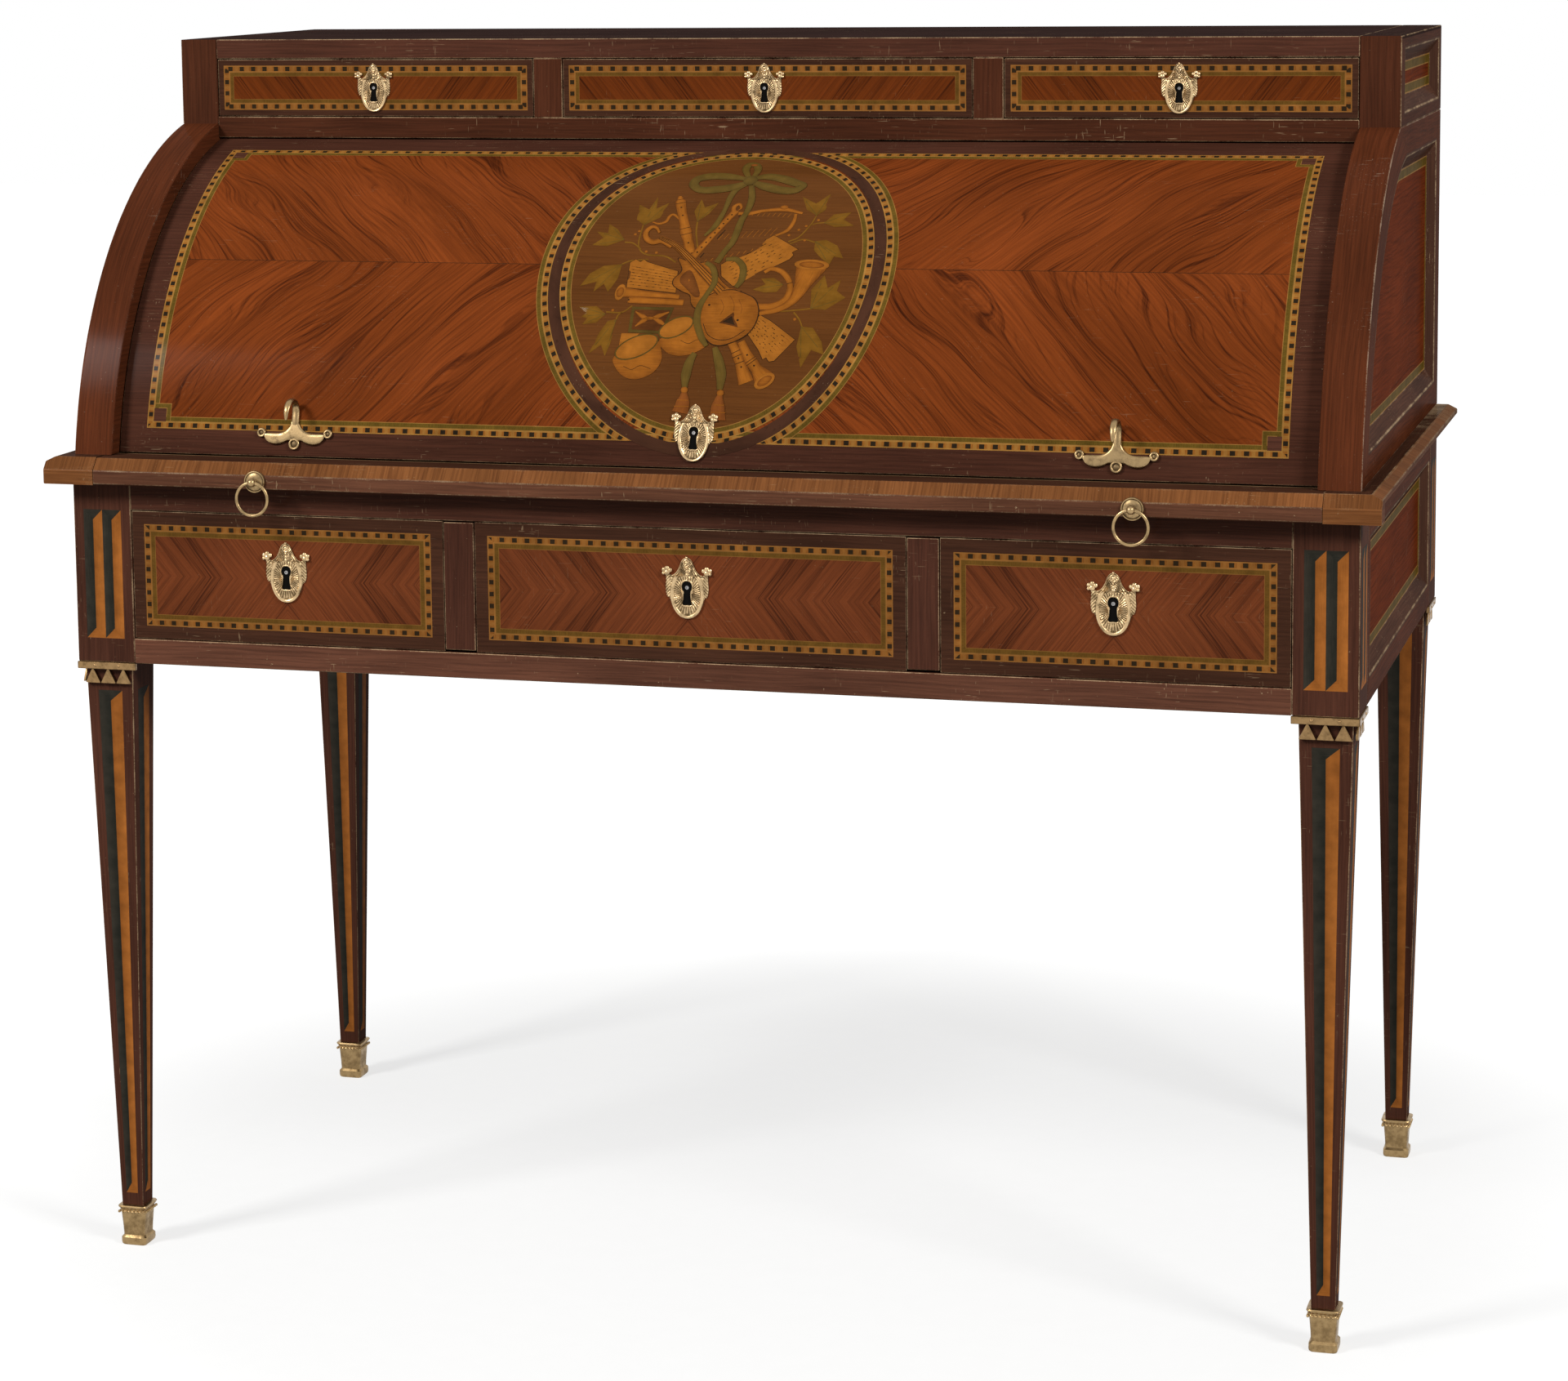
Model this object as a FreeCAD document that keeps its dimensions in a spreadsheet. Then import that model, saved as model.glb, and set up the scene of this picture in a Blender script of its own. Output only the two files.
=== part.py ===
import FreeCAD, Part
import os
import re

import Sketcher

# Driving sizes in millimetres, and degrees where the name says so
SIZES = {
    # Case as a whole
    "case_width": 1200,
    "case_depth": 620,
    "writing_height": 770,
    "apron_height": 171,
    "overrun": 20,
    # Mouldings at writing height
    "moulding_thickness": 25,
    "moulding_projection": 20,
    "moulding_chamfer": 9,
    "moulding_edge": 4.5,
    "moulding_cove": 16,
    "moulding_seat": 30,
    # Legs and their brass
    "post_size": 58,
    "leg_top_size": 48,
    "leg_foot_size": 20,
    "sabot_height": 40,
    "sabot_sole": 4,
    "sabot_plinth_step": 3,
    "sabot_plinth_height": 8,
    "sabot_plinth_edge": 3,
    "sabot_wall": 1.5,
    "sabot_flare": 3,
    "sabot_lip": 5,
    "sabot_rim_height": 6,
    "collar_height": 7,
    "collar_proud": 1.5,
    "gutta_height": 13,
    "gutta_width": 15,
    "gutta_neck": 5,
    "gutta_pitch": 17,
    "gutta_neck_depth": 3,
    "gutta_tuck": 0.5,
    # Apron frame and its boards
    "rail_thickness": 22,
    "bottom_rail_height": 26,
    "top_rail_height": 27,
    "centre_drawer_width": 405,
    "drawer_stile": 29,
    "guide_thickness": 18,
    "dust_board_thickness": 10,
    "sub_top_thickness": 12,
    "back_thickness": 16,
    "side_recess_depth": 8,
    "side_recess_bevel": 14,
    "apron_panel_stile": 12,
    "apron_panel_rail": 24,
    # Writing slide
    "slide_back_gap": 29,
    "slide_gap": 0.5,
    "nosing_tongue": 22,
    "leather_thickness": 1.5,
    "leather_border": 70,
    "leather_nest_gap": 30,
    # Cylinder and the cheeks that carry it
    "cheek_thickness": 38,
    "cheek_setback": 6,
    "shell_recess": 15,
    "axis_drop": 55,
    "shell_radius": 346,
    "shell_thickness": 16,
    "shell_top_angle": 102,
    "shell_foot_angle": 176,
    "shell_foot_gap": 1,
    "shell_end_gap": 1,
    "shell_travel_angle": 52,
    "shell_rail_gap": 1.5,
    "tongue_length": 9,
    "tongue_thickness": 8,
    "groove_gap": 0.8,
    "groove_spare_angle": 1.5,
    "groove_foot_rise": 5,
    "cheek_panel_margin": 38,
    "cheek_panel_foot": 27,
    "cheek_panel_head": 29,
    "cheek_panel_back": 36,
    # Gradin on top
    "gradin_floor_gap": 3,
    "gradin_drawer_height": 57,
    "gradin_sill_rise": 7,
    "gradin_rail_height": 20.5,
    "gradin_rail_thickness": 20,
    "gradin_floor_thickness": 8,
    "top_thickness": 19,
    "gradin_panel_stile": 26,
    "gradin_panel_back": 21,
    "gradin_panel_rail": 12,
    # Pigeonholes behind the cylinder
    "nest_height": 150,
    "nest_depth": 204,
    "nest_lift": 1.2,
    "nest_board": 9,
    "nest_upright": 8,
    # Drawers
    "drawer_gap": 0.8,
    "drawer_lift": 0.3,
    "drawer_recess": 1,
    "drawer_front_thickness": 20,
    "drawer_side_thickness": 9,
    "drawer_bottom_thickness": 6,
    "drawer_bottom_rise": 5,
    "drawer_side_drop": 8,
    "lower_drawer_back_gap": 78,
    "gradin_drawer_back_gap": 30,
    # Locks
    "lock_width": 56,
    "lock_depth": 11,
    "lock_height": 36,
    "lower_lock_height": 62,
    "lower_key_rise": 7,
    "bolt_width": 18,
    "bolt_depth": 5,
    "bolt_height": 16,
    "bolt_gap": 0.3,
    "bolt_throw": 7,
    "mortise_gap": 1,
    "cylinder_lock_lift": 7,
    "cylinder_bolt_throw": 10,
    "keyhole_radius": 3,
    "key_slot_share": 0.6,
    "key_drop_share": 4,
    "key_pin_radius": 1.2,
    "cylinder_lock_rise": 34,
    # Keyhole plates
    "plate_thickness": 2.5,
    "plate_width": 45,
    "plate_height": 57,
    "cylinder_plate_width": 40,
    "cylinder_plate_height": 51,
    "gradin_plate_width": 38,
    "gradin_plate_height": 48,
    # Ring pulls on the slide
    "pull_inset": 162.5,
    "pull_rise": 8,
    "pull_reach": 12,
    "rosette_radius": 11,
    "rosette_thickness": 3,
    "rosette_rim": 2,
    "rosette_dish": 1.2,
    "rosette_boss_radius": 3.6,
    "eye_radius": 4,
    "ring_radius": 17.4,
    "ring_wire_radius": 1.8,
    "ring_gap": 0.5,
    # Hook handles on the cylinder
    "hook_inset": 177,
    "hook_rise": 22,
    "hook_width": 66,
    "hook_plate_thickness": 3,
    "hook_eyelet_radius": 5,
    "hook_eyelet_hole": 2.6,
    "hook_eyelet_drop": 10,
    "hook_stem_height": 20.5,
    "hook_wing_place": 18.5,
    "hook_wing_drop": 4.5,
    "hook_wing_length": 25,
    "hook_wing_depth": 12,
    "hook_flare_radius": 14,
    "hook_flare_rise": 13,
    "hook_band": 6,
    "hook_bend_radius": 11.5,
    "hook_tip_width": 3,
    "hook_tip_drop": 7,
}

# Places worked out from the sizes above
FORMULAS = {
    "half_width": "case_width / 2",
    "y_front": "-(case_depth - moulding_projection - pull_reach) / 2",
    "y_back": "y_front + case_depth",
    "y_nose": "y_front - moulding_projection",
    "moulding_bottom": "writing_height - moulding_thickness",
    "apron_bottom": "moulding_bottom - apron_height",
    "post_inner": "half_width - post_size",
    "post_centre": "half_width - post_size / 2",
    "y_front_post": "y_front + post_size / 2",
    "y_back_post": "y_back - post_size / 2",
    "drawer_low": "apron_bottom + bottom_rail_height",
    "drawer_high": "moulding_bottom - top_rail_height",
    "centre_half": "centre_drawer_width / 2",
    "stile_outer": "centre_half + drawer_stile",
    "moulding_inner": "half_width - moulding_seat",
    "slide_half": "moulding_inner - slide_gap",
    "slide_top": "writing_height - slide_gap",
    "slide_bottom": "moulding_bottom + slide_gap",
    "y_slide_back": "y_back_board - slide_back_gap",
    "cheek_inner": "half_width - cheek_thickness",
    "cheek_radius": "shell_radius + shell_recess",
    "y_axis": "y_front + cheek_setback + sqrt(cheek_radius^2 - axis_drop^2)",
    "z_axis": "writing_height - axis_drop",
    "shell_inner_radius": "shell_radius - shell_thickness",
    "tongue_outer_radius": "shell_radius - (shell_thickness - tongue_thickness) / 2",
    "tongue_inner_radius": "tongue_outer_radius - tongue_thickness",
    "shell_foot": "writing_height + shell_foot_gap",
    "gradin_drawer_low": "z_axis + shell_radius + gradin_floor_gap + gradin_floor_thickness",
    "gradin_low": "gradin_drawer_low - gradin_sill_rise",
    "gradin_drawer_high": "gradin_drawer_low + gradin_drawer_height",
    "total_height": "gradin_drawer_high + top_thickness",
    "y_gradin": "y_axis - sqrt(cheek_radius^2 - (gradin_low - z_axis)^2)",
    "y_back_board": "y_back - back_thickness",
    "cylinder_bolt_low": "z_axis + cylinder_lock_lift + bolt_gap",
    "y_nest": "y_back_board - nest_depth",
    "y_lower_drawer_end": "y_back - rail_thickness - lower_drawer_back_gap",
    "y_gradin_drawer_end": "y_back_board - gradin_drawer_back_gap",
    "sabot_plinth_size": "leg_foot_size + 2 * sabot_plinth_step",
    "sabot_neck_size": "leg_foot_size + 2 * sabot_wall",
    "sabot_mouth_size": "leg_foot_size + 2 * sabot_flare",
    "sabot_rim_size": "leg_foot_size + 2 * sabot_lip",
    "pull_spread": "slide_half - pull_inset",
    "pull_height": "moulding_bottom + pull_rise",
    "hook_spread": "cheek_inner - hook_inset",
    "y_rosette": "y_nose - rosette_thickness",
    "y_eye": "y_nose - pull_reach + eye_radius",
}

doc = FreeCAD.newDocument("CylinderDesk")
sheet = doc.addObject("Spreadsheet::Sheet", "Sizes")
for row, (alias, size) in enumerate(SIZES.items(), start=1):
    sheet.set(f"A{row}", alias)
    sheet.set(f"B{row}", str(size))
    sheet.setAlias(f"B{row}", alias)
doc.recompute()

nodes = []


def expression(formula):
    """Turn a formula in plain size names into one that reads the sheet."""

    def swap(match):
        word = match.group(0)
        if word in FORMULAS:
            return "(" + expression(FORMULAS[word]) + ")"
        return "Sizes." + word if word in SIZES else word

    return re.sub(r"[a-z_][a-z0-9_]*", swap, str(formula))


def value(formula):
    """Work out a formula with the sizes that the sheet holds now."""
    return float(sheet.evalExpression(expression(formula)))


def bind(thing, prop, formula):
    """Tie one property of an object to the sheet."""
    thing.setExpression(prop, expression(formula))


def place(thing, x, y, z):
    """Tie an object's place to the sheet."""
    for axis, formula in zip("xyz", (x, y, z)):
        bind(thing, f"Placement.Base.{axis}", formula)


def node(thing, label):
    """Keep a finished sub-part under the name of its file."""
    thing.Label = label
    nodes.append(thing)
    return thing


def box(x, y, z):
    """Board between a low and a high place along each axis."""
    board = doc.addObject("Part::Box", "Board")
    for prop, (low, high) in zip(("Length", "Width", "Height"), (x, y, z)):
        bind(board, prop, f"({high}) - ({low})")
    place(board, x[0], y[0], z[0])
    return board


def mirrored(side, low, high):
    """Low and high places of a piece that stands on the low (-1) or high (1) side."""
    return (low, high) if side > 0 else (f"-({high})", f"-({low})")


ALONG_X = FreeCAD.Rotation(FreeCAD.Vector(1, 1, 1), 120)
ALONG_Y = FreeCAD.Rotation(FreeCAD.Vector(1, 0, 0), -90)


def cylinder(radius, start, length, turn, angle="360"):
    """Round bar from a start point; along X its sector opens from +Y towards +Z."""
    bar = doc.addObject("Part::Cylinder", "Round")
    bind(bar, "Radius", radius)
    bind(bar, "Height", length)
    bind(bar, "Angle", angle)
    bar.Placement.Rotation = turn
    place(bar, *start)
    return bar


def drum(radius, x, angle="360"):
    """Cylinder about the desk's own cylinder axis, between two x places."""
    return cylinder(radius, (x[0], "y_axis", "z_axis"), f"({x[1]}) - ({x[0]})", ALONG_X, angle)


def frustum(axis, span, base, far):
    """Four-sided block along an axis, from a base rectangle to a far rectangle.

    Each rectangle is two (low, high) pairs: x and y for axis Z, y and z for axis X.
    """
    wedge = doc.addObject("Part::Wedge", "Frustum")
    if axis == "Z":
        wedge.Placement.Rotation = FreeCAD.Rotation(FreeCAD.Vector(1, 0, 0), 90)
        local = [(x_pair, mirrored(-1, *y_pair)) for x_pair, y_pair in (base, far)]
    else:
        wedge.Placement.Rotation = FreeCAD.Rotation(FreeCAD.Vector(0, 0, 1), -90)
        local = [(mirrored(-1, *y_pair), z_pair) for y_pair, z_pair in (base, far)]
    names = (("Xmin", "Xmax", "Zmin", "Zmax"), ("X2min", "X2max", "Z2min", "Z2max"))
    for props, (first, second) in zip(names, local):
        for prop, formula in zip(props, (*first, *second)):
            bind(wedge, prop, formula)
    bind(wedge, "Ymin", span[0])
    bind(wedge, "Ymax", span[1])
    return wedge


def square(x, y, size):
    """X and Y ranges of a square about a centre."""
    half = f"({size}) / 2"
    return (f"{x} - {half}", f"{x} + {half}"), (f"{y} - {half}", f"{y} + {half}")


def fuse(*members):
    """One solid from several that overlap or meet."""
    joined = doc.addObject("Part::MultiFuse", "Fused")
    joined.Shapes = list(members)
    joined.Refine = True
    return joined


def common(base, tool):
    """What two solids share."""
    shared = doc.addObject("Part::Common", "Shared")
    shared.Base = base
    shared.Tool = tool
    return shared


def cut(base, *tools):
    """A solid less one or more tools."""
    for tool in tools:
        left = doc.addObject("Part::Cut", "Cut")
        left.Base = base
        left.Tool = tool
        base = left
    return base


def group(label, members):
    """Node of several separate solids that belong together."""
    gathered = doc.addObject("Part::Compound", "Group")
    gathered.Links = list(members)
    return node(gathered, label)


def profile(role, points, span=None):
    """Straight-edged section drawn on an origin plane, padded between two places or turned.

    The section is in Y and Z for role YZ_Plane, and in X and Z for role XZ_Plane. On
    XY_Plane it has no span and is turned about Y.
    """
    body = doc.addObject("PartDesign::Body", "Section")
    plane = next(part for part in body.Origin.OriginFeatures if part.Role == role)
    sketch = body.newObject("Sketcher::SketchObject", "Outline")
    sketch.AttachmentSupport = [(plane, "")]
    sketch.MapMode = "FlatFace"
    corners = [FreeCAD.Vector(value(across), value(up), 0) for across, up in points]
    for index, corner in enumerate(corners):
        sketch.addGeometry(Part.LineSegment(corner, corners[(index + 1) % len(corners)]))
    for index in range(len(corners)):
        sketch.addConstraint(Sketcher.Constraint("Coincident", index, 2, (index + 1) % len(corners), 1))
    for index, (corner, formulas) in enumerate(zip(corners, points)):
        for kind, size, formula in zip(("DistanceX", "DistanceY"), (corner.x, corner.y), formulas):
            number = sketch.addConstraint(Sketcher.Constraint(kind, -1, 1, index, 1, size))
            bind(sketch, f"Constraints[{number}]", formula)
    if span is None:
        turning = body.newObject("PartDesign::Revolution", "Turning")
        turning.Profile = sketch
        turning.ReferenceAxis = (sketch, ["V_Axis"])
        return body
    pad = body.newObject("PartDesign::Pad", "Length")
    pad.Profile = sketch
    bind(pad, "Length", f"({span[1]}) - ({span[0]})")
    pad.Reversed = role == "XZ_Plane"
    bind(body, "Placement.Base.x" if role == "YZ_Plane" else "Placement.Base.y", span[0])
    return body


def turned(points, centre):
    """Section in distance from an axis and place along it, turned about Y at a centre."""
    body = profile("XY_Plane", points)
    place(body, *centre)
    return body


FACING = FreeCAD.Rotation(FreeCAD.Vector(1, 0, 0), 90)
UPRIGHT = FACING.multiply(FreeCAD.Rotation(FreeCAD.Vector(0, 0, 1), 90))


def oval(x, z, y, long_axis, short_axis, turn):
    """Oval plate between two y places, with its long axis across (FACING) or up (UPRIGHT)."""
    rim = doc.addObject("Part::Ellipse", "Rim")
    bind(rim, "MajorRadius", f"({long_axis}) / 2")
    bind(rim, "MinorRadius", f"({short_axis}) / 2")
    rim.Placement.Rotation = turn
    place(rim, x, y[0], z)
    plate = doc.addObject("Part::Extrusion", "Oval")
    plate.Base = rim
    plate.DirMode = "Custom"
    plate.Dir = FreeCAD.Vector(0, 1, 0)
    plate.Solid = True
    bind(plate, "LengthFwd", f"({y[1]}) - ({y[0]})")
    return plate


def disc(x, z, y, radius):
    """Round plate between two y places."""
    return cylinder(radius, (x, y[0], z), f"({y[1]}) - ({y[0]})", ALONG_Y)


def octagon(x, z, y, radius):
    """Eight-sided plate or pin between two y places, for small rounds that repeat."""
    plate = doc.addObject("Part::Prism", "Octagon")
    plate.Polygon = 8
    bind(plate, "Circumradius", radius)
    bind(plate, "Height", f"({y[1]}) - ({y[0]})")
    plate.Placement.Rotation = ALONG_Y
    place(plate, x, y[0], z)
    return plate


def flared(x, y, half_width, z, radius, z_waist):
    """Plate with a waist: a block hollowed by a round on either side."""
    block = box((f"{x} - {half_width}", f"{x} + {half_width}"), y, z)
    past = (f"{y[0]} - overrun", f"{y[1]} + overrun")
    return cut(block, *(disc(f"{x} + {side} * ({half_width})", z_waist, past, radius) for side in (-1, 1)))


def swung(thing, rise):
    """A piece built level with the axis, turned about it up to its place on the shell."""
    angle = f"(asin(axis_drop / shell_radius) + ({rise}) / shell_radius * 180 deg / pi)"
    turned = doc.addObject("Part::Compound", "Swung")
    turned.Links = [thing]
    turned.Placement.Rotation = FreeCAD.Rotation(FreeCAD.Vector(-1, 0, 0), 1)
    bind(turned, "Placement.Rotation.Angle", angle)
    y = f"y_axis - y_axis * cos({angle}) - z_axis * sin({angle})"
    place(turned, "0", y, f"z_axis + y_axis * sin({angle}) - z_axis * cos({angle})")
    return turned


# Legs: square post above, tapered leg below, one piece of timber each
LEGS = {
    "front_left": (-1, "y_front_post"),
    "front_right": (1, "y_front_post"),
    "back_left": (-1, "y_back_post"),
    "back_right": (1, "y_back_post"),
}


def leg(name, x, y):
    """Post and tapered leg."""
    post = box(*square(x, y, "post_size"), ("apron_bottom", "moulding_bottom"))
    foot = square(x, y, "leg_foot_size")
    taper = frustum("Z", ("sabot_sole", "apron_bottom"), foot, square(x, y, "leg_top_size"))
    return node(fuse(post, taper), f"leg_{name}")


def sabot(x, y, timber):
    """Brass shoe: plinth, tapered cup and flared rim, hollowed by the leg that stands in it."""
    rim_low = "sabot_height - sabot_rim_height"
    plinth_square = square(x, y, "sabot_plinth_size")
    shoulder_low = "sabot_plinth_height - sabot_plinth_edge"
    plinth = box(*plinth_square, ("0", shoulder_low))
    neck = square(x, y, "sabot_neck_size")
    shoulder = frustum("Z", (shoulder_low, "sabot_plinth_height"), plinth_square, neck)
    mouth = square(x, y, "sabot_mouth_size")
    cup = frustum("Z", ("sabot_plinth_height", rim_low), neck, mouth)
    rim = frustum("Z", (rim_low, "sabot_height"), mouth, square(x, y, "sabot_rim_size"))
    return cut(fuse(plinth, shoulder, cup, rim), timber)


sabots = []
for leg_name, (leg_side, leg_y) in LEGS.items():
    leg_x = f"{leg_side} * post_centre"
    sabots.append(sabot(leg_x, leg_y, leg(leg_name, leg_x, leg_y)))
group("sabots", sabots)


def collar(axis, side, along, face):
    """Bar under the post with three flared drops, on one outer face of a leg.

    Axis X puts it on a side face, axis Y on the front; along is the centre of its
    length and face the plane of the post.
    """
    leg_face = f"{face} - {side} * ((post_size - leg_top_size) / 2)"
    outer = f"{face} + {side} * collar_proud"
    across = (leg_face, outer) if side > 0 else (outer, leg_face)
    neck = f"{leg_face} + {side} * gutta_neck_depth"
    tuck = f"{leg_face} - {side} * gutta_tuck"
    bar_low = "apron_bottom - collar_height"
    drop_low = f"{bar_low} - gutta_height"
    back_trim = "0" if axis == "Y" else "collar_proud + (post_size - leg_top_size) / 2"
    length = (f"{along} - post_size / 2 + {back_trim}", f"{along} + post_size / 2")
    front = axis == "Y"
    plan = (length, across) if front else (across, length)
    bar = box(*plan, (bar_low, "apron_bottom"))
    drops = []
    for step in (-1, 0, 1):
        middle = f"{along} + {step} * gutta_pitch"
        wide = (f"{middle} - gutta_width / 2", f"{middle} + gutta_width / 2")
        slim = (f"{middle} - gutta_neck / 2", f"{middle} + gutta_neck / 2")
        deep = (tuck, outer) if side > 0 else (outer, tuck)
        shallow = (tuck, neck) if side > 0 else (neck, tuck)
        base, top = ((wide, deep), (slim, shallow)) if front else ((deep, wide), (shallow, slim))
        drops.append(frustum("Z", (drop_low, bar_low), base, top))
    return fuse(bar, *drops)


def collars():
    """Collars on the outer side of every leg and on the front of the front legs."""
    made = []
    for name, (side, y) in LEGS.items():
        timber = next(thing for thing in nodes if thing.Label == f"leg_{name}")
        made.append(cut(collar("X", side, y, f"{side} * half_width"), timber))
        if name.startswith("front"):
            made.append(cut(collar("Y", -1, f"{side} * post_centre", "y_front"), timber))
    group("leg_collars", made)


collars()


# Apron: framed sides, back, rails, stiles and the boards that the drawers run on
def sunk_panel(side, y, z):
    """Tool that sinks a bevelled panel into an outer side face."""
    deep = "half_width - side_recess_depth"
    wide = (y, z)
    narrow = tuple((f"{low} + side_recess_bevel", f"{high} - side_recess_bevel") for low, high in wide)
    if side > 0:
        return frustum("X", (deep, "half_width"), narrow, wide)
    return frustum("X", ("-half_width", f"-({deep})"), wide, narrow)


for side, hand in ((-1, "left"), (1, "right")):
    board_y = ("y_front + post_size", "y_back - post_size")
    board_z = ("apron_bottom", "moulding_bottom")
    board = box(mirrored(side, "half_width - rail_thickness", "half_width"), board_y, board_z)
    panel_y = (f"{board_y[0]} + apron_panel_stile", f"{board_y[1]} - apron_panel_stile")
    panel_z = ("apron_bottom + apron_panel_rail", "moulding_bottom - apron_panel_rail")
    node(cut(board, sunk_panel(side, panel_y, panel_z)), f"apron_side_{hand}")

between_posts = ("-post_inner", "post_inner")
front_rail_y = ("y_front", "y_front + rail_thickness")
inside_y = ("y_front + rail_thickness", "y_back - rail_thickness")
back_rail_y = ("y_back - rail_thickness", "y_back")
node(box(between_posts, back_rail_y, ("apron_bottom", "moulding_bottom")), "apron_back")
node(box(between_posts, front_rail_y, ("apron_bottom", "drawer_low")), "bottom_rail")

# Centre of each drawer opening, and its low and high x
side_centre = "(stile_outer + post_inner) / 2"
COLUMNS = {
    "left": (f"-{side_centre}", "-post_inner", "-stile_outer"),
    "centre": ("0", "-centre_half", "centre_half"),
    "right": (side_centre, "stile_outer", "post_inner"),
}
gradin_side_centre = "(stile_outer + cheek_inner) / 2"
GRADIN_COLUMNS = {
    "left": (f"-{gradin_side_centre}", "-cheek_inner", "-stile_outer"),
    "centre": ("0", "-centre_half", "centre_half"),
    "right": (gradin_side_centre, "stile_outer", "cheek_inner"),
}


def lock_y(face):
    """Depth range of a drawer lock, let into the back of its front."""
    back = f"{face} + drawer_recess + drawer_front_thickness"
    return (f"{back} - lock_depth", back)


def bolt_box(x, y, z, gap):
    """Bolt about its own centre plane, grown all round by a gap."""
    across = (f"{x} - bolt_width / 2 - {gap}", f"{x} + bolt_width / 2 + {gap}")
    middle = f"(({y[0]}) + ({y[1]})) / 2"
    return box(across, (f"{middle} - bolt_depth / 2 - {gap}", f"{middle} + bolt_depth / 2 + {gap}"), z)


def mortises(columns, face, underside):
    """Slots that the drawer bolts shoot up into."""
    depth = (f"{underside} - overrun", f"{underside} + bolt_throw + mortise_gap")
    return [bolt_box(x, lock_y(face), depth, "mortise_gap") for x, _, _ in columns.values()]


top_rail = box(between_posts, front_rail_y, ("drawer_high", "moulding_bottom"))
node(cut(top_rail, *mortises(COLUMNS, "y_front", "drawer_high")), "top_rail")
stiles_x = [mirrored(side, "centre_half", "stile_outer") for side in (-1, 1)]
group("drawer_stiles", [box(x, front_rail_y, ("drawer_low", "drawer_high")) for x in stiles_x])
dust_z = ("drawer_low - dust_board_thickness", "drawer_low")
behind_posts = ("y_front + post_size", "y_back - post_size")
dust_board = box(("-half_width + rail_thickness", "half_width - rail_thickness"), behind_posts, dust_z)
node(fuse(dust_board, box(between_posts, inside_y, dust_z)), "dust_board")


def guides():
    """Partitions behind the stiles and strips beside the outer drawers."""
    made = []
    z = ("drawer_low", "moulding_bottom - sub_top_thickness")
    middle = "(centre_half + stile_outer) / 2"
    for side in (-1, 1):
        partition = mirrored(side, f"{middle} - guide_thickness / 2", f"{middle} + guide_thickness / 2")
        made.append(box(partition, inside_y, z))
        made.append(box(mirrored(side, "post_inner", "half_width - rail_thickness"), behind_posts, z))
    group("drawer_guides", made)


guides()
node(box(between_posts, inside_y, ("moulding_bottom - sub_top_thickness", "moulding_bottom")), "sub_top")

# Mouldings: mitred corner and side in one, and the same nosing on the slide
NOSE = [
    ("y_nose", "moulding_bottom"),
    ("y_nose", "writing_height - moulding_chamfer"),
    ("y_nose + moulding_chamfer", "writing_height"),
]


def side_moulding(side, hand):
    """Side run with a cove under it, and a whole block in front of the case at the corner."""
    edge = f"{side} * (half_width + moulding_projection)"
    inner = f"{side} * moulding_inner"
    section = [
        (inner, "moulding_bottom"),
        (edge, "moulding_bottom"),
        (edge, "writing_height - moulding_edge"),
        (f"{edge} - {side} * moulding_chamfer", "writing_height"),
        (inner, "writing_height"),
    ]
    run = profile("XZ_Plane", section, ("y_nose", "y_back"))
    cove = disc(edge, "moulding_bottom", ("y_front", "y_back + overrun"), "moulding_cove")
    front = NOSE + [("y_back", "writing_height"), ("y_back", "moulding_bottom")]
    ends = mirrored(side, "moulding_inner", "half_width + moulding_projection")
    node(cut(common(run, profile("YZ_Plane", front, ends)), cove), f"moulding_{hand}")


for side, hand in ((-1, "left"), (1, "right")):
    side_moulding(side, hand)

# Cheeks: rounded boards with a groove for the cylinder and a sunk panel outside
GROOVE_START = "shell_top_angle - shell_travel_angle - groove_spare_angle"


def rounded_outline(x, radius, y_low, y_high, z):
    """Board whose front edge follows a circle about the cylinder's axis."""
    block = box(x, (y_low, y_high), z)
    back = box(x, ("y_axis", y_high), z)
    return common(block, fuse(drum(radius, x), back))


def cheek(side, hand):
    """Cheek board, its inner groove and its outer panel."""
    x = mirrored(side, "cheek_inner", "half_width")
    z = ("writing_height", "gradin_low")
    timber = rounded_outline(x, "cheek_radius", "y_axis - cheek_radius", "y_back", z)
    slot = mirrored(side, "cheek_inner - overrun", "cheek_inner + tongue_length + groove_gap")
    track = cut(drum("tongue_outer_radius + groove_gap", slot, "180"),
                drum("tongue_inner_radius - groove_gap", slot),
                drum("shell_radius + overrun", slot, GROOVE_START))
    foot_y = ("y_axis - shell_radius", "y_axis - shell_inner_radius + overrun")
    foot = box(slot, foot_y, ("z_axis", "writing_height + groove_foot_rise"))
    foot = common(foot, drum("tongue_outer_radius + groove_gap", slot, "180"))
    panel_y = ("y_axis - cheek_radius", "y_back - cheek_panel_back")
    panel_z = ("writing_height + cheek_panel_foot", "gradin_low - cheek_panel_head")
    depth = mirrored(side, "half_width - side_recess_depth", "half_width")
    rounds = ["cheek_radius - cheek_panel_margin - side_recess_bevel", "cheek_radius - cheek_panel_margin"]
    curve = doc.addObject("Part::Cone", "Curve")
    for prop, formula in zip(("Radius1", "Radius2"), rounds[::side]):
        bind(curve, prop, formula)
    bind(curve, "Height", "side_recess_depth")
    curve.Placement.Rotation = ALONG_X
    place(curve, depth[0], "y_axis", "z_axis")
    behind = box(depth, ("y_axis", "y_back"), ("z_axis", "gradin_low"))
    panel = common(sunk_panel(side, panel_y, panel_z), fuse(curve, behind))
    node(cut(timber, track, foot, panel), f"cheek_{hand}")


for side, hand in ((-1, "left"), (1, "right")):
    cheek(side, hand)

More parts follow.
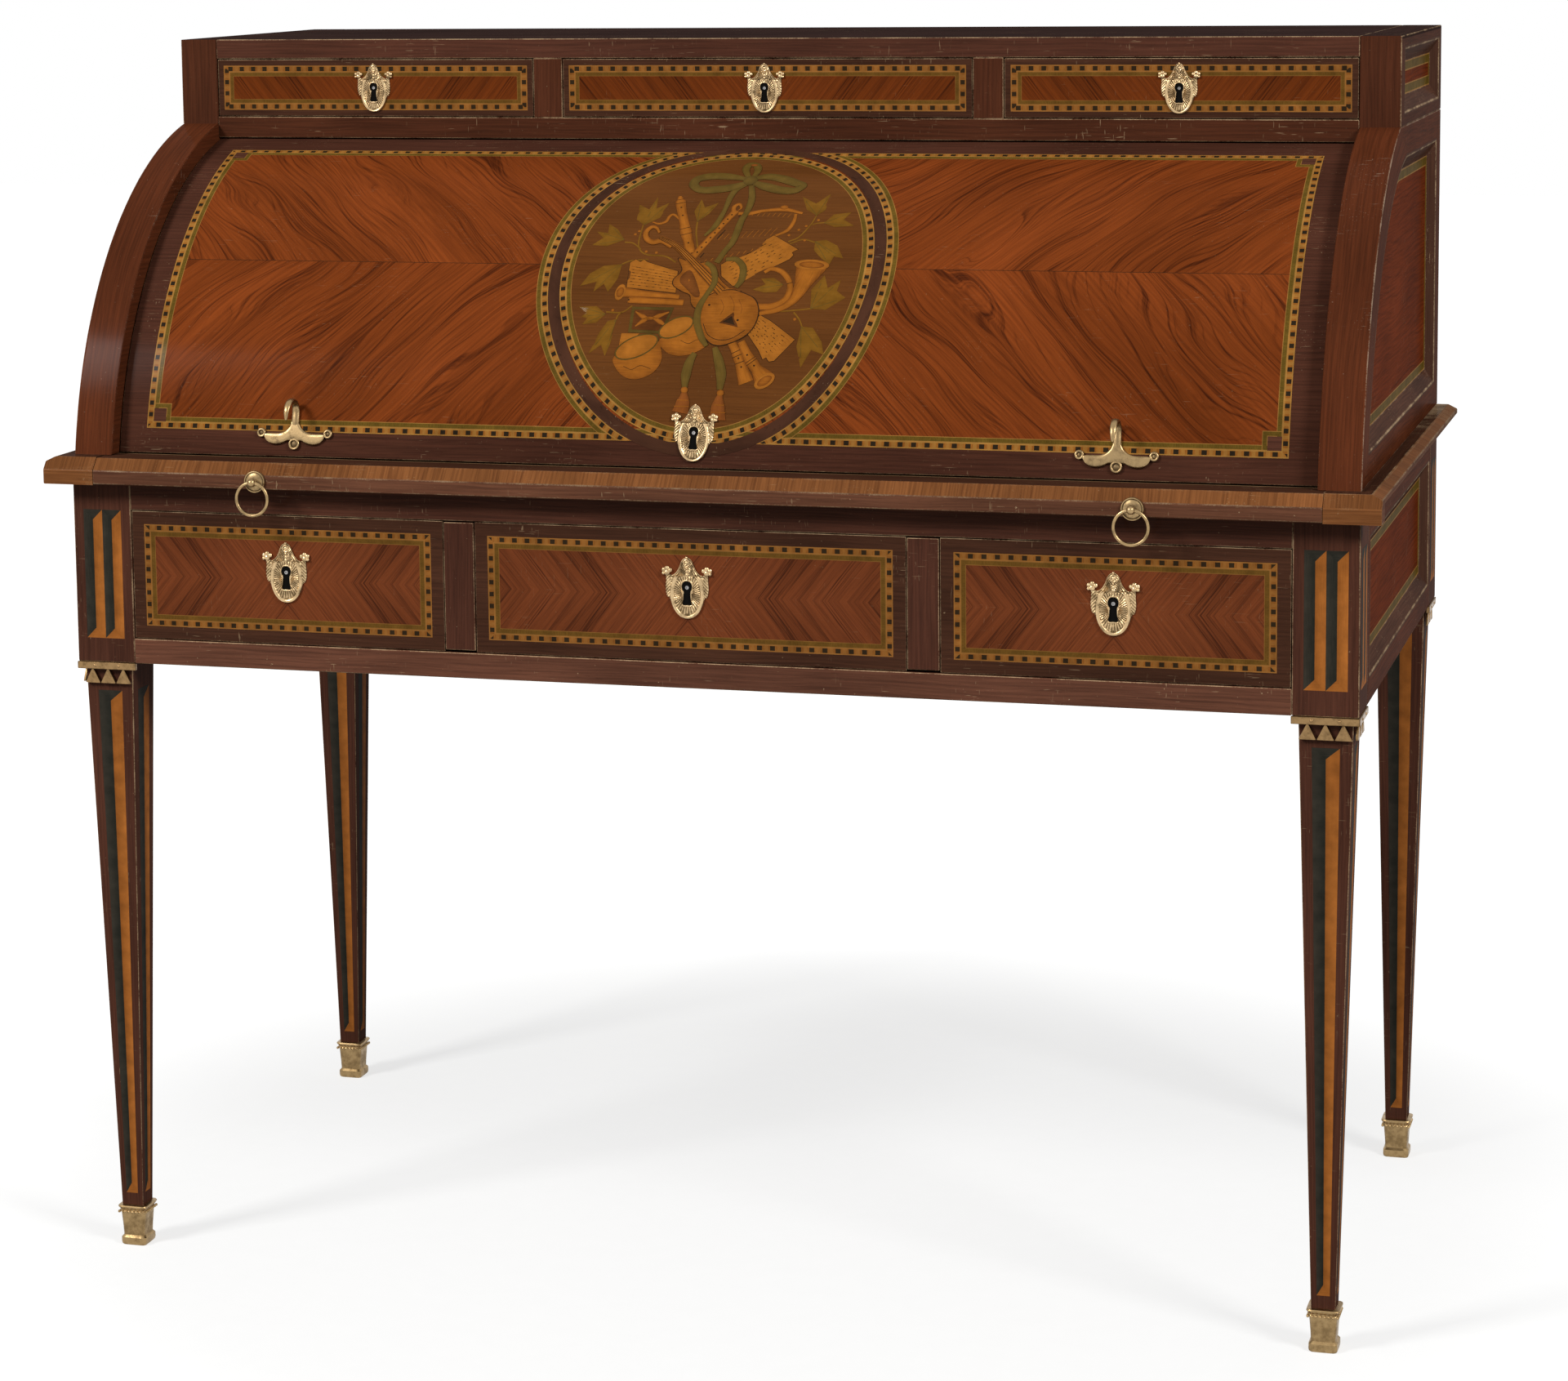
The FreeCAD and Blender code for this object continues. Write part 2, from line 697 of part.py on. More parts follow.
# Gradin: rail, floor, sides, dividers, top and the back of the upper case
between_cheeks = ("-cheek_inner", "cheek_inner")
y_behind_rail = "y_gradin + gradin_rail_thickness"
rail_z = ("gradin_drawer_low - gradin_rail_height", "gradin_drawer_low")
gradin_rail = box(between_cheeks, ("y_gradin", y_behind_rail), rail_z)
node(cut(gradin_rail, drum("shell_radius + shell_rail_gap", between_cheeks)), "gradin_rail")
floor_z = ("gradin_drawer_low - gradin_floor_thickness", "gradin_drawer_low")
node(box(between_cheeks, (y_behind_rail, "y_back_board"), floor_z), "gradin_floor")

gradin_sides = []
for side in (-1, 1):
    side_x = mirrored(side, "cheek_inner", "half_width")
    board = box(side_x, ("y_gradin", "y_back"), ("gradin_low", "total_height"))
    panel_y = ("y_gradin + gradin_panel_stile", "y_back - gradin_panel_back")
    panel_z = ("gradin_low + gradin_panel_rail", "total_height - gradin_panel_rail")
    gradin_sides.append(cut(board, sunk_panel(side, panel_y, panel_z)))
group("gradin_sides", gradin_sides)
divider_z = ("gradin_drawer_low", "gradin_drawer_high")
group("gradin_dividers", [box(x, ("y_gradin", "y_back_board"), divider_z) for x in stiles_x])
top = box(between_cheeks, ("y_gradin", "y_back"), ("gradin_drawer_high", "total_height"))
node(cut(top, *mortises(GRADIN_COLUMNS, "y_gradin", "gradin_drawer_high")), "top_board")
back_z = ("moulding_bottom", "gradin_drawer_high")
node(box(between_cheeks, ("y_back_board", "y_back"), back_z), "upper_back")


# Places of the inner uprights, as shares of the half width between the cheeks
NEST_SHARES = (-0.5, 0, 0.5)


def pigeonholes():
    """Open nest of four compartments carried between the cheeks."""
    low = "writing_height + nest_lift"
    high = f"{low} + nest_height"
    y = ("y_nest", "y_back_board")
    inner_z = (f"{low} + nest_board", f"{high} - nest_board")
    boards = [box(between_cheeks, y, (low, inner_z[0])), box(between_cheeks, y, (inner_z[1], high))]
    for side in (-1, 1):
        boards.append(box(mirrored(side, "cheek_inner - nest_upright", "cheek_inner"), y, inner_z))
    for share in NEST_SHARES:
        middle = f"{share} * cheek_inner"
        boards.append(box((f"{middle} - nest_upright / 2", f"{middle} + nest_upright / 2"), y, inner_z))
    group("pigeonhole_nest", boards)


pigeonholes()

# Writing slide with its leather, nosing and ring pulls
cylinder_lock_y = ("y_axis - shell_inner_radius", "y_axis - shell_inner_radius + lock_depth")
slide_x = ("-slide_half", "slide_half")
slide_z = ("slide_bottom", "slide_top")
y_tongue = "y_front + nosing_tongue"
leather_x = ("-slide_half + leather_border", "slide_half - leather_border")
leather_y = ("y_front + leather_border", "y_nest - leather_nest_gap")
leather_z = ("slide_top - leather_thickness", "slide_top")
leather_bed = box(leather_x, leather_y, ("slide_top - leather_thickness", "slide_top + overrun"))
strike_z = ("cylinder_bolt_low - cylinder_bolt_throw - mortise_gap", "cylinder_bolt_low + bolt_height")
strike = swung(bolt_box("0", cylinder_lock_y, strike_z, "mortise_gap"), "0")
node(cut(box(slide_x, (y_tongue, "y_slide_back"), slide_z), leather_bed, strike), "writing_slide")
node(box(leather_x, leather_y, leather_z), "writing_leather")
nose = [
    ("y_nose", "moulding_bottom"),
    ("y_nose", "slide_top - moulding_chamfer"),
    ("y_nose + moulding_chamfer", "slide_top"),
    (y_tongue, "slide_top"),
    (y_tongue, "slide_bottom"),
    ("y_front - slide_gap", "slide_bottom"),
    ("y_front - slide_gap", "moulding_bottom"),
]
node(profile("YZ_Plane", nose, slide_x), "slide_nosing")


def rosette(x):
    """Dished plate with a boss, and a drilled ball that the ring hangs in."""
    plate = [
        ("0", "y_eye - y_nose"),
        ("rosette_boss_radius", "y_eye - y_nose"),
        ("rosette_boss_radius", "-rosette_dish"),
        ("rosette_radius - rosette_rim", "-rosette_thickness"),
        ("rosette_radius", "0"),
        ("0", "0"),
    ]
    ball = doc.addObject("Part::Sphere", "Ball")
    bind(ball, "Radius", "eye_radius")
    place(ball, x, "y_eye", "pull_height")
    start = (f"{x} - overrun", "y_eye", "pull_height")
    bore = cylinder("ring_wire_radius + ring_gap", start, "2 * overrun", ALONG_X)
    return cut(fuse(turned(plate, (x, "y_nose", "pull_height")), ball), bore)


# Corners of a six-sided wire, as shares of its radius
WIRE_SHARES = [(1, 0), (0.5, 0.87), (-0.5, 0.87), (-1, 0), (-0.5, -0.87), (0.5, -0.87)]


def ring(x):
    """Ring of six-sided wire hanging from the ball of its rosette."""
    wire = [(f"ring_radius + {out} * ring_wire_radius", f"{along} * ring_wire_radius")
            for out, along in WIRE_SHARES]
    return turned(wire, (x, "y_eye", "pull_height - ring_radius"))


group("ring_rosettes", [rosette("-pull_spread"), rosette("pull_spread")])
node(ring("-pull_spread"), "ring_left")
node(ring("pull_spread"), "ring_right")

# Cylinder: curved shell with end tongues, hook handles, lock and keyhole plate
shell_x = ("-cheek_inner + shell_end_gap", "cheek_inner - shell_end_gap")
tongue_x = ("-cheek_inner - tongue_length", "cheek_inner + tongue_length")


def curved_board(x, outer, inner):
    """Curved board between two angles about the axis, trimmed level above the slide."""
    open_sector = drum("shell_radius + overrun", x, "shell_top_angle")
    below_y = ("y_axis - shell_radius - overrun", "y_axis")
    below = box(tongue_x, below_y, ("z_axis - overrun", "shell_foot"))
    return cut(drum(outer, x, "shell_foot_angle"), drum(inner, x), open_sector, below)


def keyhole(x, y, z, radius):
    """Tool for a keyhole: a round eye with a flared slot below it."""
    eye = cylinder(radius, (x, y[0], z), f"({y[1]}) - ({y[0]})", ALONG_Y)
    half = f"{radius} * key_slot_share"
    slot = box((f"{x} - {half}", f"{x} + {half}"), y, (f"{z} - key_drop_share * {radius}", z))
    return fuse(eye, slot)


# Parts of a keyhole plate, as shares of its width or height
OVAL_WIDTH_SHARE = 0.78
OVAL_HEIGHT_SHARE = 0.78
OVAL_DROP_SHARE = 0.1
CROWN_WIDTH_SHARE = 0.27
CROWN_ROUND_SHARE = 0.2
CROWN_RISE_SHARE = 0.36
EAR_PLACE_SHARE = 0.33
EAR_RISE_SHARE = 0.26
EAR_RADIUS_SHARE = 0.12
FINIAL_RISE_SHARE = 0.42
FINIAL_RADIUS_SHARE = 0.085


def keyhole_plate(x, face, z, width, height, seat):
    """Shield-shaped plate from its seat out past a face, with a keyhole through it."""
    y = (f"{face} - plate_thickness", f"{face} + {seat}")
    body = oval(x, f"{z} - {OVAL_DROP_SHARE} * {height}", y, f"{OVAL_HEIGHT_SHARE} * {height}",
                f"{OVAL_WIDTH_SHARE} * {width}", UPRIGHT)
    waist = f"{z} + {CROWN_RISE_SHARE} * {height}"
    crown_round = f"{CROWN_ROUND_SHARE} * {width}"
    crown = flared(x, y, f"{CROWN_WIDTH_SHARE} * {width}", (z, waist), crown_round, waist)
    ear_z = f"{z} + {EAR_RISE_SHARE} * {height}"
    ears = [octagon(f"{x} + {side} * {EAR_PLACE_SHARE} * {width}", ear_z, y, f"{EAR_RADIUS_SHARE} * {width}")
            for side in (-1, 1)]
    finial = octagon(x, f"{z} + {FINIAL_RISE_SHARE} * {height}", y, f"{FINIAL_RADIUS_SHARE} * {width}")
    through = (f"{y[0]} - overrun", f"{y[1]} + overrun")
    return cut(fuse(body, crown, finial, *ears), keyhole(x, through, z, "keyhole_radius"))


def lock_case(x, y, z_low, z_high, bolt_down):
    """Lock with a channel for its bolt, open upwards or downwards."""
    case = box((f"{x} - lock_width / 2", f"{x} + lock_width / 2"), y, (z_low, z_high))
    channel = (f"{z_high} - bolt_height - bolt_gap", f"{z_high} + overrun")
    if bolt_down:
        channel = (f"{z_low} - overrun", f"{z_low} + bolt_height + bolt_gap")
    return cut(case, bolt_box(x, y, channel, "bolt_gap"))


def cylinder_hardware():
    """Shell, its keyhole plate, lock and bolt."""
    surface = "y_axis - shell_radius"
    through = (f"{surface} - overrun", f"{surface} + 2 * overrun")
    bored = swung(keyhole("0", through, "z_axis", "keyhole_radius"), "cylinder_lock_rise")
    board = curved_board(shell_x, "shell_radius", "shell_inner_radius")
    tongues = curved_board(tongue_x, "tongue_outer_radius", "tongue_inner_radius")
    node(cut(fuse(board, tongues), bored), "cylinder_shell")
    plate = keyhole_plate("0", surface, "z_axis", "cylinder_plate_width", "cylinder_plate_height", "plate_thickness")
    plate = swung(cut(plate, drum("shell_radius", tongue_x)), "cylinder_lock_rise")
    lock_low = "z_axis + cylinder_lock_lift"
    case = lock_case("0", cylinder_lock_y, lock_low, f"{lock_low} + lock_height", True)
    group("cylinder_lock", [plate, swung(common(case, drum("shell_inner_radius", tongue_x)), "0")])
    bolt = bolt_box("0", cylinder_lock_y, ("cylinder_bolt_low", f"{lock_low} + bolt_height"), "0")
    node(swung(bolt, "0"), "cylinder_bolt")


cylinder_hardware()

def hook(x):
    """Winged plate with three eyelets and a band that bends out and down."""
    surface = "y_axis - shell_radius"
    y = (f"{surface} - hook_plate_thickness", f"{surface} + hook_plate_thickness")
    past = (f"{y[0]} - overrun", f"{y[1]} + overrun")
    wings = [oval(f"{x} + {side} * hook_wing_place", "z_axis - hook_wing_drop", y, "hook_wing_length",
                  "hook_wing_depth", FACING) for side in (-1, 1)]
    z_waist = "z_axis + hook_flare_rise"
    stem_z = ("z_axis - hook_wing_drop", z_waist)
    stem = flared(x, y, "hook_flare_radius + hook_band / 2", stem_z, "hook_flare_radius", z_waist)
    places = [(f"{x} - hook_width / 2", "z_axis"), (f"{x} + hook_width / 2", "z_axis"),
              (x, "z_axis - hook_eyelet_drop")]
    eyelets = [octagon(across, up, y, "hook_eyelet_radius") for across, up in places]
    holes = [octagon(across, up, past, "hook_eyelet_hole") for across, up in places]
    plate = cut(fuse(*wings, stem, *eyelets), *holes, drum("shell_radius", tongue_x))
    band_x = (f"{x} - hook_band / 2", f"{x} + hook_band / 2")
    z_bend = "z_axis + hook_stem_height"
    band = box(band_x, (y[0], surface), ("z_axis + hook_flare_rise - hook_eyelet_hole", z_bend))
    centre = (band_x[0], f"{surface} - hook_bend_radius - hook_plate_thickness / 2", z_bend)
    outer = cylinder("hook_bend_radius + hook_plate_thickness / 2", centre, "hook_band", ALONG_X, "180")
    inner = cylinder("hook_bend_radius - hook_plate_thickness / 2", centre, "hook_band", ALONG_X)
    tip_y = f"{surface} - 2 * hook_bend_radius"
    tip_range = (f"{tip_y} - hook_plate_thickness", tip_y)
    point = (f"{x} - hook_tip_width / 2", f"{x} + hook_tip_width / 2")
    tip = frustum("Z", (f"{z_bend} - hook_tip_drop", z_bend), (point, tip_range), (band_x, tip_range))
    return swung(fuse(plate, band, cut(outer, inner), tip), "hook_rise")


group("hook_handles", [hook("-hook_spread"), hook("hook_spread")])


# Drawers: front, box, lock with its plate, and bolt
def drawer(name, column, depth, height, plate_size, lock):
    """One drawer of the apron or of the gradin."""
    x, x_low, x_high = column
    face, y_end = depth
    z_low, z_high = height
    height_of_lock, key_rise = lock
    front_x = (f"{x_low} + drawer_gap", f"{x_high} - drawer_gap")
    front_y = (f"{face} + drawer_recess", f"{face} + drawer_recess + drawer_front_thickness")
    front_z = (f"{z_low} + drawer_gap", f"{z_high} - drawer_gap")
    lock_z = (f"{front_z[1]} - {height_of_lock}", front_z[1])
    lock_depth_range = lock_y(face)
    lock_x = (f"{x} - lock_width / 2", f"{x} + lock_width / 2")
    pocket_y = (lock_depth_range[0], f"{front_y[1]} + overrun")
    pocket = box(lock_x, pocket_y, (lock_z[0], f"{lock_z[1]} + overrun"))
    z_key = f"({z_low} + {z_high}) / 2 + {key_rise}"
    through = keyhole(x, (f"{front_y[0]} - overrun", lock_depth_range[0]), z_key, "keyhole_radius")
    node(cut(box(front_x, front_y, front_z), pocket, through), f"{name}_front")
    side_z = (f"{z_low} + drawer_lift", f"{front_z[1]} - drawer_side_drop")
    inner_x = (f"{front_x[0]} + drawer_side_thickness", f"{front_x[1]} - drawer_side_thickness")
    floor_low = f"{side_z[0]} + drawer_bottom_rise"
    floor_high = f"{floor_low} + drawer_bottom_thickness"
    y_inner_end = f"{y_end} - drawer_side_thickness"
    boards = [
        box((front_x[0], inner_x[0]), (front_y[1], y_end), side_z),
        box((inner_x[1], front_x[1]), (front_y[1], y_end), side_z),
        box(inner_x, (y_inner_end, y_end), side_z),
        box(inner_x, (front_y[1], y_inner_end), (floor_low, floor_high)),
    ]
    group(f"{name}_box", boards)
    pin = octagon(x, z_key, (front_y[0], lock_depth_range[0]), "key_pin_radius")
    case = fuse(lock_case(x, lock_depth_range, lock_z[0], lock_z[1], False), pin)
    plate = keyhole_plate(x, front_y[0], z_key, *plate_size, "0")
    group(f"{name}_lock", [case, plate])
    bolt_z = (f"{lock_z[1]} - bolt_height", f"{lock_z[1]} - bolt_gap")
    node(bolt_box(x, lock_depth_range, bolt_z, "0"), f"{name}_bolt")


for hand in COLUMNS:
    drawer(f"lower_{hand}_drawer", COLUMNS[hand], ("y_front", "y_lower_drawer_end"),
           ("drawer_low", "drawer_high"), ("plate_width", "plate_height"),
           ("lower_lock_height", "lower_key_rise"))
    drawer(f"gradin_{hand}_drawer", GRADIN_COLUMNS[hand], ("y_gradin", "y_gradin_drawer_end"),
           ("gradin_drawer_low", "gradin_drawer_high"), ("gradin_plate_width", "gradin_plate_height"),
           ("lock_height", "0"))

# Test every object, then write one file per sub-part
doc.recompute()
failed = [thing.Label for thing in doc.Objects if {"Invalid", "Error"} & set(thing.State)]
if failed:
    raise RuntimeError("failed objects: " + ", ".join(failed))
for part in nodes:
    if part.Shape.isNull() or not part.Shape.isValid() or not part.Shape.Solids:
        raise RuntimeError("bad shape: " + part.Label)
os.makedirs("parts", exist_ok=True)
for part in nodes:
    part.Shape.exportStep(f"parts/{part.Label}.step")
print(len(nodes), "sub-parts written")
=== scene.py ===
"""Looks of the cylinder desk: veneers, inlay, brass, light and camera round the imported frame.

Sizes are in millimetres in the part's own frame: x across, y to the back, z up. A surface's
UV map is in millimetres too, with u along the grain, unless its finish says otherwise.
"""

import logging
import math
from collections.abc import Callable, Sequence
from dataclasses import dataclass, field
from enum import Enum
from typing import ClassVar, Protocol

import bpy
import numpy as np
from mathutils import Matrix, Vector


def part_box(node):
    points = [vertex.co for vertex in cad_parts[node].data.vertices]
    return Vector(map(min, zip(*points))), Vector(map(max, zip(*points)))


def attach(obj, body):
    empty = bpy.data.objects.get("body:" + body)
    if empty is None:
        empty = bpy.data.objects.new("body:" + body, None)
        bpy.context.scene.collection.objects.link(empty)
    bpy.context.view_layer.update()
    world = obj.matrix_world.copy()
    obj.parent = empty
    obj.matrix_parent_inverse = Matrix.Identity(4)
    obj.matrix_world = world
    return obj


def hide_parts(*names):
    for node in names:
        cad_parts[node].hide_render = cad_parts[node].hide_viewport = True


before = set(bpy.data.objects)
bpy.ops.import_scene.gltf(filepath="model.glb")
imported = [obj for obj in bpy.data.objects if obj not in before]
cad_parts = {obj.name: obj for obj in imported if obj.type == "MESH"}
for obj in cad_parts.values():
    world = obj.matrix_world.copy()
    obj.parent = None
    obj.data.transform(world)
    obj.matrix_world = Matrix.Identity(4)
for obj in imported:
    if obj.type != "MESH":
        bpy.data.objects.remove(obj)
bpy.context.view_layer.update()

log = logging.getLogger("desk")
Array = np.ndarray
Vec2 = tuple[float, float]
Vec3 = tuple[float, float, float]
Color = tuple[float, float, float]
Socket = bpy.types.NodeSocket
Feed = Socket | float | tuple | None

MM = 0.001
ACROSS: Vec3 = (1.0, 0.0, 0.0)
OUT: Vec3 = (0.0, 0.0, 1.0)
TINY = 1e-9
WELD = 1e-4
LAYER = 0.045
BOARD_SHIFT = np.array([711.0, 173.0])
FACE_SHIFT = 57.0
SHARP_ANGLE = math.radians(38)
CASE_SIDE = 600.0
CASE_BACK = 326.0
NOSE_FRONT = -314.0
LEG_TOP = 574.0
APRON_TOP = 745.0
WRITING_LEVEL = 770.0
CHEEK_TOP = 1065.0
DESK_TOP = 1148.0
FRONT_LEG_Y = -265.0
BACK_LEG_Y = 297.0


# ---------------------------------------------------------------- shader graph
class Graph:
    """Hand for laying out the nodes of one shader tree."""

    def __init__(self, tree: bpy.types.NodeTree) -> None:
        """Keep the tree that the nodes go in."""
        self.tree = tree

    def node(self, kind: str, *feeds: Feed, **settings: object) -> bpy.types.Node:
        """Add a node.

        Args:
            kind: Blender's name for the node.
            feeds: links or values for its inputs, in order; None leaves one alone.
            settings: properties of the node.

        Returns:
            The new node.
        """
        made = self.tree.nodes.new(kind)
        for name, setting in settings.items():
            setattr(made, name, setting)
        for socket, feed in zip(made.inputs, feeds):
            self.feed(socket, feed)
        return made

    def feed(self, socket: Socket, feed: Feed) -> None:
        """Link a socket to another, or set its value; None leaves it alone."""
        if isinstance(feed, Socket):
            self.tree.links.new(feed, socket)
        elif feed is not None:
            socket.default_value = (*feed, 1.0) if socket.type == "RGBA" else feed

    def math(self, operation: str, first: Feed, second: Feed = None, clamp: bool = False) -> Socket:
        """Result of a Math node."""
        return self.node("ShaderNodeMath", first, second, operation=operation, use_clamp=clamp).outputs[0]

    def linear(self, value: Feed, slope: Feed, base: Feed) -> Socket:
        """Value times a slope, plus a base."""
        return self.math("ADD", self.math("MULTIPLY", value, slope), base)

    def parts(self, vector: Feed) -> Sequence[Socket]:
        """The three parts of a vector."""
        return self.node("ShaderNodeSeparateXYZ", vector).outputs

    def joined(self, first: Feed, second: Feed) -> Socket:
        """Flat vector of two values."""
        return self.node("ShaderNodeCombineXYZ", first, second).outputs[0]

    def scaled(self, vector: Feed, by: Vec3) -> Socket:
        """Vector multiplied part by part."""
        return self.node("ShaderNodeVectorMath", vector, by, operation="MULTIPLY").outputs[0]

    def noise(self, vector: Feed, scale: float, detail: float = 2.0, rough: float = 0.5) -> Socket:
        """Value of a noise pattern."""
        return self.node("ShaderNodeTexNoise", vector, None, scale, detail, rough).outputs[0]

    def step(self, value: Feed, low: float, high: float) -> Socket:
        """Smooth step from 0 at the low value to 1 at the high one."""
        made = self.node("ShaderNodeMapRange", value, low, high, 0.0, 1.0, interpolation_type="SMOOTHSTEP")
        return made.outputs[0]

    def mix(self, share: Feed, first: Feed, second: Feed, blend: str = "MIX") -> Socket:
        """Colour between two others."""
        made = self.node("ShaderNodeMix", data_type="RGBA", blend_type=blend)
        for index, feed in ((0, share), (6, first), (7, second)):
            self.feed(made.inputs[index], feed)
        return made.outputs[2]

    def clouded(self, colour: Feed, cloud: Socket, swing: float, base: float) -> Socket:
        """Colour times a cloudy grey: the pattern times a swing, plus a base."""
        grey = self.linear(cloud, swing, base)
        shade = self.node("ShaderNodeCombineColor", grey, grey, grey).outputs[0]
        return self.mix(1.0, colour, shade, "MULTIPLY")

    def uv(self) -> Socket:
        """The piece's own UV map."""
        return self.node("ShaderNodeUVMap", uv_map="UVMap").outputs[0]

    def spot(self) -> Socket:
        """Object coordinates, in metres."""
        return self.node("ShaderNodeTexCoord").outputs["Object"]

    def worn(self) -> Socket:
        """The piece's own wear attribute."""
        return self.node("ShaderNodeAttribute", attribute_name="wear").outputs["Fac"]

    def use(self, effect: "Effect", **feeds: Feed) -> dict[str, Socket]:
        """Place a shared effect.

        Args:
            effect: the group to place.
            feeds: links or values for its named inputs.

        Returns:
            Its outputs by name.
        """
        made = self.node("ShaderNodeGroup", node_tree=effect.tree())
        for name, feed in feeds.items():
            self.feed(made.inputs[name], feed)
        return {socket.name: socket for socket in made.outputs}


class Effect:
    """Shader group that several finishes share, built at first use."""

    name: ClassVar[str]
    inputs: ClassVar[dict[str, str]]
    outputs: ClassVar[tuple[str, ...]]

    def tree(self) -> bpy.types.NodeTree:
        """The group's tree, with one socket for each named input and output."""
        known = bpy.data.node_groups.get(self.name)
        if known:
            return known
        tree = bpy.data.node_groups.new(self.name, "ShaderNodeTree")
        for name, kind in self.inputs.items():
            tree.interface.new_socket(name, in_out="INPUT", socket_type=kind)
        for name in self.outputs:
            tree.interface.new_socket(name, in_out="OUTPUT", socket_type="NodeSocketFloat")
        graph = Graph(tree)
        feeds = {socket.name: socket for socket in graph.node("NodeGroupInput").outputs}
        ends = graph.node("NodeGroupOutput").inputs
        for name, socket in self.wire(graph, feeds).items():
            graph.feed(ends[name], socket)
        return tree

    def wire(self, graph: Graph, feeds: dict[str, Socket]) -> dict[str, Socket]:
        """Lay the group's nodes and give its outputs by name."""
        raise NotImplementedError


class Grain(Effect):
    """Wood grain: growth lines, fibre streaks, pores and slow clouds along u."""

    name = "grain"
    inputs = {"Vector": "NodeSocketVector", "Rings": "NodeSocketFloat", "Swirl": "NodeSocketFloat",
              "Fibre": "NodeSocketFloat"}
    outputs = ("Rings", "Streaks", "Pores", "Clouds")

    def wire(self, graph: Graph, feeds: dict[str, Socket]) -> dict[str, Socket]:
        """Growth lines are noise of a height, v times a rate plus a slow swirl, so they close to loops.

        Args:
            graph: hand for the group's tree.
            feeds: the group's inputs.

        Returns:
            The four patterns, each from 0 to 1.
        """
        vector = feeds["Vector"]
        u, v, _ = graph.parts(vector)
        clouds = graph.noise(graph.scaled(vector, (0.0055, 0.014, 1.0)), 1.0, 1.0)
        tremble = graph.noise(graph.scaled(vector, (0.015, 0.09, 1.0)), 1.0, 2.0)
        rise = graph.linear(v, feeds["Rings"], graph.math("MULTIPLY", clouds, feeds["Swirl"]))
        rise = graph.linear(tremble, 0.18, rise)
        bands = graph.noise(self.along(graph, u, 0.004, graph.math("MULTIPLY", rise, 1.1)), 1.0, 1.0)
        lines = graph.noise(self.along(graph, u, 0.006, graph.math("MULTIPLY", rise, 6.0)), 1.0, 4.0, 0.66)
        figure = graph.linear(bands, 0.5, lines)
        across = graph.linear(v, feeds["Fibre"], graph.math("MULTIPLY", rise, 1.2))
        fibres = graph.noise(self.along(graph, u, 0.012, across), 1.0, 4.0, 0.6)
        pores = graph.noise(graph.scaled(vector, (0.09, 1.9, 1.0)), 1.0, 2.0, 0.7)
        return {"Rings": graph.step(figure, 0.72, 0.96), "Streaks": graph.step(fibres, 0.3, 0.72),
                "Pores": graph.step(pores, 0.58, 0.74), "Clouds": clouds}

    def along(self, graph: Graph, u: Socket, rate: float, across: Socket) -> Socket:
        """Place whose pattern is drawn out along u."""
        return graph.joined(graph.math("MULTIPLY", u, rate), across)


class Wear(Effect):
    """Broken pale wear where the edge attribute is high."""

    name = "edge_wear"
    inputs = {"Edge": "NodeSocketFloat", "Spot": "NodeSocketVector", "Strength": "NodeSocketFloat"}
    outputs = ("Mask",)

    def wire(self, graph: Graph, feeds: dict[str, Socket]) -> dict[str, Socket]:
        """Mask is the edge value times patchy noise, cut by a smooth step and thinned by speckle.

        Args:
            graph: hand for the group's tree.
            feeds: the group's inputs.

        Returns:
            The mask, from 0 to 1.
        """
        patches = graph.noise(feeds["Spot"], 38.0, 3.0, 0.65)
        speckle = graph.noise(feeds["Spot"], 900.0, 1.0)
        worn = graph.math("MULTIPLY", feeds["Edge"], graph.linear(patches, 1.1, 0.12))
        worn = graph.linear(graph.math("SUBTRACT", speckle, 0.5), 0.5, worn)
        return {"Mask": graph.math("MULTIPLY", graph.step(worn, 0.36, 0.8), feeds["Strength"], clamp=True)}


class Scuff(Effect):
    """Short scratches and small chips scattered over a polished face."""

    name = "scuffs"
    inputs = {"Spot": "NodeSocketVector", "Strength": "NodeSocketFloat"}
    outputs = ("Mask",)

    def wire(self, graph: Graph, feeds: dict[str, Socket]) -> dict[str, Socket]:
        """Scratches are the peaks of noise drawn out level or upright, kept inside patches; chips are dots.

        Args:
            graph: hand for the group's tree.
            feeds: the group's inputs.

        Returns:
            The mask, from 0 to 1.
        """
        spot = feeds["Spot"]
        level, upright = (graph.step(graph.noise(graph.scaled(spot, stretch), 1.0, 1.0), 0.69, 0.76)
                          for stretch in ((60.0, 800.0, 900.0), (800.0, 800.0, 90.0)))
        keep = graph.step(graph.noise(spot, 17.0, 3.0, 0.6), 0.5, 0.64)
        lines = graph.math("MULTIPLY", graph.math("MAXIMUM", level, upright), keep)
        chips = graph.step(graph.noise(spot, 260.0, 2.0, 0.6), 0.73, 0.79)
        both = graph.math("MAXIMUM", lines, chips)
        return {"Mask": graph.math("MULTIPLY", both, feeds["Strength"], clamp=True)}


GRAIN = Grain()
WEAR = Wear()
SCUFF = Scuff()


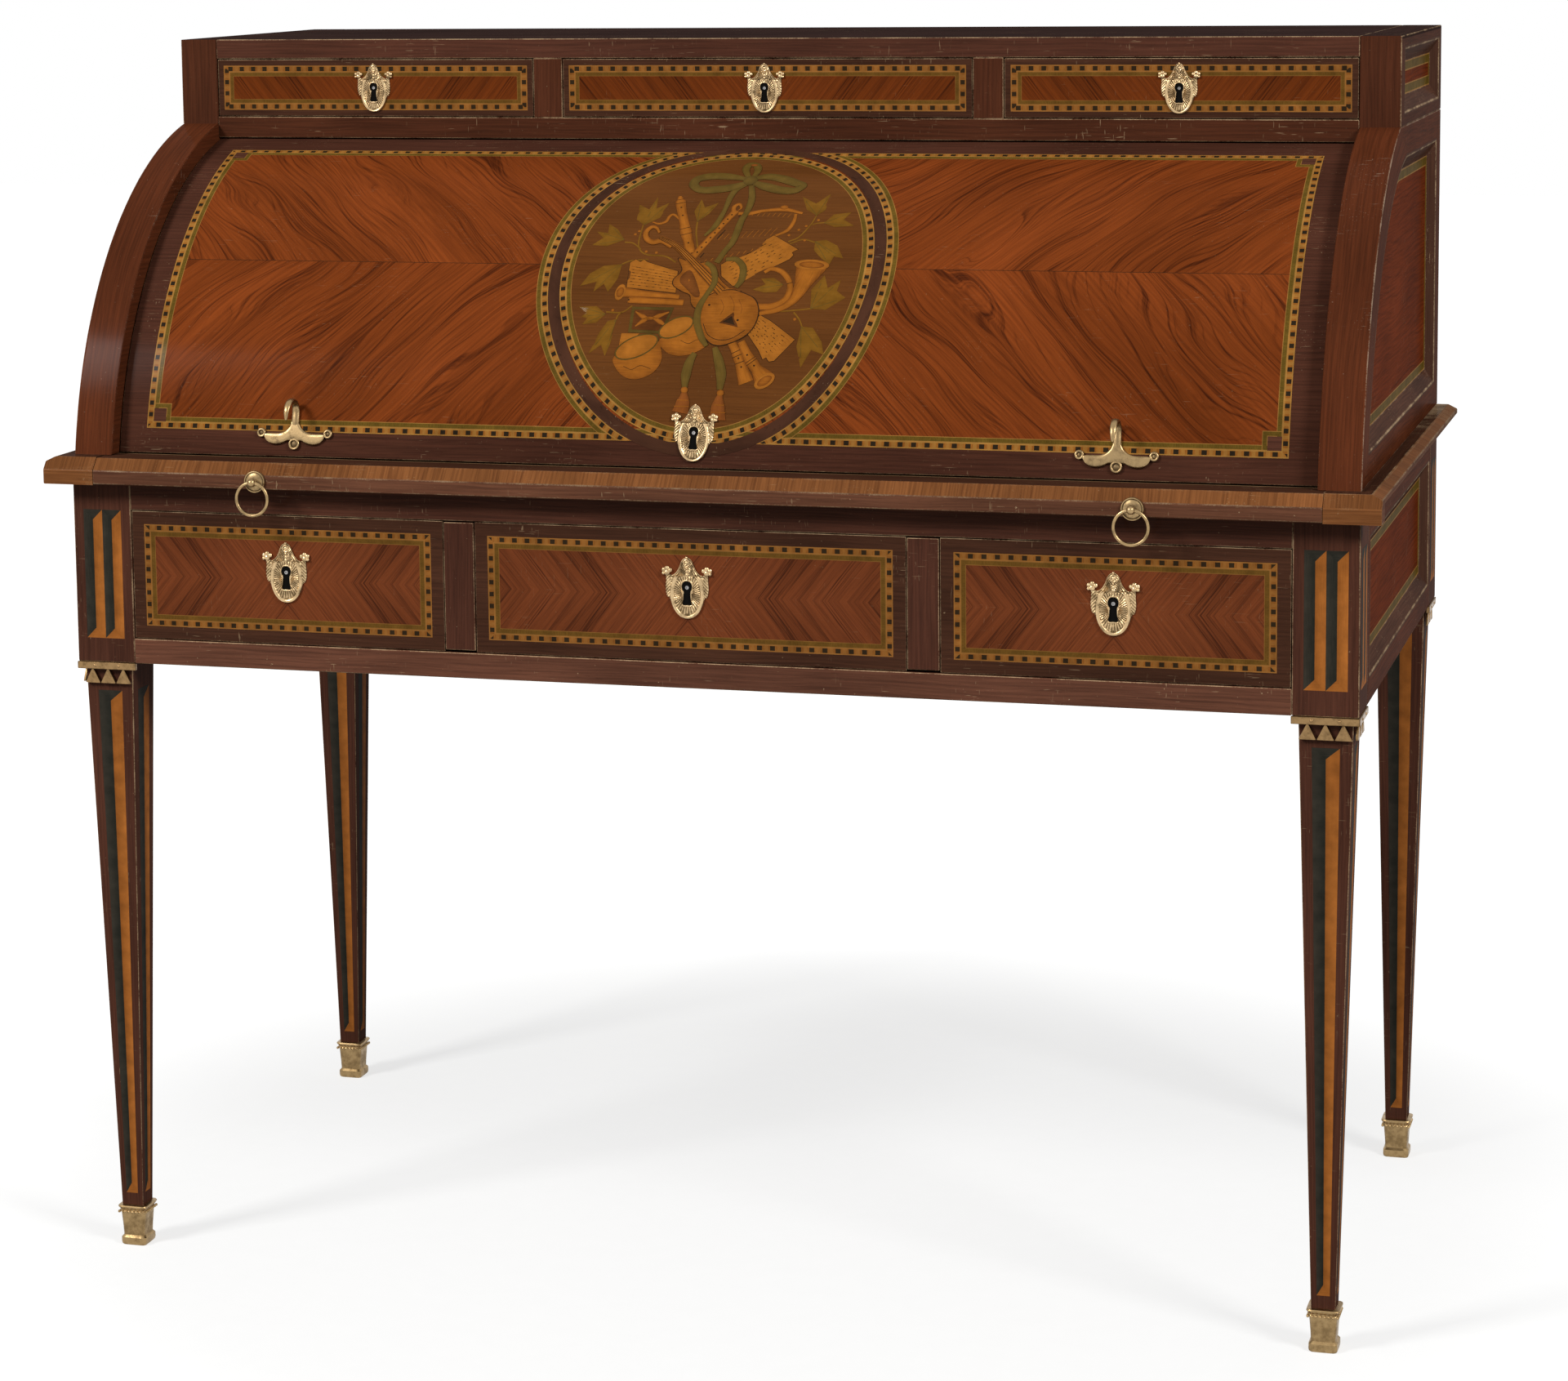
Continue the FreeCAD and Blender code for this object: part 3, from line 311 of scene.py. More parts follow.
# ---------------------------------------------------------------- finishes
@dataclass(frozen=True)
class Finish:
    """A surface finish that makes its own material once."""

    bump: ClassVar[float] = 0.35
    coat_roughness: ClassVar[float] = 0.16

    name: str

    def material(self) -> bpy.types.Material:
        """The finish's material, made at first use."""
        known = bpy.data.materials.get(self.name)
        if known:
            return known
        made = bpy.data.materials.new(self.name)
        made.use_nodes = True
        self.dress(Graph(made.node_tree), made.node_tree.nodes["Principled BSDF"])
        return made

    def dress(self, graph: Graph, shader: bpy.types.Node) -> None:
        """Wire the finish into the material's shader."""
        raise NotImplementedError

    def polish(self, graph: Graph, shader: bpy.types.Node, height: Feed, depth: float, coat: float) -> None:
        """Give the shader its relief and its coat of polish.

        Args:
            graph: hand for the material's tree.
            shader: the material's Principled node.
            height: pattern that stands for the surface's height.
            depth: how deep that pattern is, in millimetres.
            coat: weight of the clear coat.
        """
        relief = graph.node("ShaderNodeBump")
        relief.inputs["Strength"].default_value = self.bump
        relief.inputs["Distance"].default_value = depth * MM
        graph.feed(relief.inputs["Height"], height)
        graph.feed(shader.inputs["Normal"], relief.outputs[0])
        shader.inputs["Specular IOR Level"].default_value = 0.0
        shader.inputs["Coat Weight"].default_value = coat
        shader.inputs["Coat Roughness"].default_value = self.coat_roughness


@dataclass(frozen=True)
class Wood(Finish):
    """Polished timber or veneer."""

    light: Color
    dark: Color
    ring_rate: float = 0.08
    swirl: float = 3.0
    ring_share: float = 0.2
    streak_share: float = 0.7
    pore_share: float = 0.35
    fibre: float = 0.35
    worn: Color = (0.44, 0.30, 0.17)
    wear: float = 0.8
    scuff: float = 0.35
    rough: float = 0.36
    coat: float = 0.035
    solid: bool = False

    def dress(self, graph: Graph, shader: bpy.types.Node) -> None:
        """Colour runs from light to dark with streaks and rings, then pores, wear and scuffs.

        Args:
            graph: hand for the material's tree.
            shader: the material's Principled node.
        """
        spot = graph.spot()
        grain = graph.use(GRAIN, Vector=self.lie(graph, spot), Rings=self.ring_rate, Swirl=self.swirl,
                          Fibre=self.fibre)
        streaks = graph.math("MULTIPLY", grain["Streaks"], self.streak_share)
        rings = graph.math("MULTIPLY", grain["Rings"], self.ring_share)
        tone = graph.math("ADD", streaks, rings, clamp=True)
        colour = graph.clouded(graph.mix(tone, self.light, self.dark), grain["Clouds"], 0.9, 0.55)
        pores = graph.math("MULTIPLY", grain["Pores"], self.pore_share)
        colour = graph.mix(pores, colour, tuple(0.3 * part for part in self.dark))
        edges = graph.use(WEAR, Edge=graph.worn(), Spot=spot, Strength=self.wear)["Mask"]
        scuffs = graph.use(SCUFF, Spot=spot, Strength=self.scuff)["Mask"]
        bare = graph.math("MAXIMUM", edges, scuffs)
        graph.feed(shader.inputs["Base Color"], graph.mix(bare, colour, self.worn))
        matt = graph.linear(tone, 0.1, self.rough)
        graph.feed(shader.inputs["Roughness"], graph.linear(bare, 0.3, matt))
        height = graph.math("SUBTRACT", graph.math("MULTIPLY", grain["Streaks"], 0.3), grain["Pores"])
        self.polish(graph, shader, height, 0.12, self.coat)

    def lie(self, graph: Graph, spot: Socket) -> Socket:
        """Grain coordinates: the UV map, or on a solid timber x along, and y along on faces that look sideways.

        Args:
            graph: hand for the material's tree.
            spot: object coordinates.

        Returns:
            Place along and across the grain, in millimetres.
        """
        if not self.solid:
            return graph.uv()
        x, y, z = graph.parts(graph.scaled(spot, (1 / MM,) * 3))
        normal = graph.node("ShaderNodeTexCoord").outputs["Normal"]
        sideways = graph.math("ABSOLUTE", graph.parts(normal)[0])
        wide = graph.joined(x, graph.math("ADD", y, z))
        return graph.mix(graph.math("GREATER_THAN", sideways, 0.5), wide, graph.joined(y, z))


@dataclass(frozen=True)
class Strip(Finish):
    """Inlaid strip with v from 0 to 1 across it: line, band, line; u counts squares or millimetres."""

    light: Color
    dark: Color
    line: Color
    square: Color | None = None
    line_share: float = 0.13
    fill_share: float = 0.36

    def dress(self, graph: Graph, shader: bpy.types.Node) -> None:
        """The band is streaked across; squares fill a share of each unit of u, every other one dark.

        Args:
            graph: hand for the material's tree.
            shader: the material's Principled node.
        """
        u, v, _ = graph.parts(graph.uv())
        rate = 14.0 if self.square else 1.3
        lie = graph.joined(graph.math("MULTIPLY", u, rate), v)
        streaks = graph.step(graph.noise(lie, 1.0, 3.0, 0.6), 0.3, 0.7)
        colour = graph.mix(streaks, self.light, self.dark)
        off_middle = graph.math("ABSOLUTE", graph.math("SUBTRACT", v, 0.5))
        if self.square:
            in_cell = graph.math("ABSOLUTE", graph.math("SUBTRACT", graph.math("FRACT", u), 0.5))
            across = graph.math("LESS_THAN", off_middle, 0.5 - 1.05 * self.line_share)
            inside = graph.math("MULTIPLY", graph.math("LESS_THAN", in_cell, self.fill_share / 2), across)
            golden = graph.step(in_cell, 0.3, 0.42)
            colour = graph.mix(graph.math("MULTIPLY", golden, 0.6), colour, self.line)
            colour = graph.mix(inside, colour, self.square)
        lines = graph.math("GREATER_THAN", off_middle, 0.5 - self.line_share)
        colour = graph.mix(lines, colour, self.line)
        colour = graph.clouded(colour, graph.noise(graph.spot(), 55.0, 3.0, 0.6), 1.1, 0.45)
        graph.feed(shader.inputs["Base Color"], colour)
        graph.feed(shader.inputs["Roughness"], graph.linear(streaks, 0.12, 0.34))
        self.polish(graph, shader, streaks, 0.05, 0.05)


@dataclass(frozen=True)
class Tint(Finish):
    """Small inlaid leaf, scorched towards its shaded side by the wear attribute."""

    light: Color
    shade: Color
    fibre: float = 0.9

    def dress(self, graph: Graph, shader: bpy.types.Node) -> None:
        """Colour runs from light to shade with the attribute, and is streaked along u.

        Args:
            graph: hand for the material's tree.
            shader: the material's Principled node.
        """
        streaks = graph.noise(graph.scaled(graph.uv(), (0.06, self.fibre, 1.0)), 1.0, 3.0, 0.6)
        scorch = graph.math("ADD", graph.worn(), graph.math("MULTIPLY", graph.math("SUBTRACT", streaks, 0.5), 1.1),
                            clamp=True)
        colour = graph.mix(scorch, self.light, self.shade)
        colour = graph.clouded(colour, graph.noise(graph.spot(), 90.0, 3.0), 0.8, 0.6)
        graph.feed(shader.inputs["Base Color"], colour)
        graph.feed(shader.inputs["Roughness"], graph.linear(streaks, 0.12, 0.32))
        self.polish(graph, shader, streaks, 0.05, 0.05)


@dataclass(frozen=True)
class Metal(Finish):
    """Old gilt brass, darker where the patina has stayed."""

    light: Color
    patina: Color
    rough: float = 0.3

    def dress(self, graph: Graph, shader: bpy.types.Node) -> None:
        """Patina is cloudy noise over the bright metal, and it dulls the shine.

        Args:
            graph: hand for the material's tree.
            shader: the material's Principled node.
        """
        spot = graph.spot()
        cloud = graph.noise(spot, 160.0, 4.0, 0.65)
        stain = graph.step(graph.linear(graph.worn(), 0.3, cloud), 0.42, 0.85)
        graph.feed(shader.inputs["Base Color"], graph.mix(stain, self.light, self.patina))
        graph.feed(shader.inputs["Roughness"], graph.linear(stain, 0.25, self.rough))
        shader.inputs["Metallic"].default_value = 1.0
        self.polish(graph, shader, graph.noise(spot, 700.0, 3.0), 0.1, 0.0)


@dataclass(frozen=True)
class Hide(Finish):
    """Leather with a pebbled grain."""

    light: Color
    dark: Color

    def dress(self, graph: Graph, shader: bpy.types.Node) -> None:
        """Pebbles are the cells of a fine pattern, over slow patches of colour.

        Args:
            graph: hand for the material's tree.
            shader: the material's Principled node.
        """
        spot = graph.spot()
        patches = graph.noise(spot, 14.0, 4.0, 0.6)
        pebbles = graph.node("ShaderNodeTexVoronoi", spot, None, 900.0).outputs[0]
        graph.feed(shader.inputs["Base Color"], graph.mix(patches, self.light, self.dark))
        graph.feed(shader.inputs["Roughness"], graph.linear(patches, 0.2, 0.45))
        self.polish(graph, shader, pebbles, 0.2, 0.0)


AMARANTH = Wood("amaranth_polish", (0.093, 0.0333, 0.0195), (0.0413, 0.0159, 0.0102), ring_share=0.15, scuff=0.3)
SHELL_WOOD = Wood("shell_amaranth", (0.074, 0.0262, 0.0152), (0.0327, 0.0127, 0.0081), ring_share=0.15, scuff=0.3,
                  coat=0.012)
# The cheeks' pale worn colour and edge wear paint the pale line along their front edges: partly real wear, partly a
# painted highlight.
CHEEK_WOOD = Wood("cheek_amaranth", (0.103, 0.0266, 0.0097), (0.0445, 0.0128, 0.0054), worn=(0.4, 0.29, 0.2),
                  wear=0.6, scuff=0.4)
GRADIN_WOOD = Wood("gradin_amaranth", (0.080, 0.0245, 0.0112), (0.035, 0.0118, 0.006), ring_share=0.15, scuff=0.5)
DRAWER_WOOD = Wood("drawer_amaranth", (0.065, 0.0255, 0.0136), (0.0295, 0.0122, 0.0072), ring_share=0.15, scuff=0.4)
RAIL_WOOD = Wood("worn_amaranth", (0.15, 0.0585, 0.034), (0.066, 0.0257, 0.0156), scuff=0.8, wear=0.9)
PANEL_WOOD = Wood("panel_veneer", (0.165, 0.030, 0.0065), (0.075, 0.015, 0.0036), ring_share=0.3, coat=0.02)
# The bevel's strong edge wear and scuffs paint pale lines on the sunk panels' slopes: partly real wear, partly
# painted highlights.
BEVEL_WOOD = Wood("panel_bevel", (0.092, 0.038, 0.022), (0.042, 0.0175, 0.0108), wear=0.9, scuff=0.9)
# Darker copy of the amaranth for the top and the upward edges of the raised case: painted shade standing for the dark
# look of faces that look up.
TOP_SHADED_AMARANTH = Wood("top_amaranth_painted_shade", (0.04, 0.0185, 0.0145), (0.016, 0.0093, 0.008), scuff=0.4, coat=0.01)
KINGWOOD = Wood("cylinder_kingwood", (0.196, 0.0425, 0.0084), (0.0395, 0.0087, 0.0032), ring_rate=0.07, swirl=6.0,
                ring_share=0.62, streak_share=0.42, pore_share=0.2, fibre=0.3, scuff=0.12, coat=0.012)
LEAF_WOOD = Wood("drawer_kingwood", (0.19, 0.049, 0.0157), (0.045, 0.0126, 0.0057), ring_rate=0.1, swirl=1.8,
                 ring_share=0.62, streak_share=0.42, scuff=0.12)
GRADIN_LEAF = Wood("gradin_kingwood", (0.156, 0.034, 0.0059), (0.037, 0.0087, 0.0029), ring_rate=0.1, swirl=1.8,
                   ring_share=0.62, streak_share=0.42, scuff=0.12)
CROSSBAND = Wood("crossband", (0.207, 0.077, 0.0245), (0.089, 0.0305, 0.0105), ring_share=0.25,
                 worn=(0.33, 0.2, 0.1), wear=0.4, scuff=0.6)
NOSE_WOOD = Wood("nosing_face", (0.136, 0.054, 0.029), (0.0595, 0.0235, 0.0137), worn=(0.36, 0.25, 0.14), wear=0.55,
                 scuff=0.8)
GROUND_WOOD = Wood("medallion_ground", (0.119, 0.041, 0.0096), (0.067, 0.0222, 0.0059), ring_share=0.2,
                   streak_share=0.5, fibre=0.6, scuff=0.1)
OAK = Wood("oak_timber", (0.36, 0.22, 0.11), (0.19, 0.105, 0.05), ring_share=0.3, coat=0.0, rough=0.55, solid=True)
INNER_WOOD = Wood("inner_kingwood", (0.2, 0.065, 0.024), (0.07, 0.024, 0.011), solid=True)
BACK_OAK = Wood("back_board", (0.2, 0.115, 0.06), (0.095, 0.052, 0.028), coat=0.0, rough=0.6, scuff=0.7)
CHECK = Strip("check_strip", (0.275, 0.11, 0.018), (0.2, 0.063, 0.0105), (0.30, 0.144, 0.031),
              square=(0.02, 0.013, 0.007), line_share=0.16, fill_share=0.38)
AGED_CHECK = Strip("aged_check_strip", (0.25, 0.097, 0.0185), (0.175, 0.058, 0.0108), (0.26, 0.108, 0.024),
                   square=(0.027, 0.016, 0.007), line_share=0.16, fill_share=0.38)
OLIVE = Strip("olive_band", (0.122, 0.072, 0.0105), (0.085, 0.049, 0.0073), (0.27, 0.13, 0.03), line_share=0.12)
AGED_OLIVE = Strip("aged_olive_band", (0.137, 0.066, 0.0112), (0.104, 0.049, 0.0083), (0.2, 0.09, 0.02),
                   line_share=0.12)
FLUTE_DARK = Tint("flute_shadow", (0.045, 0.037, 0.027), (0.018, 0.018, 0.0135))
FLUTE_LIGHT = Tint("flute_light", (0.39, 0.13, 0.025), (0.25, 0.08, 0.0152))
TAN = Tint("instrument_wood", (0.288, 0.094, 0.0109), (0.115, 0.0322, 0.0056))
TAN_SHADE = Tint("instrument_shade", (0.155, 0.048, 0.0095), (0.062, 0.02, 0.0055))
PALE = Tint("page_wood", (0.306, 0.106, 0.0132), (0.179, 0.0575, 0.0079))
LEAF_GREEN = Tint("leaf_green", (0.172, 0.0755, 0.0087), (0.105, 0.0444, 0.0058))
RIBBON = Tint("ribbon_green", (0.112, 0.0655, 0.0123), (0.062, 0.0362, 0.0082))
RED_WOOD = Tint("tassel_red", (0.215, 0.063, 0.0118), (0.11, 0.033, 0.0075))
INK = Tint("engraved_line", (0.03, 0.014, 0.006), (0.014, 0.008, 0.004))
BRASS = Metal("gilt_brass", (0.60, 0.41, 0.235), (0.19, 0.125, 0.066))
GILT = Metal("dull_gilt", (0.57, 0.405, 0.22), (0.12, 0.078, 0.036))
# Darker gilt for the hooks, rings and rosettes: the dim colour paints the darker reflections these mounts show.
HOOK_GILT = Metal("gilt_painted_dim_reflection", (0.36, 0.245, 0.118), (0.12, 0.08, 0.04))
COLLAR_GILT = Metal("aged_brass", (0.27, 0.166, 0.074), (0.10, 0.06, 0.026))
SABOT_GILT = Metal("shoe_brass", (0.37, 0.25, 0.118), (0.2, 0.13, 0.058))
STEEL = Metal("lock_pin", (0.32, 0.31, 0.3), (0.12, 0.11, 0.1))
# Near-black fill of the keyhole's opening: painted shadow where the hole is.
KEYHOLE_SHADOW = Tint("keyhole_painted_shadow", (0.006, 0.005, 0.004), (0.002, 0.002, 0.002))
LEATHER = Hide("writing_leather_hide", (0.035, 0.05, 0.03), (0.015, 0.024, 0.015))


# ---------------------------------------------------------------- surfaces
def unit(vectors: Array) -> Array:
    """Vectors divided by their own lengths."""
    return vectors / np.maximum(np.linalg.norm(vectors, axis=-1, keepdims=True), TINY)


def lengths(path: Array) -> Array:
    """Distance run at each point of a path."""
    return np.concatenate([[0.0], np.cumsum(np.linalg.norm(np.diff(path, axis=0), axis=1))])


def turns(count: int) -> Array:
    """Even angles round a circle."""
    return np.arange(count) * 2 * np.pi / count


def hoop(centre: Vec3, radii: Vec2, count: int) -> Array:
    """Closed ring across and up round a centre; its first point comes again at the end."""
    turn = np.arange(count + 1) * 2 * np.pi / count
    flat = np.stack([radii[0] * np.cos(turn), radii[1] * np.sin(turn), np.zeros(count + 1)], -1)
    return np.array(centre, float) + flat


def curve(points: Sequence, count: int, closed: bool = False) -> Array:
    """Smooth curve through points: a cubic on each span, whose slopes are half the neighbours' step.

    Args:
        points: the points to pass through.
        count: how many points to give back.
        closed: joins the last point to the first.

    Returns:
        Points evenly spread over the spans.
    """
    knots = np.asarray(points, float)
    head, tail = (knots[-1:], knots[:2]) if closed else (2 * knots[:1] - knots[1:2], 2 * knots[-1:] - knots[-2:-1])
    padded = np.concatenate([head, knots, tail])
    spans = len(padded) - 3
    at = np.linspace(0, spans, count, endpoint=not closed)
    start = np.minimum(at.astype(int), spans - 1)
    t = (at - start)[:, None]
    a, b, c, d = (padded[start + step] for step in range(4))
    return 0.5 * (2 * b + (c - a) * t + (2 * a - 5 * b + 4 * c - d) * t**2 + (3 * b - a - 3 * c + d) * t**3)


def tube(path: Array, radius: Array | float, side: Vec3, around: int = 12, flat: float = 1.0) -> Array:
    """Bar along a path: a ring of r (cos a, flat sin a) in the side and the side-by-tangent directions.

    Args:
        path: points of the middle line.
        radius: radius, or one for each point.
        side: direction square to the path's plane.
        around: points of one ring.
        flat: share that flattens the ring within the path's plane.

    Returns:
        Grid of points, path by ring, to be wrapped round the ring.
    """
    path = np.asarray(path, float)
    ahead = unit(np.gradient(path, axis=0))
    lift = unit(np.cross(np.array(side, float), ahead))
    turn = turns(around)
    radii = np.broadcast_to(np.asarray(radius, float), len(path))[:, None, None]
    ring = np.cos(turn)[None, :, None] * np.array(side, float) + flat * np.sin(turn)[None, :, None] * lift[:, None]
    return path[:, None] + radii * ring


def lathe(profile: Sequence[Vec2], around: int) -> Array:
    """Turned form about the third axis.

    Args:
        profile: radius and height pairs, from the top down.
        around: points of one ring.

    Returns:
        Grid of points, profile by ring, to be wrapped round the ring.
    """
    radius, height = np.asarray(profile, float).T
    turn, reach = turns(around), radius[:, None]
    return np.stack([reach * np.cos(turn), reach * np.sin(turn), np.repeat(height[:, None], around, 1)], -1)


def ball(centre: Vec3, radii: Vec3 | float, rows: int = 7, around: int = 12) -> Array:
    """Ellipsoid: the lathe of a half circle, stretched and moved."""
    turn = np.linspace(0, np.pi, rows)
    round_form = lathe(np.stack([np.sin(turn), np.cos(turn)], -1), around)
    return np.asarray(centre, float) + round_form * np.asarray(radii, float)


def turned(flat: Array, degrees: float) -> Array:
    """Flat places seen along a direction at an angle."""
    c, s = math.cos(math.radians(degrees)), math.sin(math.radians(degrees))
    return flat @ np.array([[c, -s], [s, c]])


def circle(centre: Sequence[float], radii: Vec2, count: int, tilt: float = 0.0) -> Array:
    """Points of an ellipse, anticlockwise, turned by a tilt in degrees."""
    turn = turns(count)
    across, up = radii[0] * np.cos(turn), radii[1] * np.sin(turn)
    c, t = math.cos(math.radians(tilt)), math.sin(math.radians(tilt))
    return np.array(centre) + np.stack([c * across - t * up, t * across + c * up], -1)


def loft(halves: Array, centres: Array, around: int = 32, power: float = 10.0) -> Array:
    """Stack of rounded rectangles: |x/a|^n + |y/b|^n = 1, one for each pair of halves, from the top down.

    Args:
        halves: half widths in x and y of each section.
        centres: middle of each section.
        around: points of one section.
        power: the exponent n, larger for sharper corners.

    Returns:
        Grid of points, section by ring, to be wrapped round the ring.
    """
    turn = (np.arange(around) + 0.5) * 2 * np.pi / around
    bend = (np.abs(np.cos(turn)) ** power + np.abs(np.sin(turn)) ** power) ** (-1 / power)
    ring = np.stack([bend * np.cos(turn), bend * np.sin(turn)], -1)
    flat = np.asarray(halves, float)[:, None] * ring[None]
    height = np.zeros((*flat.shape[:2], 1))
    return np.asarray(centres, float)[:, None] + np.concatenate([flat, height], -1)


# ---------------------------------------------------------------- pieces
@dataclass
class Sheet:
    """One grid of points with its finish, UV map and wear."""

    points: Array
    finish: Finish
    uv: Array
    wear: Array
    wrap: bool


@dataclass
class Piece:
    """One object of the dressed desk, gathered from sheets."""

    name: str
    body: str
    slot: str
    stands_for: tuple[str, ...]
    sheets: list[Sheet] = field(default_factory=list)

    def add(self, points: Array, finish: Finish, uv: Array | None = None, wear: Array | float = 0.0,
            wrap: bool = False) -> None:
        """Add one grid of points.

        Args:
            points: rows by columns by three, facing the side from which rows then columns turn left.
            finish: finish of the whole grid.
            uv: rows by columns by two; without it the run along rows and columns is used.
            wear: edge wear or scorch of each point.
            wrap: joins the last column to the first.
        """
        points = np.asarray(points, float)
        if uv is None:
            uv = np.stack(np.meshgrid(lengths(points[:, 0]), lengths(points[0]), indexing="ij"), -1)
        wear = np.broadcast_to(np.asarray(wear, float), points.shape[:2])
        self.sheets.append(Sheet(points, finish, uv, wear, wrap))

    def build(self) -> bpy.types.Object:
        """Weld the sheets into one mesh, dress it and tie it to its body.

        Returns:
            The finished object.
        """
        finishes = list(dict.fromkeys(sheet.finish for sheet in self.sheets))
        points, loops, slots, start = [], [], [], 0
        for sheet in self.sheets:
            rows, columns = sheet.points.shape[:2]
            index = np.arange(rows * columns).reshape(rows, columns) + start
            start += rows * columns
            if sheet.wrap:
                index = np.concatenate([index, index[:, :1]], 1)
            quads = np.stack([index[:-1, :-1], index[1:, :-1], index[1:, 1:], index[:-1, 1:]], -1).reshape(-1, 4)
            points.append(sheet.points.reshape(-1, 3))
            loops.append(quads)
            slots.append(np.full(len(quads), finishes.index(sheet.finish)))
        corners = np.concatenate(loops)
        uv = np.concatenate([sheet.uv.reshape(-1, 2) for sheet in self.sheets])[corners]
        wear = np.concatenate([sheet.wear.reshape(-1) for sheet in self.sheets])
        places = np.concatenate(points)
        _, first, welded = np.unique(np.round(places / WELD).astype(np.int64), axis=0, return_index=True,
                                     return_inverse=True)
        welded = welded.reshape(-1)
        worn = np.zeros(len(first))
        np.maximum.at(worn, welded, wear)
        corners = welded[corners]
        keep = corners != np.roll(corners, -1, 1)
        sizes = keep.sum(1)
        keep[sizes < 3] = False
        whole = sizes >= 3
        self.fill(places[first] * MM, corners[keep], sizes[whole], uv[keep], worn, np.concatenate(slots)[whole])
        return self.finish_object(finishes)

    def fill(self, places: Array, corners: Array, sizes: Array, uv: Array, worn: Array, slots: Array) -> None:
        """Put whole arrays into a new mesh.

        Args:
            places: points in metres.
            corners: point of each face corner.
            sizes: corners of each face.
            uv: UV of each corner.
            worn: wear of each point.
            slots: material slot of each face.
        """
        mesh = bpy.data.meshes.new(self.name)
        mesh.vertices.add(len(places))
        mesh.vertices.foreach_set("co", places.astype(np.float32).ravel())
        mesh.loops.add(len(corners))
        mesh.loops.foreach_set("vertex_index", corners.astype(np.int32))
        mesh.polygons.add(len(sizes))
        mesh.polygons.foreach_set("loop_start", (np.cumsum(sizes) - sizes).astype(np.int32))
        mesh.polygons.foreach_set("material_index", slots.astype(np.int32))
        mesh.uv_layers.new(name="UVMap").data.foreach_set("uv", uv.astype(np.float32).ravel())
        mesh.attributes.new("wear", "FLOAT", "POINT").data.foreach_set("value", worn.astype(np.float32))
        mesh.update(calc_edges=True)
        mesh.polygons.foreach_set("use_smooth", np.ones(len(sizes), bool))
        mesh.set_sharp_from_angle(angle=SHARP_ANGLE)

    def finish_object(self, finishes: list[Finish]) -> bpy.types.Object:
        """Make the object of the filled mesh, give it its finishes and tie it to the frame.

        Args:
            finishes: finish of each material slot.

        Returns:
            The object.
        """
        mesh = bpy.data.meshes[self.name]
        for finish in finishes:
            mesh.materials.append(finish.material())
        made = bpy.data.objects.new(self.name, mesh)
        bpy.context.scene.collection.objects.link(made)
        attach(made, self.body)
        if self.stands_for:
            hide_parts(*self.stands_for)
        log.info("%s: %d faces", self.name, len(mesh.polygons))
        return made


class Slot(Enum):
    """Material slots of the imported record."""

    BRASS = "brass"
    OAK = "oak"
    KINGWOOD = "kingwood"
    AMARANTH = "amaranth"


def look(node: str, body: str, slot: Slot) -> Piece:
    """New piece that stands for one node of the frame."""
    return Piece(f"{node}_look", body, slot.value, (node,))


def node_box(node: str) -> tuple[Array, Array]:
    """Lowest and highest corner of a node, in millimetres."""
    low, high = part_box(node)
    return np.array(low) / MM, np.array(high) / MM


@dataclass(frozen=True)
class Board:
    """Box whose edges are rounded by the bevel, with wear that fades out beside them."""

    low: Sequence[float]
    high: Sequence[float]
    finish: Finish
    grain: int = 0
    bevel: float = 1.0
    fade: float = 1.3
    cells: tuple[int, int, int] = (1, 1, 1)
    faces: dict[tuple[int, int], Finish] = field(default_factory=dict)

    def lines(self, axis: int) -> tuple[Array, Array]:
        """Grid lines along one axis with their wear: close over both edges, then even cells between."""
        low, high = self.low[axis], self.high[axis]
        rim = self.bevel * (1 - np.tan(np.linspace(np.pi / 4, 0, 4)))
        inner = np.linspace(low + self.bevel + self.fade, high - self.bevel - self.fade, self.cells[axis] + 1)
        rim_wear = np.array([1.0, 0.95, 0.6, 0.15])
        wear = np.concatenate([rim_wear, np.zeros(len(inner)), rim_wear[::-1]])
        return np.concatenate([low + rim, inner, high - rim[::-1]]), wear

    def add_to(self, piece: Piece, shape: Callable[[Array], Array] | None = None, seed: int = 0) -> None:
        """Add the six faces, each a grid pulled in to the rounded box: p = c + bevel (q - c) / |q - c|.

        Args:
            piece: piece that takes the faces.
            shape: bends the finished points, if given.
            seed: shifts the grain, so that boards differ.
        """
        low, high = np.array(self.low, float), np.array(self.high, float)
        for normal in range(3):
            for sign in (-1, 1):
                first, second = (normal + 1) % 3, (normal + 2) % 3
                if sign < 0:
                    first, second = second, first
                along, along_wear = self.lines(first)
                across, across_wear = self.lines(second)
                box_points = np.empty((len(along), len(across), 3))
                box_points[..., first] = along[:, None]
                box_points[..., second] = across[None]
                box_points[..., normal] = high[normal] if sign > 0 else low[normal]
                core = np.clip(box_points, low + self.bevel, high - self.bevel)
                points = core + self.bevel * unit(box_points - core)
                lengthways = self.grain if self.grain != normal else first
                crossways = 3 - normal - lengthways
                uv = np.stack([box_points[..., lengthways], box_points[..., crossways]], -1)
                uv = uv + BOARD_SHIFT * (seed + 1) + FACE_SHIFT * normal
                wear = np.maximum(along_wear[:, None], across_wear[None])
                finish = self.faces.get((normal, sign), self.finish)
                piece.add(shape(points) if shape else points, finish, uv, wear)


# ---------------------------------------------------------------- grounds and inlay
class Ground(Protocol):
    """Surface that inlay and mounts lie on."""

    def place(self, flat: Array, lift: Array | float) -> Array:
        """Points of the surface at flat places, lifted off it."""


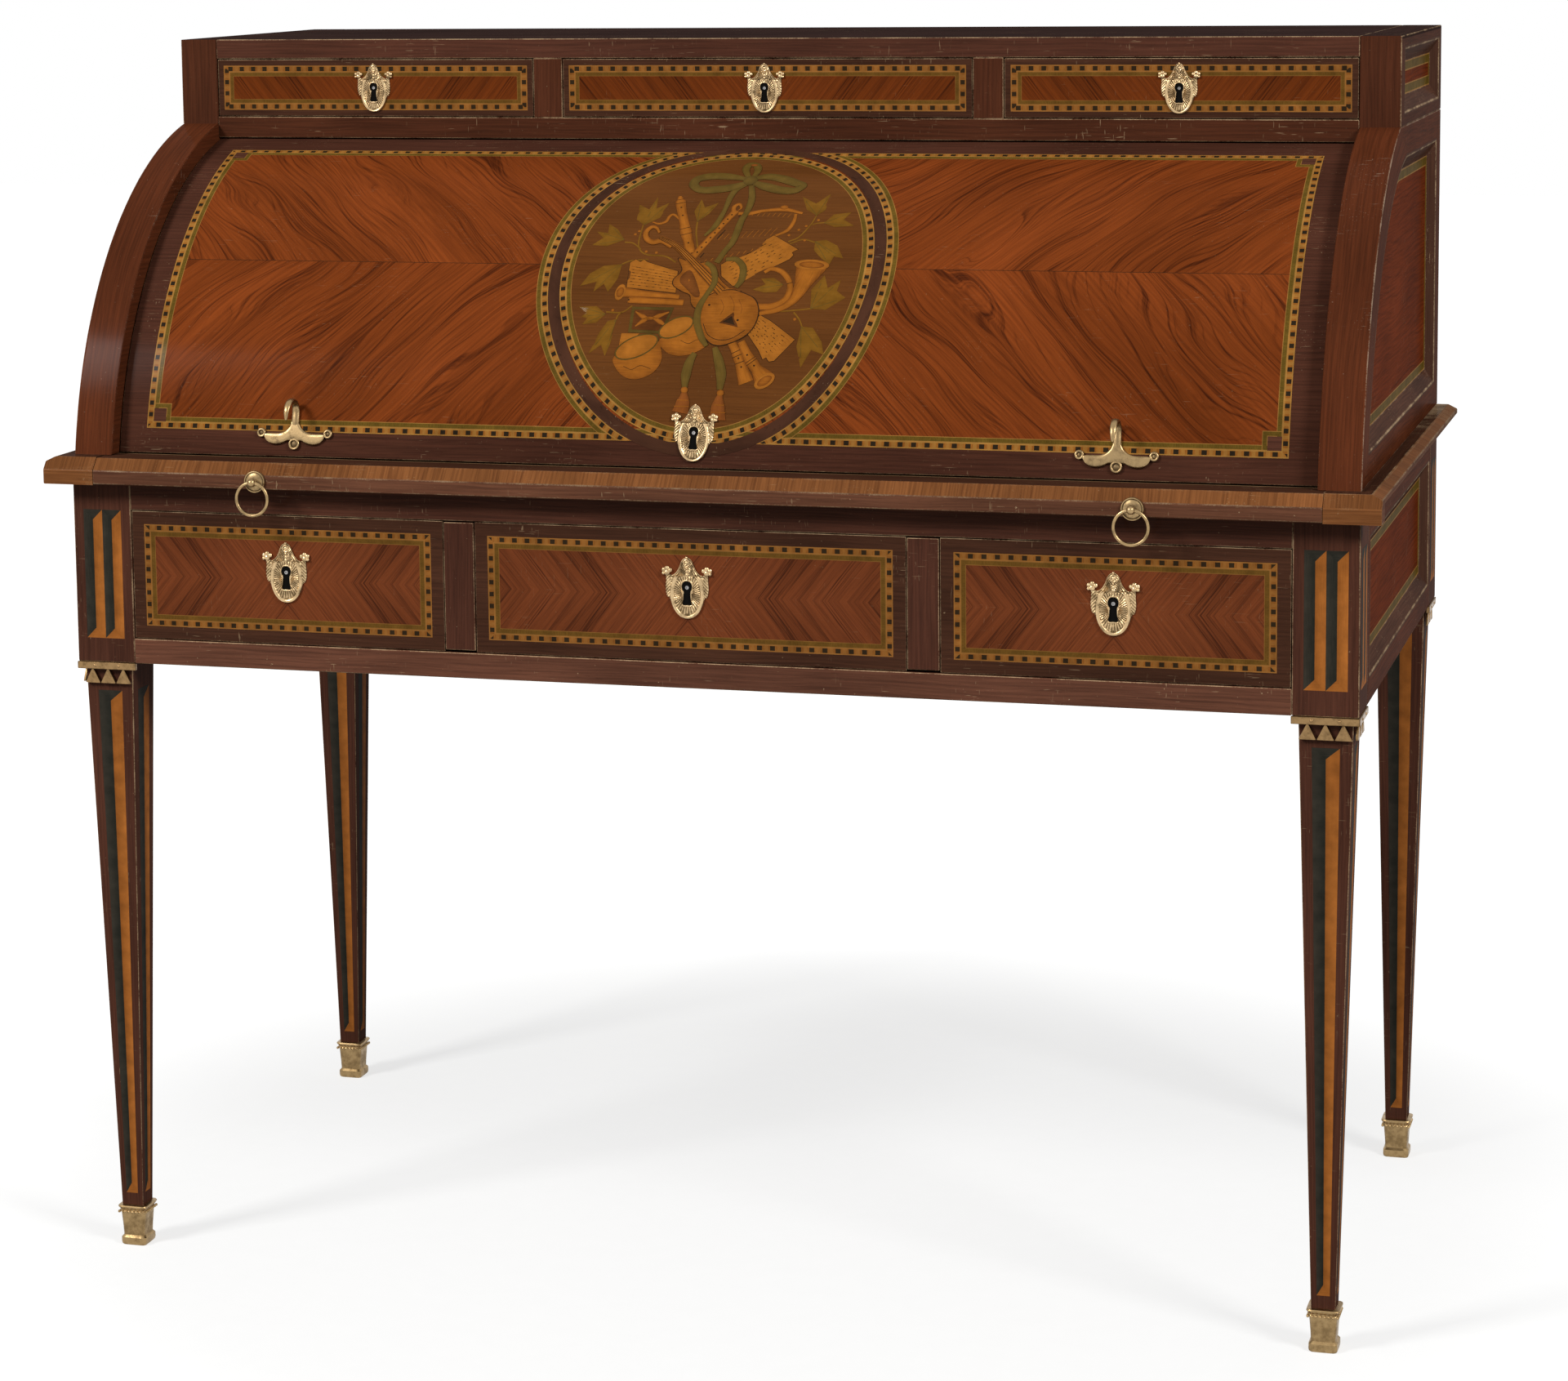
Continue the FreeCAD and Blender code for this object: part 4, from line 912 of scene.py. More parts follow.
@dataclass(frozen=True)
class Plane:
    """Flat ground: the origin plus a step across and a step up."""

    origin: Vec3
    across: Vec3
    up: Vec3 = (0.0, 0.0, 1.0)

    def place(self, flat: Array, lift: Array | float) -> Array:
        """Origin + a across + b up + lift times their cross product."""
        across, up = np.array(self.across), np.array(self.up)
        raised = np.asarray(lift)[..., None] * np.cross(across, up)
        return np.array(self.origin) + flat[..., :1] * across + flat[..., 1:2] * up + raised


@dataclass(frozen=True)
class Drum:
    """Curved ground of the cylinder: x across and arc length up from its level foot."""

    axis_y: float = 68.785
    axis_z: float = 715.0
    radius: float = 346.0
    foot_rise: float = 56.0
    head: float = math.radians(78)

    @property
    def length(self) -> float:
        """Arc length of the outer face."""
        return self.radius * (self.head - math.asin(self.foot_rise / self.radius))

    def place(self, flat: Array, lift: Array | float) -> Array:
        """Turn by the share of the arc, from the level foot to the head, at the radius plus the lift."""
        reach = np.broadcast_to(self.radius + np.asarray(lift, float), flat.shape[:-1])
        foot = np.arcsin(self.foot_rise / reach)
        turn = foot + flat[..., 1] / self.length * (self.head - foot)
        return np.stack([flat[..., 0], self.axis_y - reach * np.cos(turn), self.axis_z + reach * np.sin(turn)], -1)

    def bend(self, points: Array) -> Array:
        """Board points (x, arc, lift) carried onto the drum."""
        return self.place(points[..., :2], points[..., 2])


@dataclass(frozen=True)
class Shifted:
    """Ground seen from another centre and at another scale, for mounts."""

    ground: Ground
    centre: Vec2
    scale: float = 1.0

    def place(self, flat: Array, lift: Array | float) -> Array:
        """The first ground's place of the scaled and moved point."""
        return self.ground.place(flat * self.scale + np.array(self.centre), np.asarray(lift) * self.scale)

    def form(self, points: Array) -> Array:
        """Local points (across, up, out) carried onto the ground."""
        return self.place(points[..., :2], points[..., 2])

    def mount(self, piece: Piece, points: Array, finish: Finish, wear: Array | float) -> None:
        """Add a closed ring of local points to a piece."""
        piece.add(self.form(points), finish, None, wear, True)


@dataclass
class Inlay:
    """Marquetry drawn on a ground, in thin layers one over the other."""

    piece: Piece
    ground: Ground
    base: float = 0.0

    def sheet(self, flat: Array, finish: Finish, layer: float, uv: Array | None = None,
              shade: Array | float = 0.0) -> None:
        """Lay a grid of flat places on the ground; without a UV map its own flat places serve."""
        points = self.ground.place(flat, (self.base + layer) * LAYER)
        self.piece.add(points, finish, flat if uv is None else uv, shade)

    def patch(self, corners: Sequence[Vec2], finish: Finish, layer: float, cells: tuple[int, int] = (1, 1),
              grain: float = 0.0, shade: tuple[float, float] = (0.0, 0.0)) -> None:
        """Lay a four-cornered leaf, blended between its corners.

        Args:
            corners: anticlockwise from the lower left.
            finish: its veneer.
            layer: how many layers it lies over the ground.
            cells: cells along and up.
            grain: angle of its grain in degrees.
            shade: scorch at its left and right side.
        """
        a, b, c, d = (np.array(corner, float) for corner in corners)
        s = np.linspace(0, 1, cells[0] + 1)[:, None, None]
        t = np.linspace(0, 1, cells[1] + 1)[None, :, None]
        flat = (1 - s) * (1 - t) * a + s * (1 - t) * b + s * t * c + (1 - s) * t * d
        scorch = shade[0] + (shade[1] - shade[0]) * s[..., 0] + 0 * t[..., 0]
        self.sheet(flat, finish, layer, turned(flat, grain), scorch)

    def leaf(self, low: Vec2, high: Vec2, finish: Finish, layer: float, lean: float, mirror: tuple[int, int],
             cells: tuple[int, int] = (1, 1), start: float = 300.0) -> None:
        """Lay one of a set of mirrored leaves; its grain is measured from the mirror lines.

        Args:
            low: lower left corner.
            high: upper right corner.
            finish: its veneer.
            layer: how many layers it lies over the ground.
            lean: angle of the grain from the first mirrored direction, in degrees.
            mirror: sign of each direction, away from the set's centre.
            cells: cells along and up.
            start: where the grain's pattern starts; leaves of one start are mirror images.
        """
        xs = np.linspace(low[0], high[0], cells[0] + 1)
        ys = np.linspace(low[1], high[1], cells[1] + 1)
        flat = np.stack(np.meshgrid(xs, ys, indexing="ij"), -1)
        centre = np.where(np.array(mirror) > 0, low, high)
        away = (flat - centre) * np.array(mirror)
        self.sheet(flat, finish, layer, turned(away, lean) + start)

    def frame(self, low: Vec2, high: Vec2, width: float, finish: Strip, layer: float, pitch: Vec2 = (1.0, 1.0),
              cells: int = 1) -> None:
        """Lay four mitred strips; u counts pitches from the middle of each side, v runs inwards.

        Args:
            low: lower left outer corner.
            high: upper right outer corner.
            width: width of the strips.
            finish: their finish.
            layer: how many layers they lie over the ground.
            pitch: length of one unit of u, on level and on upright strips.
            cells: cells along each strip.
        """
        outer = np.array([low, (high[0], low[1]), high, (low[0], high[1])], float)
        inner = outer + width * np.array([(1, 1), (-1, 1), (-1, -1), (1, -1)])
        s = np.linspace(0, 1, cells + 1)[:, None]
        for side in range(4):
            after = (side + 1) % 4
            rims = [line[side] + s * (line[after] - line[side]) for line in (outer, inner)]
            flat = np.stack(rims, 1)
            axis = side % 2
            run = (flat[..., axis] - (low[axis] + high[axis]) / 2) / pitch[axis]
            across = np.broadcast_to(np.array([0.0, 1.0]), run.shape)
            self.sheet(flat, finish, layer, np.stack([run, across], -1))

    def oval(self, centre: Vec2, outer: Vec2, width: float, finish: Finish, layer: float, pitch: float = 1.0,
             limits: Vec2 | None = None, cells: int = 144) -> None:
        """Lay a ring of an ellipse inwards from its outer radii, or two arcs cut by a line below and above.

        Args:
            centre: middle of the ellipse.
            outer: outer radii.
            width: width of the ring.
            finish: its finish.
            layer: how many layers it lies over the ground.
            pitch: length of one unit of u.
            limits: heights of the cutting lines; each arc stops where its inner rim meets them.
            cells: cells along each arc.
        """
        spans = [(0.0, 360.0)]
        if limits:
            low, high = np.degrees(np.arcsin(np.abs(np.array(limits) - centre[1]) / (outer[1] - width)))
            spans = [(-low, high), (180.0 - high, 180.0 + low)]
        for start, stop in spans:
            turn = np.radians(np.linspace(start, stop, cells + 1))
            ray = np.stack([np.cos(turn), np.sin(turn)], -1)
            rims = np.stack([np.array(centre) + ray * (np.array(outer) - inset) for inset in (0.0, width)], 1)
            if limits:
                rims[..., 1] = np.clip(rims[..., 1], *limits)
            run = np.repeat(lengths(rims[:, 0])[:, None] / pitch, 2, 1)
            across = np.broadcast_to(np.array([0.0, 1.0]), run.shape)
            self.sheet(rims, finish, layer, np.stack([run, across], -1))

    def band(self, points: Sequence, half: Sequence[float], finish: Finish, layer: float, count: int = 24,
             scorch: Sequence[float] = (0.0, 0.1, 0.8)) -> None:
        """Lay a strip of changing width along a smooth path.

        Args:
            points: points that the path passes through.
            half: half widths, spread evenly along it.
            finish: its finish.
            layer: how many layers it lies over the ground.
            count: points along it; 0 keeps the given ones.
            scorch: shade from its left edge to its right edge.
        """
        path = curve(points, count) if count else np.asarray(points, float)
        count = len(path)
        ahead = unit(np.gradient(path, axis=0))
        left = np.stack([-ahead[:, 1], ahead[:, 0]], -1)
        widths = np.interp(np.linspace(0, 1, count), np.linspace(0, 1, len(half)), half)
        places = np.linspace(1, -1, len(scorch))
        flat = path[:, None] + places[None, ::-1, None] * widths[:, None, None] * left[:, None]
        uv = np.stack(np.broadcast_arrays(lengths(path)[:, None], places[None, ::-1] * widths[:, None]), -1)
        self.sheet(flat, finish, layer, uv, np.asarray(scorch)[None, ::-1])

    def blob(self, outline: Sequence, finish: Finish, layer: float, scorch: Vec2 = (0.0, 0.7), count: int = 0,
             centre: Vec2 | None = None) -> None:
        """Lay a closed leaf that all its outline can be seen from the middle of, darker at its rim.

        Args:
            outline: points of the outline, anticlockwise.
            finish: its finish.
            layer: how many layers it lies over the ground.
            scorch: shade in the middle and at the rim.
            count: points of a smooth outline; 0 keeps the given points and straight edges.
            centre: the middle, or the points' mean.
        """
        rim = curve(outline, count, closed=True) if count else np.asarray(outline, float)
        rim = np.concatenate([rim, rim[:1]])
        middle = rim[:-1].mean(0) if centre is None else np.array(centre)
        share = np.array([0.0, 0.55, 0.85, 1.0])
        flat = middle + share[:, None, None] * (rim - middle)[None]
        scorched = scorch[0] + (scorch[1] - scorch[0]) * share**2
        self.sheet(flat, finish, layer, None, np.repeat(scorched[:, None], flat.shape[1], 1))

    def line(self, points: Sequence, width: float, layer: float, count: int = 16, finish: Finish = INK) -> None:
        """Lay one thin engraved line."""
        self.band(points, (width / 2, width / 2), finish, layer, count, (0.2, 0.2))

    def flute(self, low: Vec2, high: Vec2, mitre: float, layer: float) -> None:
        """Lay a painted-looking flute: a dark half and a light half that meet on 45 degree mitres.

        Args:
            low: lower left corner.
            high: upper right corner.
            mitre: height of the mitres.
            layer: how many layers it lies over the ground.
        """
        middle = (low[0] + high[0]) / 2
        foot, top = (middle, low[1] + mitre), (middle, high[1] - mitre)
        lower_right, upper_left = (high[0], low[1]), (low[0], high[1])
        self.patch((low, foot, top, upper_left), FLUTE_DARK, layer, (3, 4), 90, (0.3, 1.0))
        self.patch((top, high, high, upper_left), FLUTE_DARK, layer, (3, 1), 0, (0.5, 0.8))
        self.patch((foot, lower_right, high, top), FLUTE_LIGHT, layer, (3, 4), 90, (0.9, 0.0))
        self.patch((low, lower_right, foot, foot), FLUTE_LIGHT, layer, (3, 1), 0, (0.2, 0.3))


# ---------------------------------------------------------------- case
@dataclass(frozen=True)
class LegFace:
    """One tapered face of a leg: shares of its half width across, height up."""

    centre: Vec2
    across: Vec3
    foot: Vec2 = (4.0, 10.0)
    top: Vec2 = (LEG_TOP, 24.0)

    def place(self, flat: Array, lift: Array | float) -> Array:
        """Half width from the height; out from the leg's middle by it and along by its share."""
        half = np.interp(flat[..., 1], (self.foot[0], self.top[0]), (self.foot[1], self.top[1]))
        across = np.array(self.across)
        out = np.cross(across, (0.0, 0.0, 1.0))
        flat_place = (half * flat[..., 0])[..., None] * across + (half + np.asarray(lift))[..., None] * out
        return np.array([*self.centre, 0.0]) + flat_place + flat[..., 1:2] * np.array([0.0, 0.0, 1.0])


@dataclass
class Leg:
    """Square post above and tapered leg below, one timber, with inlaid flutes."""

    name: str
    side: int
    y: float
    x: float = 571.0
    post_half: float = 29.0
    leg_top: Vec2 = (LEG_TOP, 24.0)
    leg_foot: Vec2 = (6.0, 10.0)
    post_top: float = APRON_TOP
    flute_low: float = 597.0
    flute_high: float = 719.0
    flute_half: float = 19.0
    leg_flute: tuple[float, float, float] = (52.0, 546.0, 0.52)
    leg_mitre: float = 10.0

    def build(self) -> None:
        """Build the timber and lay its flutes."""
        piece = look(f"leg_{self.name}", "root", Slot.AMARANTH)
        x, half = self.side * self.x, self.post_half
        low, high = (x - half, self.y - half, self.leg_top[0]), (x + half, self.y + half, self.post_top)
        seed = 3 * self.side + int(self.y)
        Board(low, high, AMARANTH, grain=2, bevel=1.4, fade=1.8).add_to(piece, None, seed)
        self.taper(piece, x, seed)
        out = (0.0, float(self.side), 0.0)
        faces = [out] + ([ACROSS] if self.y < 0 else [])
        for across in faces:
            normal = np.cross(across, (0, 0, 1))
            origin = tuple(np.array([x, self.y, 0.0]) + half * normal)
            inlay = Inlay(piece, Plane(origin, across))
            for left in (-self.flute_half, 0.0):
                inlay.flute((left, self.flute_low), (left + self.flute_half, self.flute_high), self.flute_half / 2, 1)
        for across in (ACROSS, (-1.0, 0.0, 0.0), (0.0, 1.0, 0.0), (0.0, -1.0, 0.0)):
            low_z, high_z, share = self.leg_flute
            inlay = Inlay(piece, LegFace((x, self.y), across))
            inlay.flute((-share, low_z), (share, high_z), self.leg_mitre, 1)
        piece.build()

    def taper(self, piece: Piece, x: float, seed: int) -> None:
        """Add the leg: a square board whose halves shrink evenly towards the foot.

        Args:
            piece: the leg's piece.
            x: place of the leg's middle.
            seed: shifts the grain.
        """
        (top_z, top_half), (foot_z, foot_half) = self.leg_top, self.leg_foot
        board = Board((-top_half, -top_half, foot_z), (top_half, top_half, top_z), AMARANTH, grain=2, bevel=1.3,
                      fade=1.8, cells=(1, 1, 12))

        def shrink(points: Array) -> Array:
            """Both halves in proportion to the height, then moved to the leg's place."""
            share = np.interp(points[..., 2], (foot_z, top_z), (foot_half / top_half, 1.0))[..., None]
            return np.concatenate([points[..., :2] * share + np.array([x, self.y]), points[..., 2:]], -1)

        board.add_to(piece, shrink, seed)


@dataclass
class Sabots:
    """Four brass shoes: rounded plinth, cup that narrows down, and flared beaded rim."""

    centres: Sequence[Vec2]
    profile: Sequence[Vec2] = ((10.4, 40.0), (14.6, 39.4), (15.0, 38.4), (14.2, 36.8), (12.9, 35.2), (12.9, 34.0),
                               (13.4, 33.2), (12.9, 32.4), (12.4, 31.0), (11.4, 18.0), (11.0, 9.6), (11.9, 8.6),
                               (12.9, 7.4), (13.0, 3.0), (12.6, 0.9), (11.8, 0.0), (0.0, 0.0))
    grime: tuple[Sequence[float], Sequence[float]] = ((0, 8, 12, 30, 40), (0.3, 0.1, 0.9, 0.2, 0.1))

    def build(self) -> None:
        """Stack the rounded squares of the profile on every foot."""
        piece = look("sabots", "root", Slot.BRASS)
        half, height = np.array(self.profile).T
        for x, y in self.centres:
            middle = np.stack([np.full_like(height, x), np.full_like(height, y), height], -1)
            worn = np.interp(height, *self.grime)
            piece.add(loft(np.stack([half, half], -1), middle, 40, 9.0), SABOT_GILT, None, worn[:, None], True)
            self.beads(piece, (x, y))
        piece.build()

    def beads(self, piece: Piece, centre: Vec2, height: float = 33.2, reach: float = 13.2, count: int = 8) -> None:
        """Set a row of small balls along each side of the rim.

        Args:
            piece: the sabots' piece.
            centre: middle of the foot.
            height: height of the row.
            reach: distance of the row from the middle.
            count: balls on one side.
        """
        steps = np.linspace(-reach, reach, count)
        for step in steps[:-1]:
            for dx, dy in ((step, -reach), (reach, step), (-step, reach), (-reach, -step)):
                piece.add(ball((centre[0] + dx, centre[1] + dy, height), 1.5, 5, 8), SABOT_GILT, None, 0.2, True)


@dataclass
class Collars:
    """Brass collars under the posts: a flat bar, two nails and three flat pointed drops."""

    legs: Sequence[Leg]
    bar_z: float = 570.5
    bar_half: Vec3 = (29.6, 3.4, 1.8)
    drop_z: Sequence[float] = (567.6, 567.4, 554.2, 553.7, 553.6)
    drop_half: Sequence[float] = (0.0, 0.5, 7.4, 7.4, 7.0)
    drop_depth: float = 1.3
    face: float = 26.4
    pitch: float = 15.6
    nail_x: float = 12.0
    nail_radii: Vec3 = (1.5, 1.5, 0.8)

    def build(self) -> None:
        """Fit a collar to the outer side of every leg and to the front of the front legs."""
        piece = look("leg_collars", "root", Slot.BRASS)
        for leg in self.legs:
            origin = (leg.side * leg.x, leg.y, 0.0)
            self.fit(piece, Plane(origin, (0.0, float(leg.side), 0.0)))
            if leg.y < 0:
                self.fit(piece, Plane(origin, ACROSS))
        piece.build()

    def fit(self, piece: Piece, ground: Plane) -> None:
        """Fit one collar on the ground through the leg's middle.

        Args:
            piece: the collars' piece.
            ground: plane through the leg's middle, facing outwards.
        """
        seat = Shifted(ground, (0.0, 0.0))
        half = np.array(self.bar_half)
        middle = np.array([0.0, self.bar_z, self.face + half[2]])
        Board(tuple(middle - half), tuple(middle + half), COLLAR_GILT, 0, 0.7, 0.8).add_to(piece, seat.form)
        for place in (-self.nail_x, self.nail_x):
            nail = ball((place, self.bar_z, middle[2] + half[2]), self.nail_radii)
            seat.mount(piece, nail, COLLAR_GILT, 0.0)
        half = np.array(self.drop_half)
        depth = np.where(half > 0, self.drop_depth, 0.0)
        height = np.array(self.drop_z)
        for step in (-1, 0, 1):
            flat = loft(np.stack([half, depth], -1), np.zeros((len(half), 3)), 24, 6.0)
            across = flat[..., 0] + step * self.pitch
            out = flat[..., 1] + self.face
            up = np.broadcast_to(height[:, None], across.shape)
            drop = np.stack([across, up, out], -1)[::-1]
            seat.mount(piece, drop, COLLAR_GILT, 0.15)
            self.close(piece, seat, drop[:1])

    def close(self, piece: Piece, seat: Shifted, rim: Array) -> None:
        """Close the open end of a drop with a fan to its middle."""
        middle = np.broadcast_to(rim.mean(1, keepdims=True), rim.shape)
        seat.mount(piece, np.concatenate([middle, rim]), COLLAR_GILT, 0.2)


@dataclass
class SideBoard:
    """Side board with a sunk panel on its outer face; a cheek's front edge follows the cylinder."""

    node: str
    side: int
    y: Vec2
    z: Vec2
    thickness: float
    panel: tuple[float, float, float, float]
    wood: Wood
    arc: float | None = None
    head_wood: Wood | None = None
    outer: float = CASE_SIDE
    sink: float = 8.0
    slope: float = 14.0
    border: float = 9.6
    edge_shift: float = 40.0
    face_shift: float = 91.0
    drum: Drum = Drum()
    count: int = 33

    def outline(self, front: float, back: float, foot: float, head: float) -> list[Array]:
        """Four sides (foot, back, head, front) of the board's outline in (y, z), drawn in by each inset.

        Args:
            front: inset of the front edge.
            back: inset of the back edge.
            foot: inset of the lower edge.
            head: inset of the upper edge.

        Returns:
            Points of each side, running round anticlockwise as seen from the right.
        """
        low, high, rear = self.z[0] + foot, self.z[1] - head, self.y[1] - back
        t = np.linspace(0, 1, self.count)
        if self.arc is None:
            edge_y = np.full(self.count, self.y[0] + front)
            edge_z = high + (low - high) * t
        else:
            radius = self.arc - front
            turn = np.arcsin(np.array([high, low]) / radius - self.drum.axis_z / radius)
            angles = turn[0] + (turn[1] - turn[0]) * t
            edge_y = self.drum.axis_y - radius * np.cos(angles)
            edge_z = self.drum.axis_z + radius * np.sin(angles)
        near_foot, near_head = edge_y[-1], edge_y[0]
        return [
            np.stack([near_foot + (rear - near_foot) * t, np.full(self.count, low)], -1),
            np.stack([np.full(self.count, rear), low + (high - low) * t], -1),
            np.stack([rear + (near_head - rear) * t, np.full(self.count, high)], -1),
            np.stack([edge_y, edge_z], -1),
        ]

    def rings(self) -> list[tuple[float, list[Array], float]]:
        """Sections from the inner face round the edge to the sunk panel: depth, outline and wear."""
        made = [(depth, self.outline(*(inset,) * 4), wear) for depth, inset, wear in (
            (-self.thickness, 0.7, 0.5), (0.7 - self.thickness, 0.0, 0.5), (1.5 - self.thickness, 0.0, 0.0),
            (-3.0, 0.0, 0.0), (-1.2, 0.0, 0.55),
            (-0.35, 0.35, 1.0), (0.0, 1.2, 0.55), (0.0, 3.0, 0.0))]
        for depth, inset, wear in ((0.0, -2.0, 0.1), (0.0, 0.0, 0.9), (-0.5, 0.9, 0.9), (-1.2, 2.2, 0.35),
                                   (0.6 - self.sink, self.slope - 1.4, 0.35), (-self.sink, self.slope, 0.8),
                                   (-self.sink, self.slope + self.border, 0.0)):
            made.append((depth, self.outline(*(edge + inset for edge in self.panel)), wear))
        return made

    def raised(self, flat: Array, depth: Array | float) -> Array:
        """Points at (y, z) and a depth below the outer face."""
        x = np.broadcast_to(self.side * (self.outer + np.asarray(depth)), flat.shape[:-1])
        return np.concatenate([x[..., None], flat], -1)

    def build(self, piece: Piece | None = None) -> None:
        """Add the strips between sections and fill both faces.

        Args:
            piece: piece to add to; without it a new one is built.
        """
        target = piece or look(self.node, "root", Slot.AMARANTH)
        rings = self.rings()
        finishes = [self.wood] * 8 + [BEVEL_WOOD] * 5 + [OLIVE]
        for step, (first, second) in enumerate(zip(rings, rings[1:])):
            for side in range(4):
                finish = finishes[step]
                if self.head_wood and side == 2 and 0 < step < 7:
                    finish = self.head_wood
                flat = np.stack([first[1][side], second[1][side]], 1)
                depth = np.broadcast_to(np.array([first[0], second[0]]), flat.shape[:2])
                run = lengths(flat[:, 0])
                across = np.array([0.0, 1.0])
                if finish is not OLIVE:
                    across = depth[0] - across * self.width(first, second) + self.edge_shift * side
                uv = np.stack(np.broadcast_arrays(run[:, None], across[None]), -1)
                wear = np.broadcast_to(np.array([first[2], second[2]]), flat.shape[:2])
                self.lay(target, self.raised(flat, depth), finish, uv, wear)
        self.fill(target, rings[-1], PANEL_WOOD, False)
        self.fill(target, rings[0], self.wood, True)
        if piece is None:
            target.build()

    def width(self, first: tuple, second: tuple) -> float:
        """Distance between the feet of two sections' outlines."""
        return abs(first[1][0][0, 1] - second[1][0][0, 1])

    def lay(self, piece: Piece, points: Array, finish: Finish, uv: Array, wear: Array) -> None:
        """Add a grid, turned over on the left-hand side so that it faces outwards."""
        if self.side < 0:
            points, uv, wear = points[::-1], uv[::-1], wear[::-1]
        piece.add(points, finish, uv, wear)

    def fill(self, piece: Piece, ring: tuple[float, list[Array], float], finish: Finish, inner: bool) -> None:
        """Fill an outline: a patch blended from its four sides.

        Args:
            piece: the board's piece.
            ring: depth, outline and wear of the section to fill.
            finish: finish of the filled face.
            inner: the face looks inwards.
        """
        foot, rear, head, front = ring[1]
        head, front = head[::-1], front[::-1]
        s = np.linspace(0, 1, self.count)[:, None, None]
        t = np.linspace(0, 1, self.count)[None, :, None]
        sides = (1 - t) * foot[:, None] + t * head[:, None] + (1 - s) * front[None] + s * rear[None]
        corners = (1 - s) * (1 - t) * foot[0] + s * (1 - t) * foot[-1] + (1 - s) * t * head[0] + s * t * head[-1]
        flat = sides - corners
        points = self.raised(flat, ring[0])
        wear = np.zeros(flat.shape[:2])
        uv = flat + self.face_shift * self.side
        if inner:
            points, uv = points[::-1], uv[::-1]
        self.lay(piece, points, finish, uv, wear)


def veneers(first: int, last: int) -> tuple[tuple[slice, Wood], ...]:
    """Rows of a moulding's section with their woods: face, chamfer from the first row to the last, and top."""
    return (slice(0, first + 1), NOSE_WOOD), (slice(first, last + 1), CROSSBAND), (slice(last, None), DRAWER_WOOD)


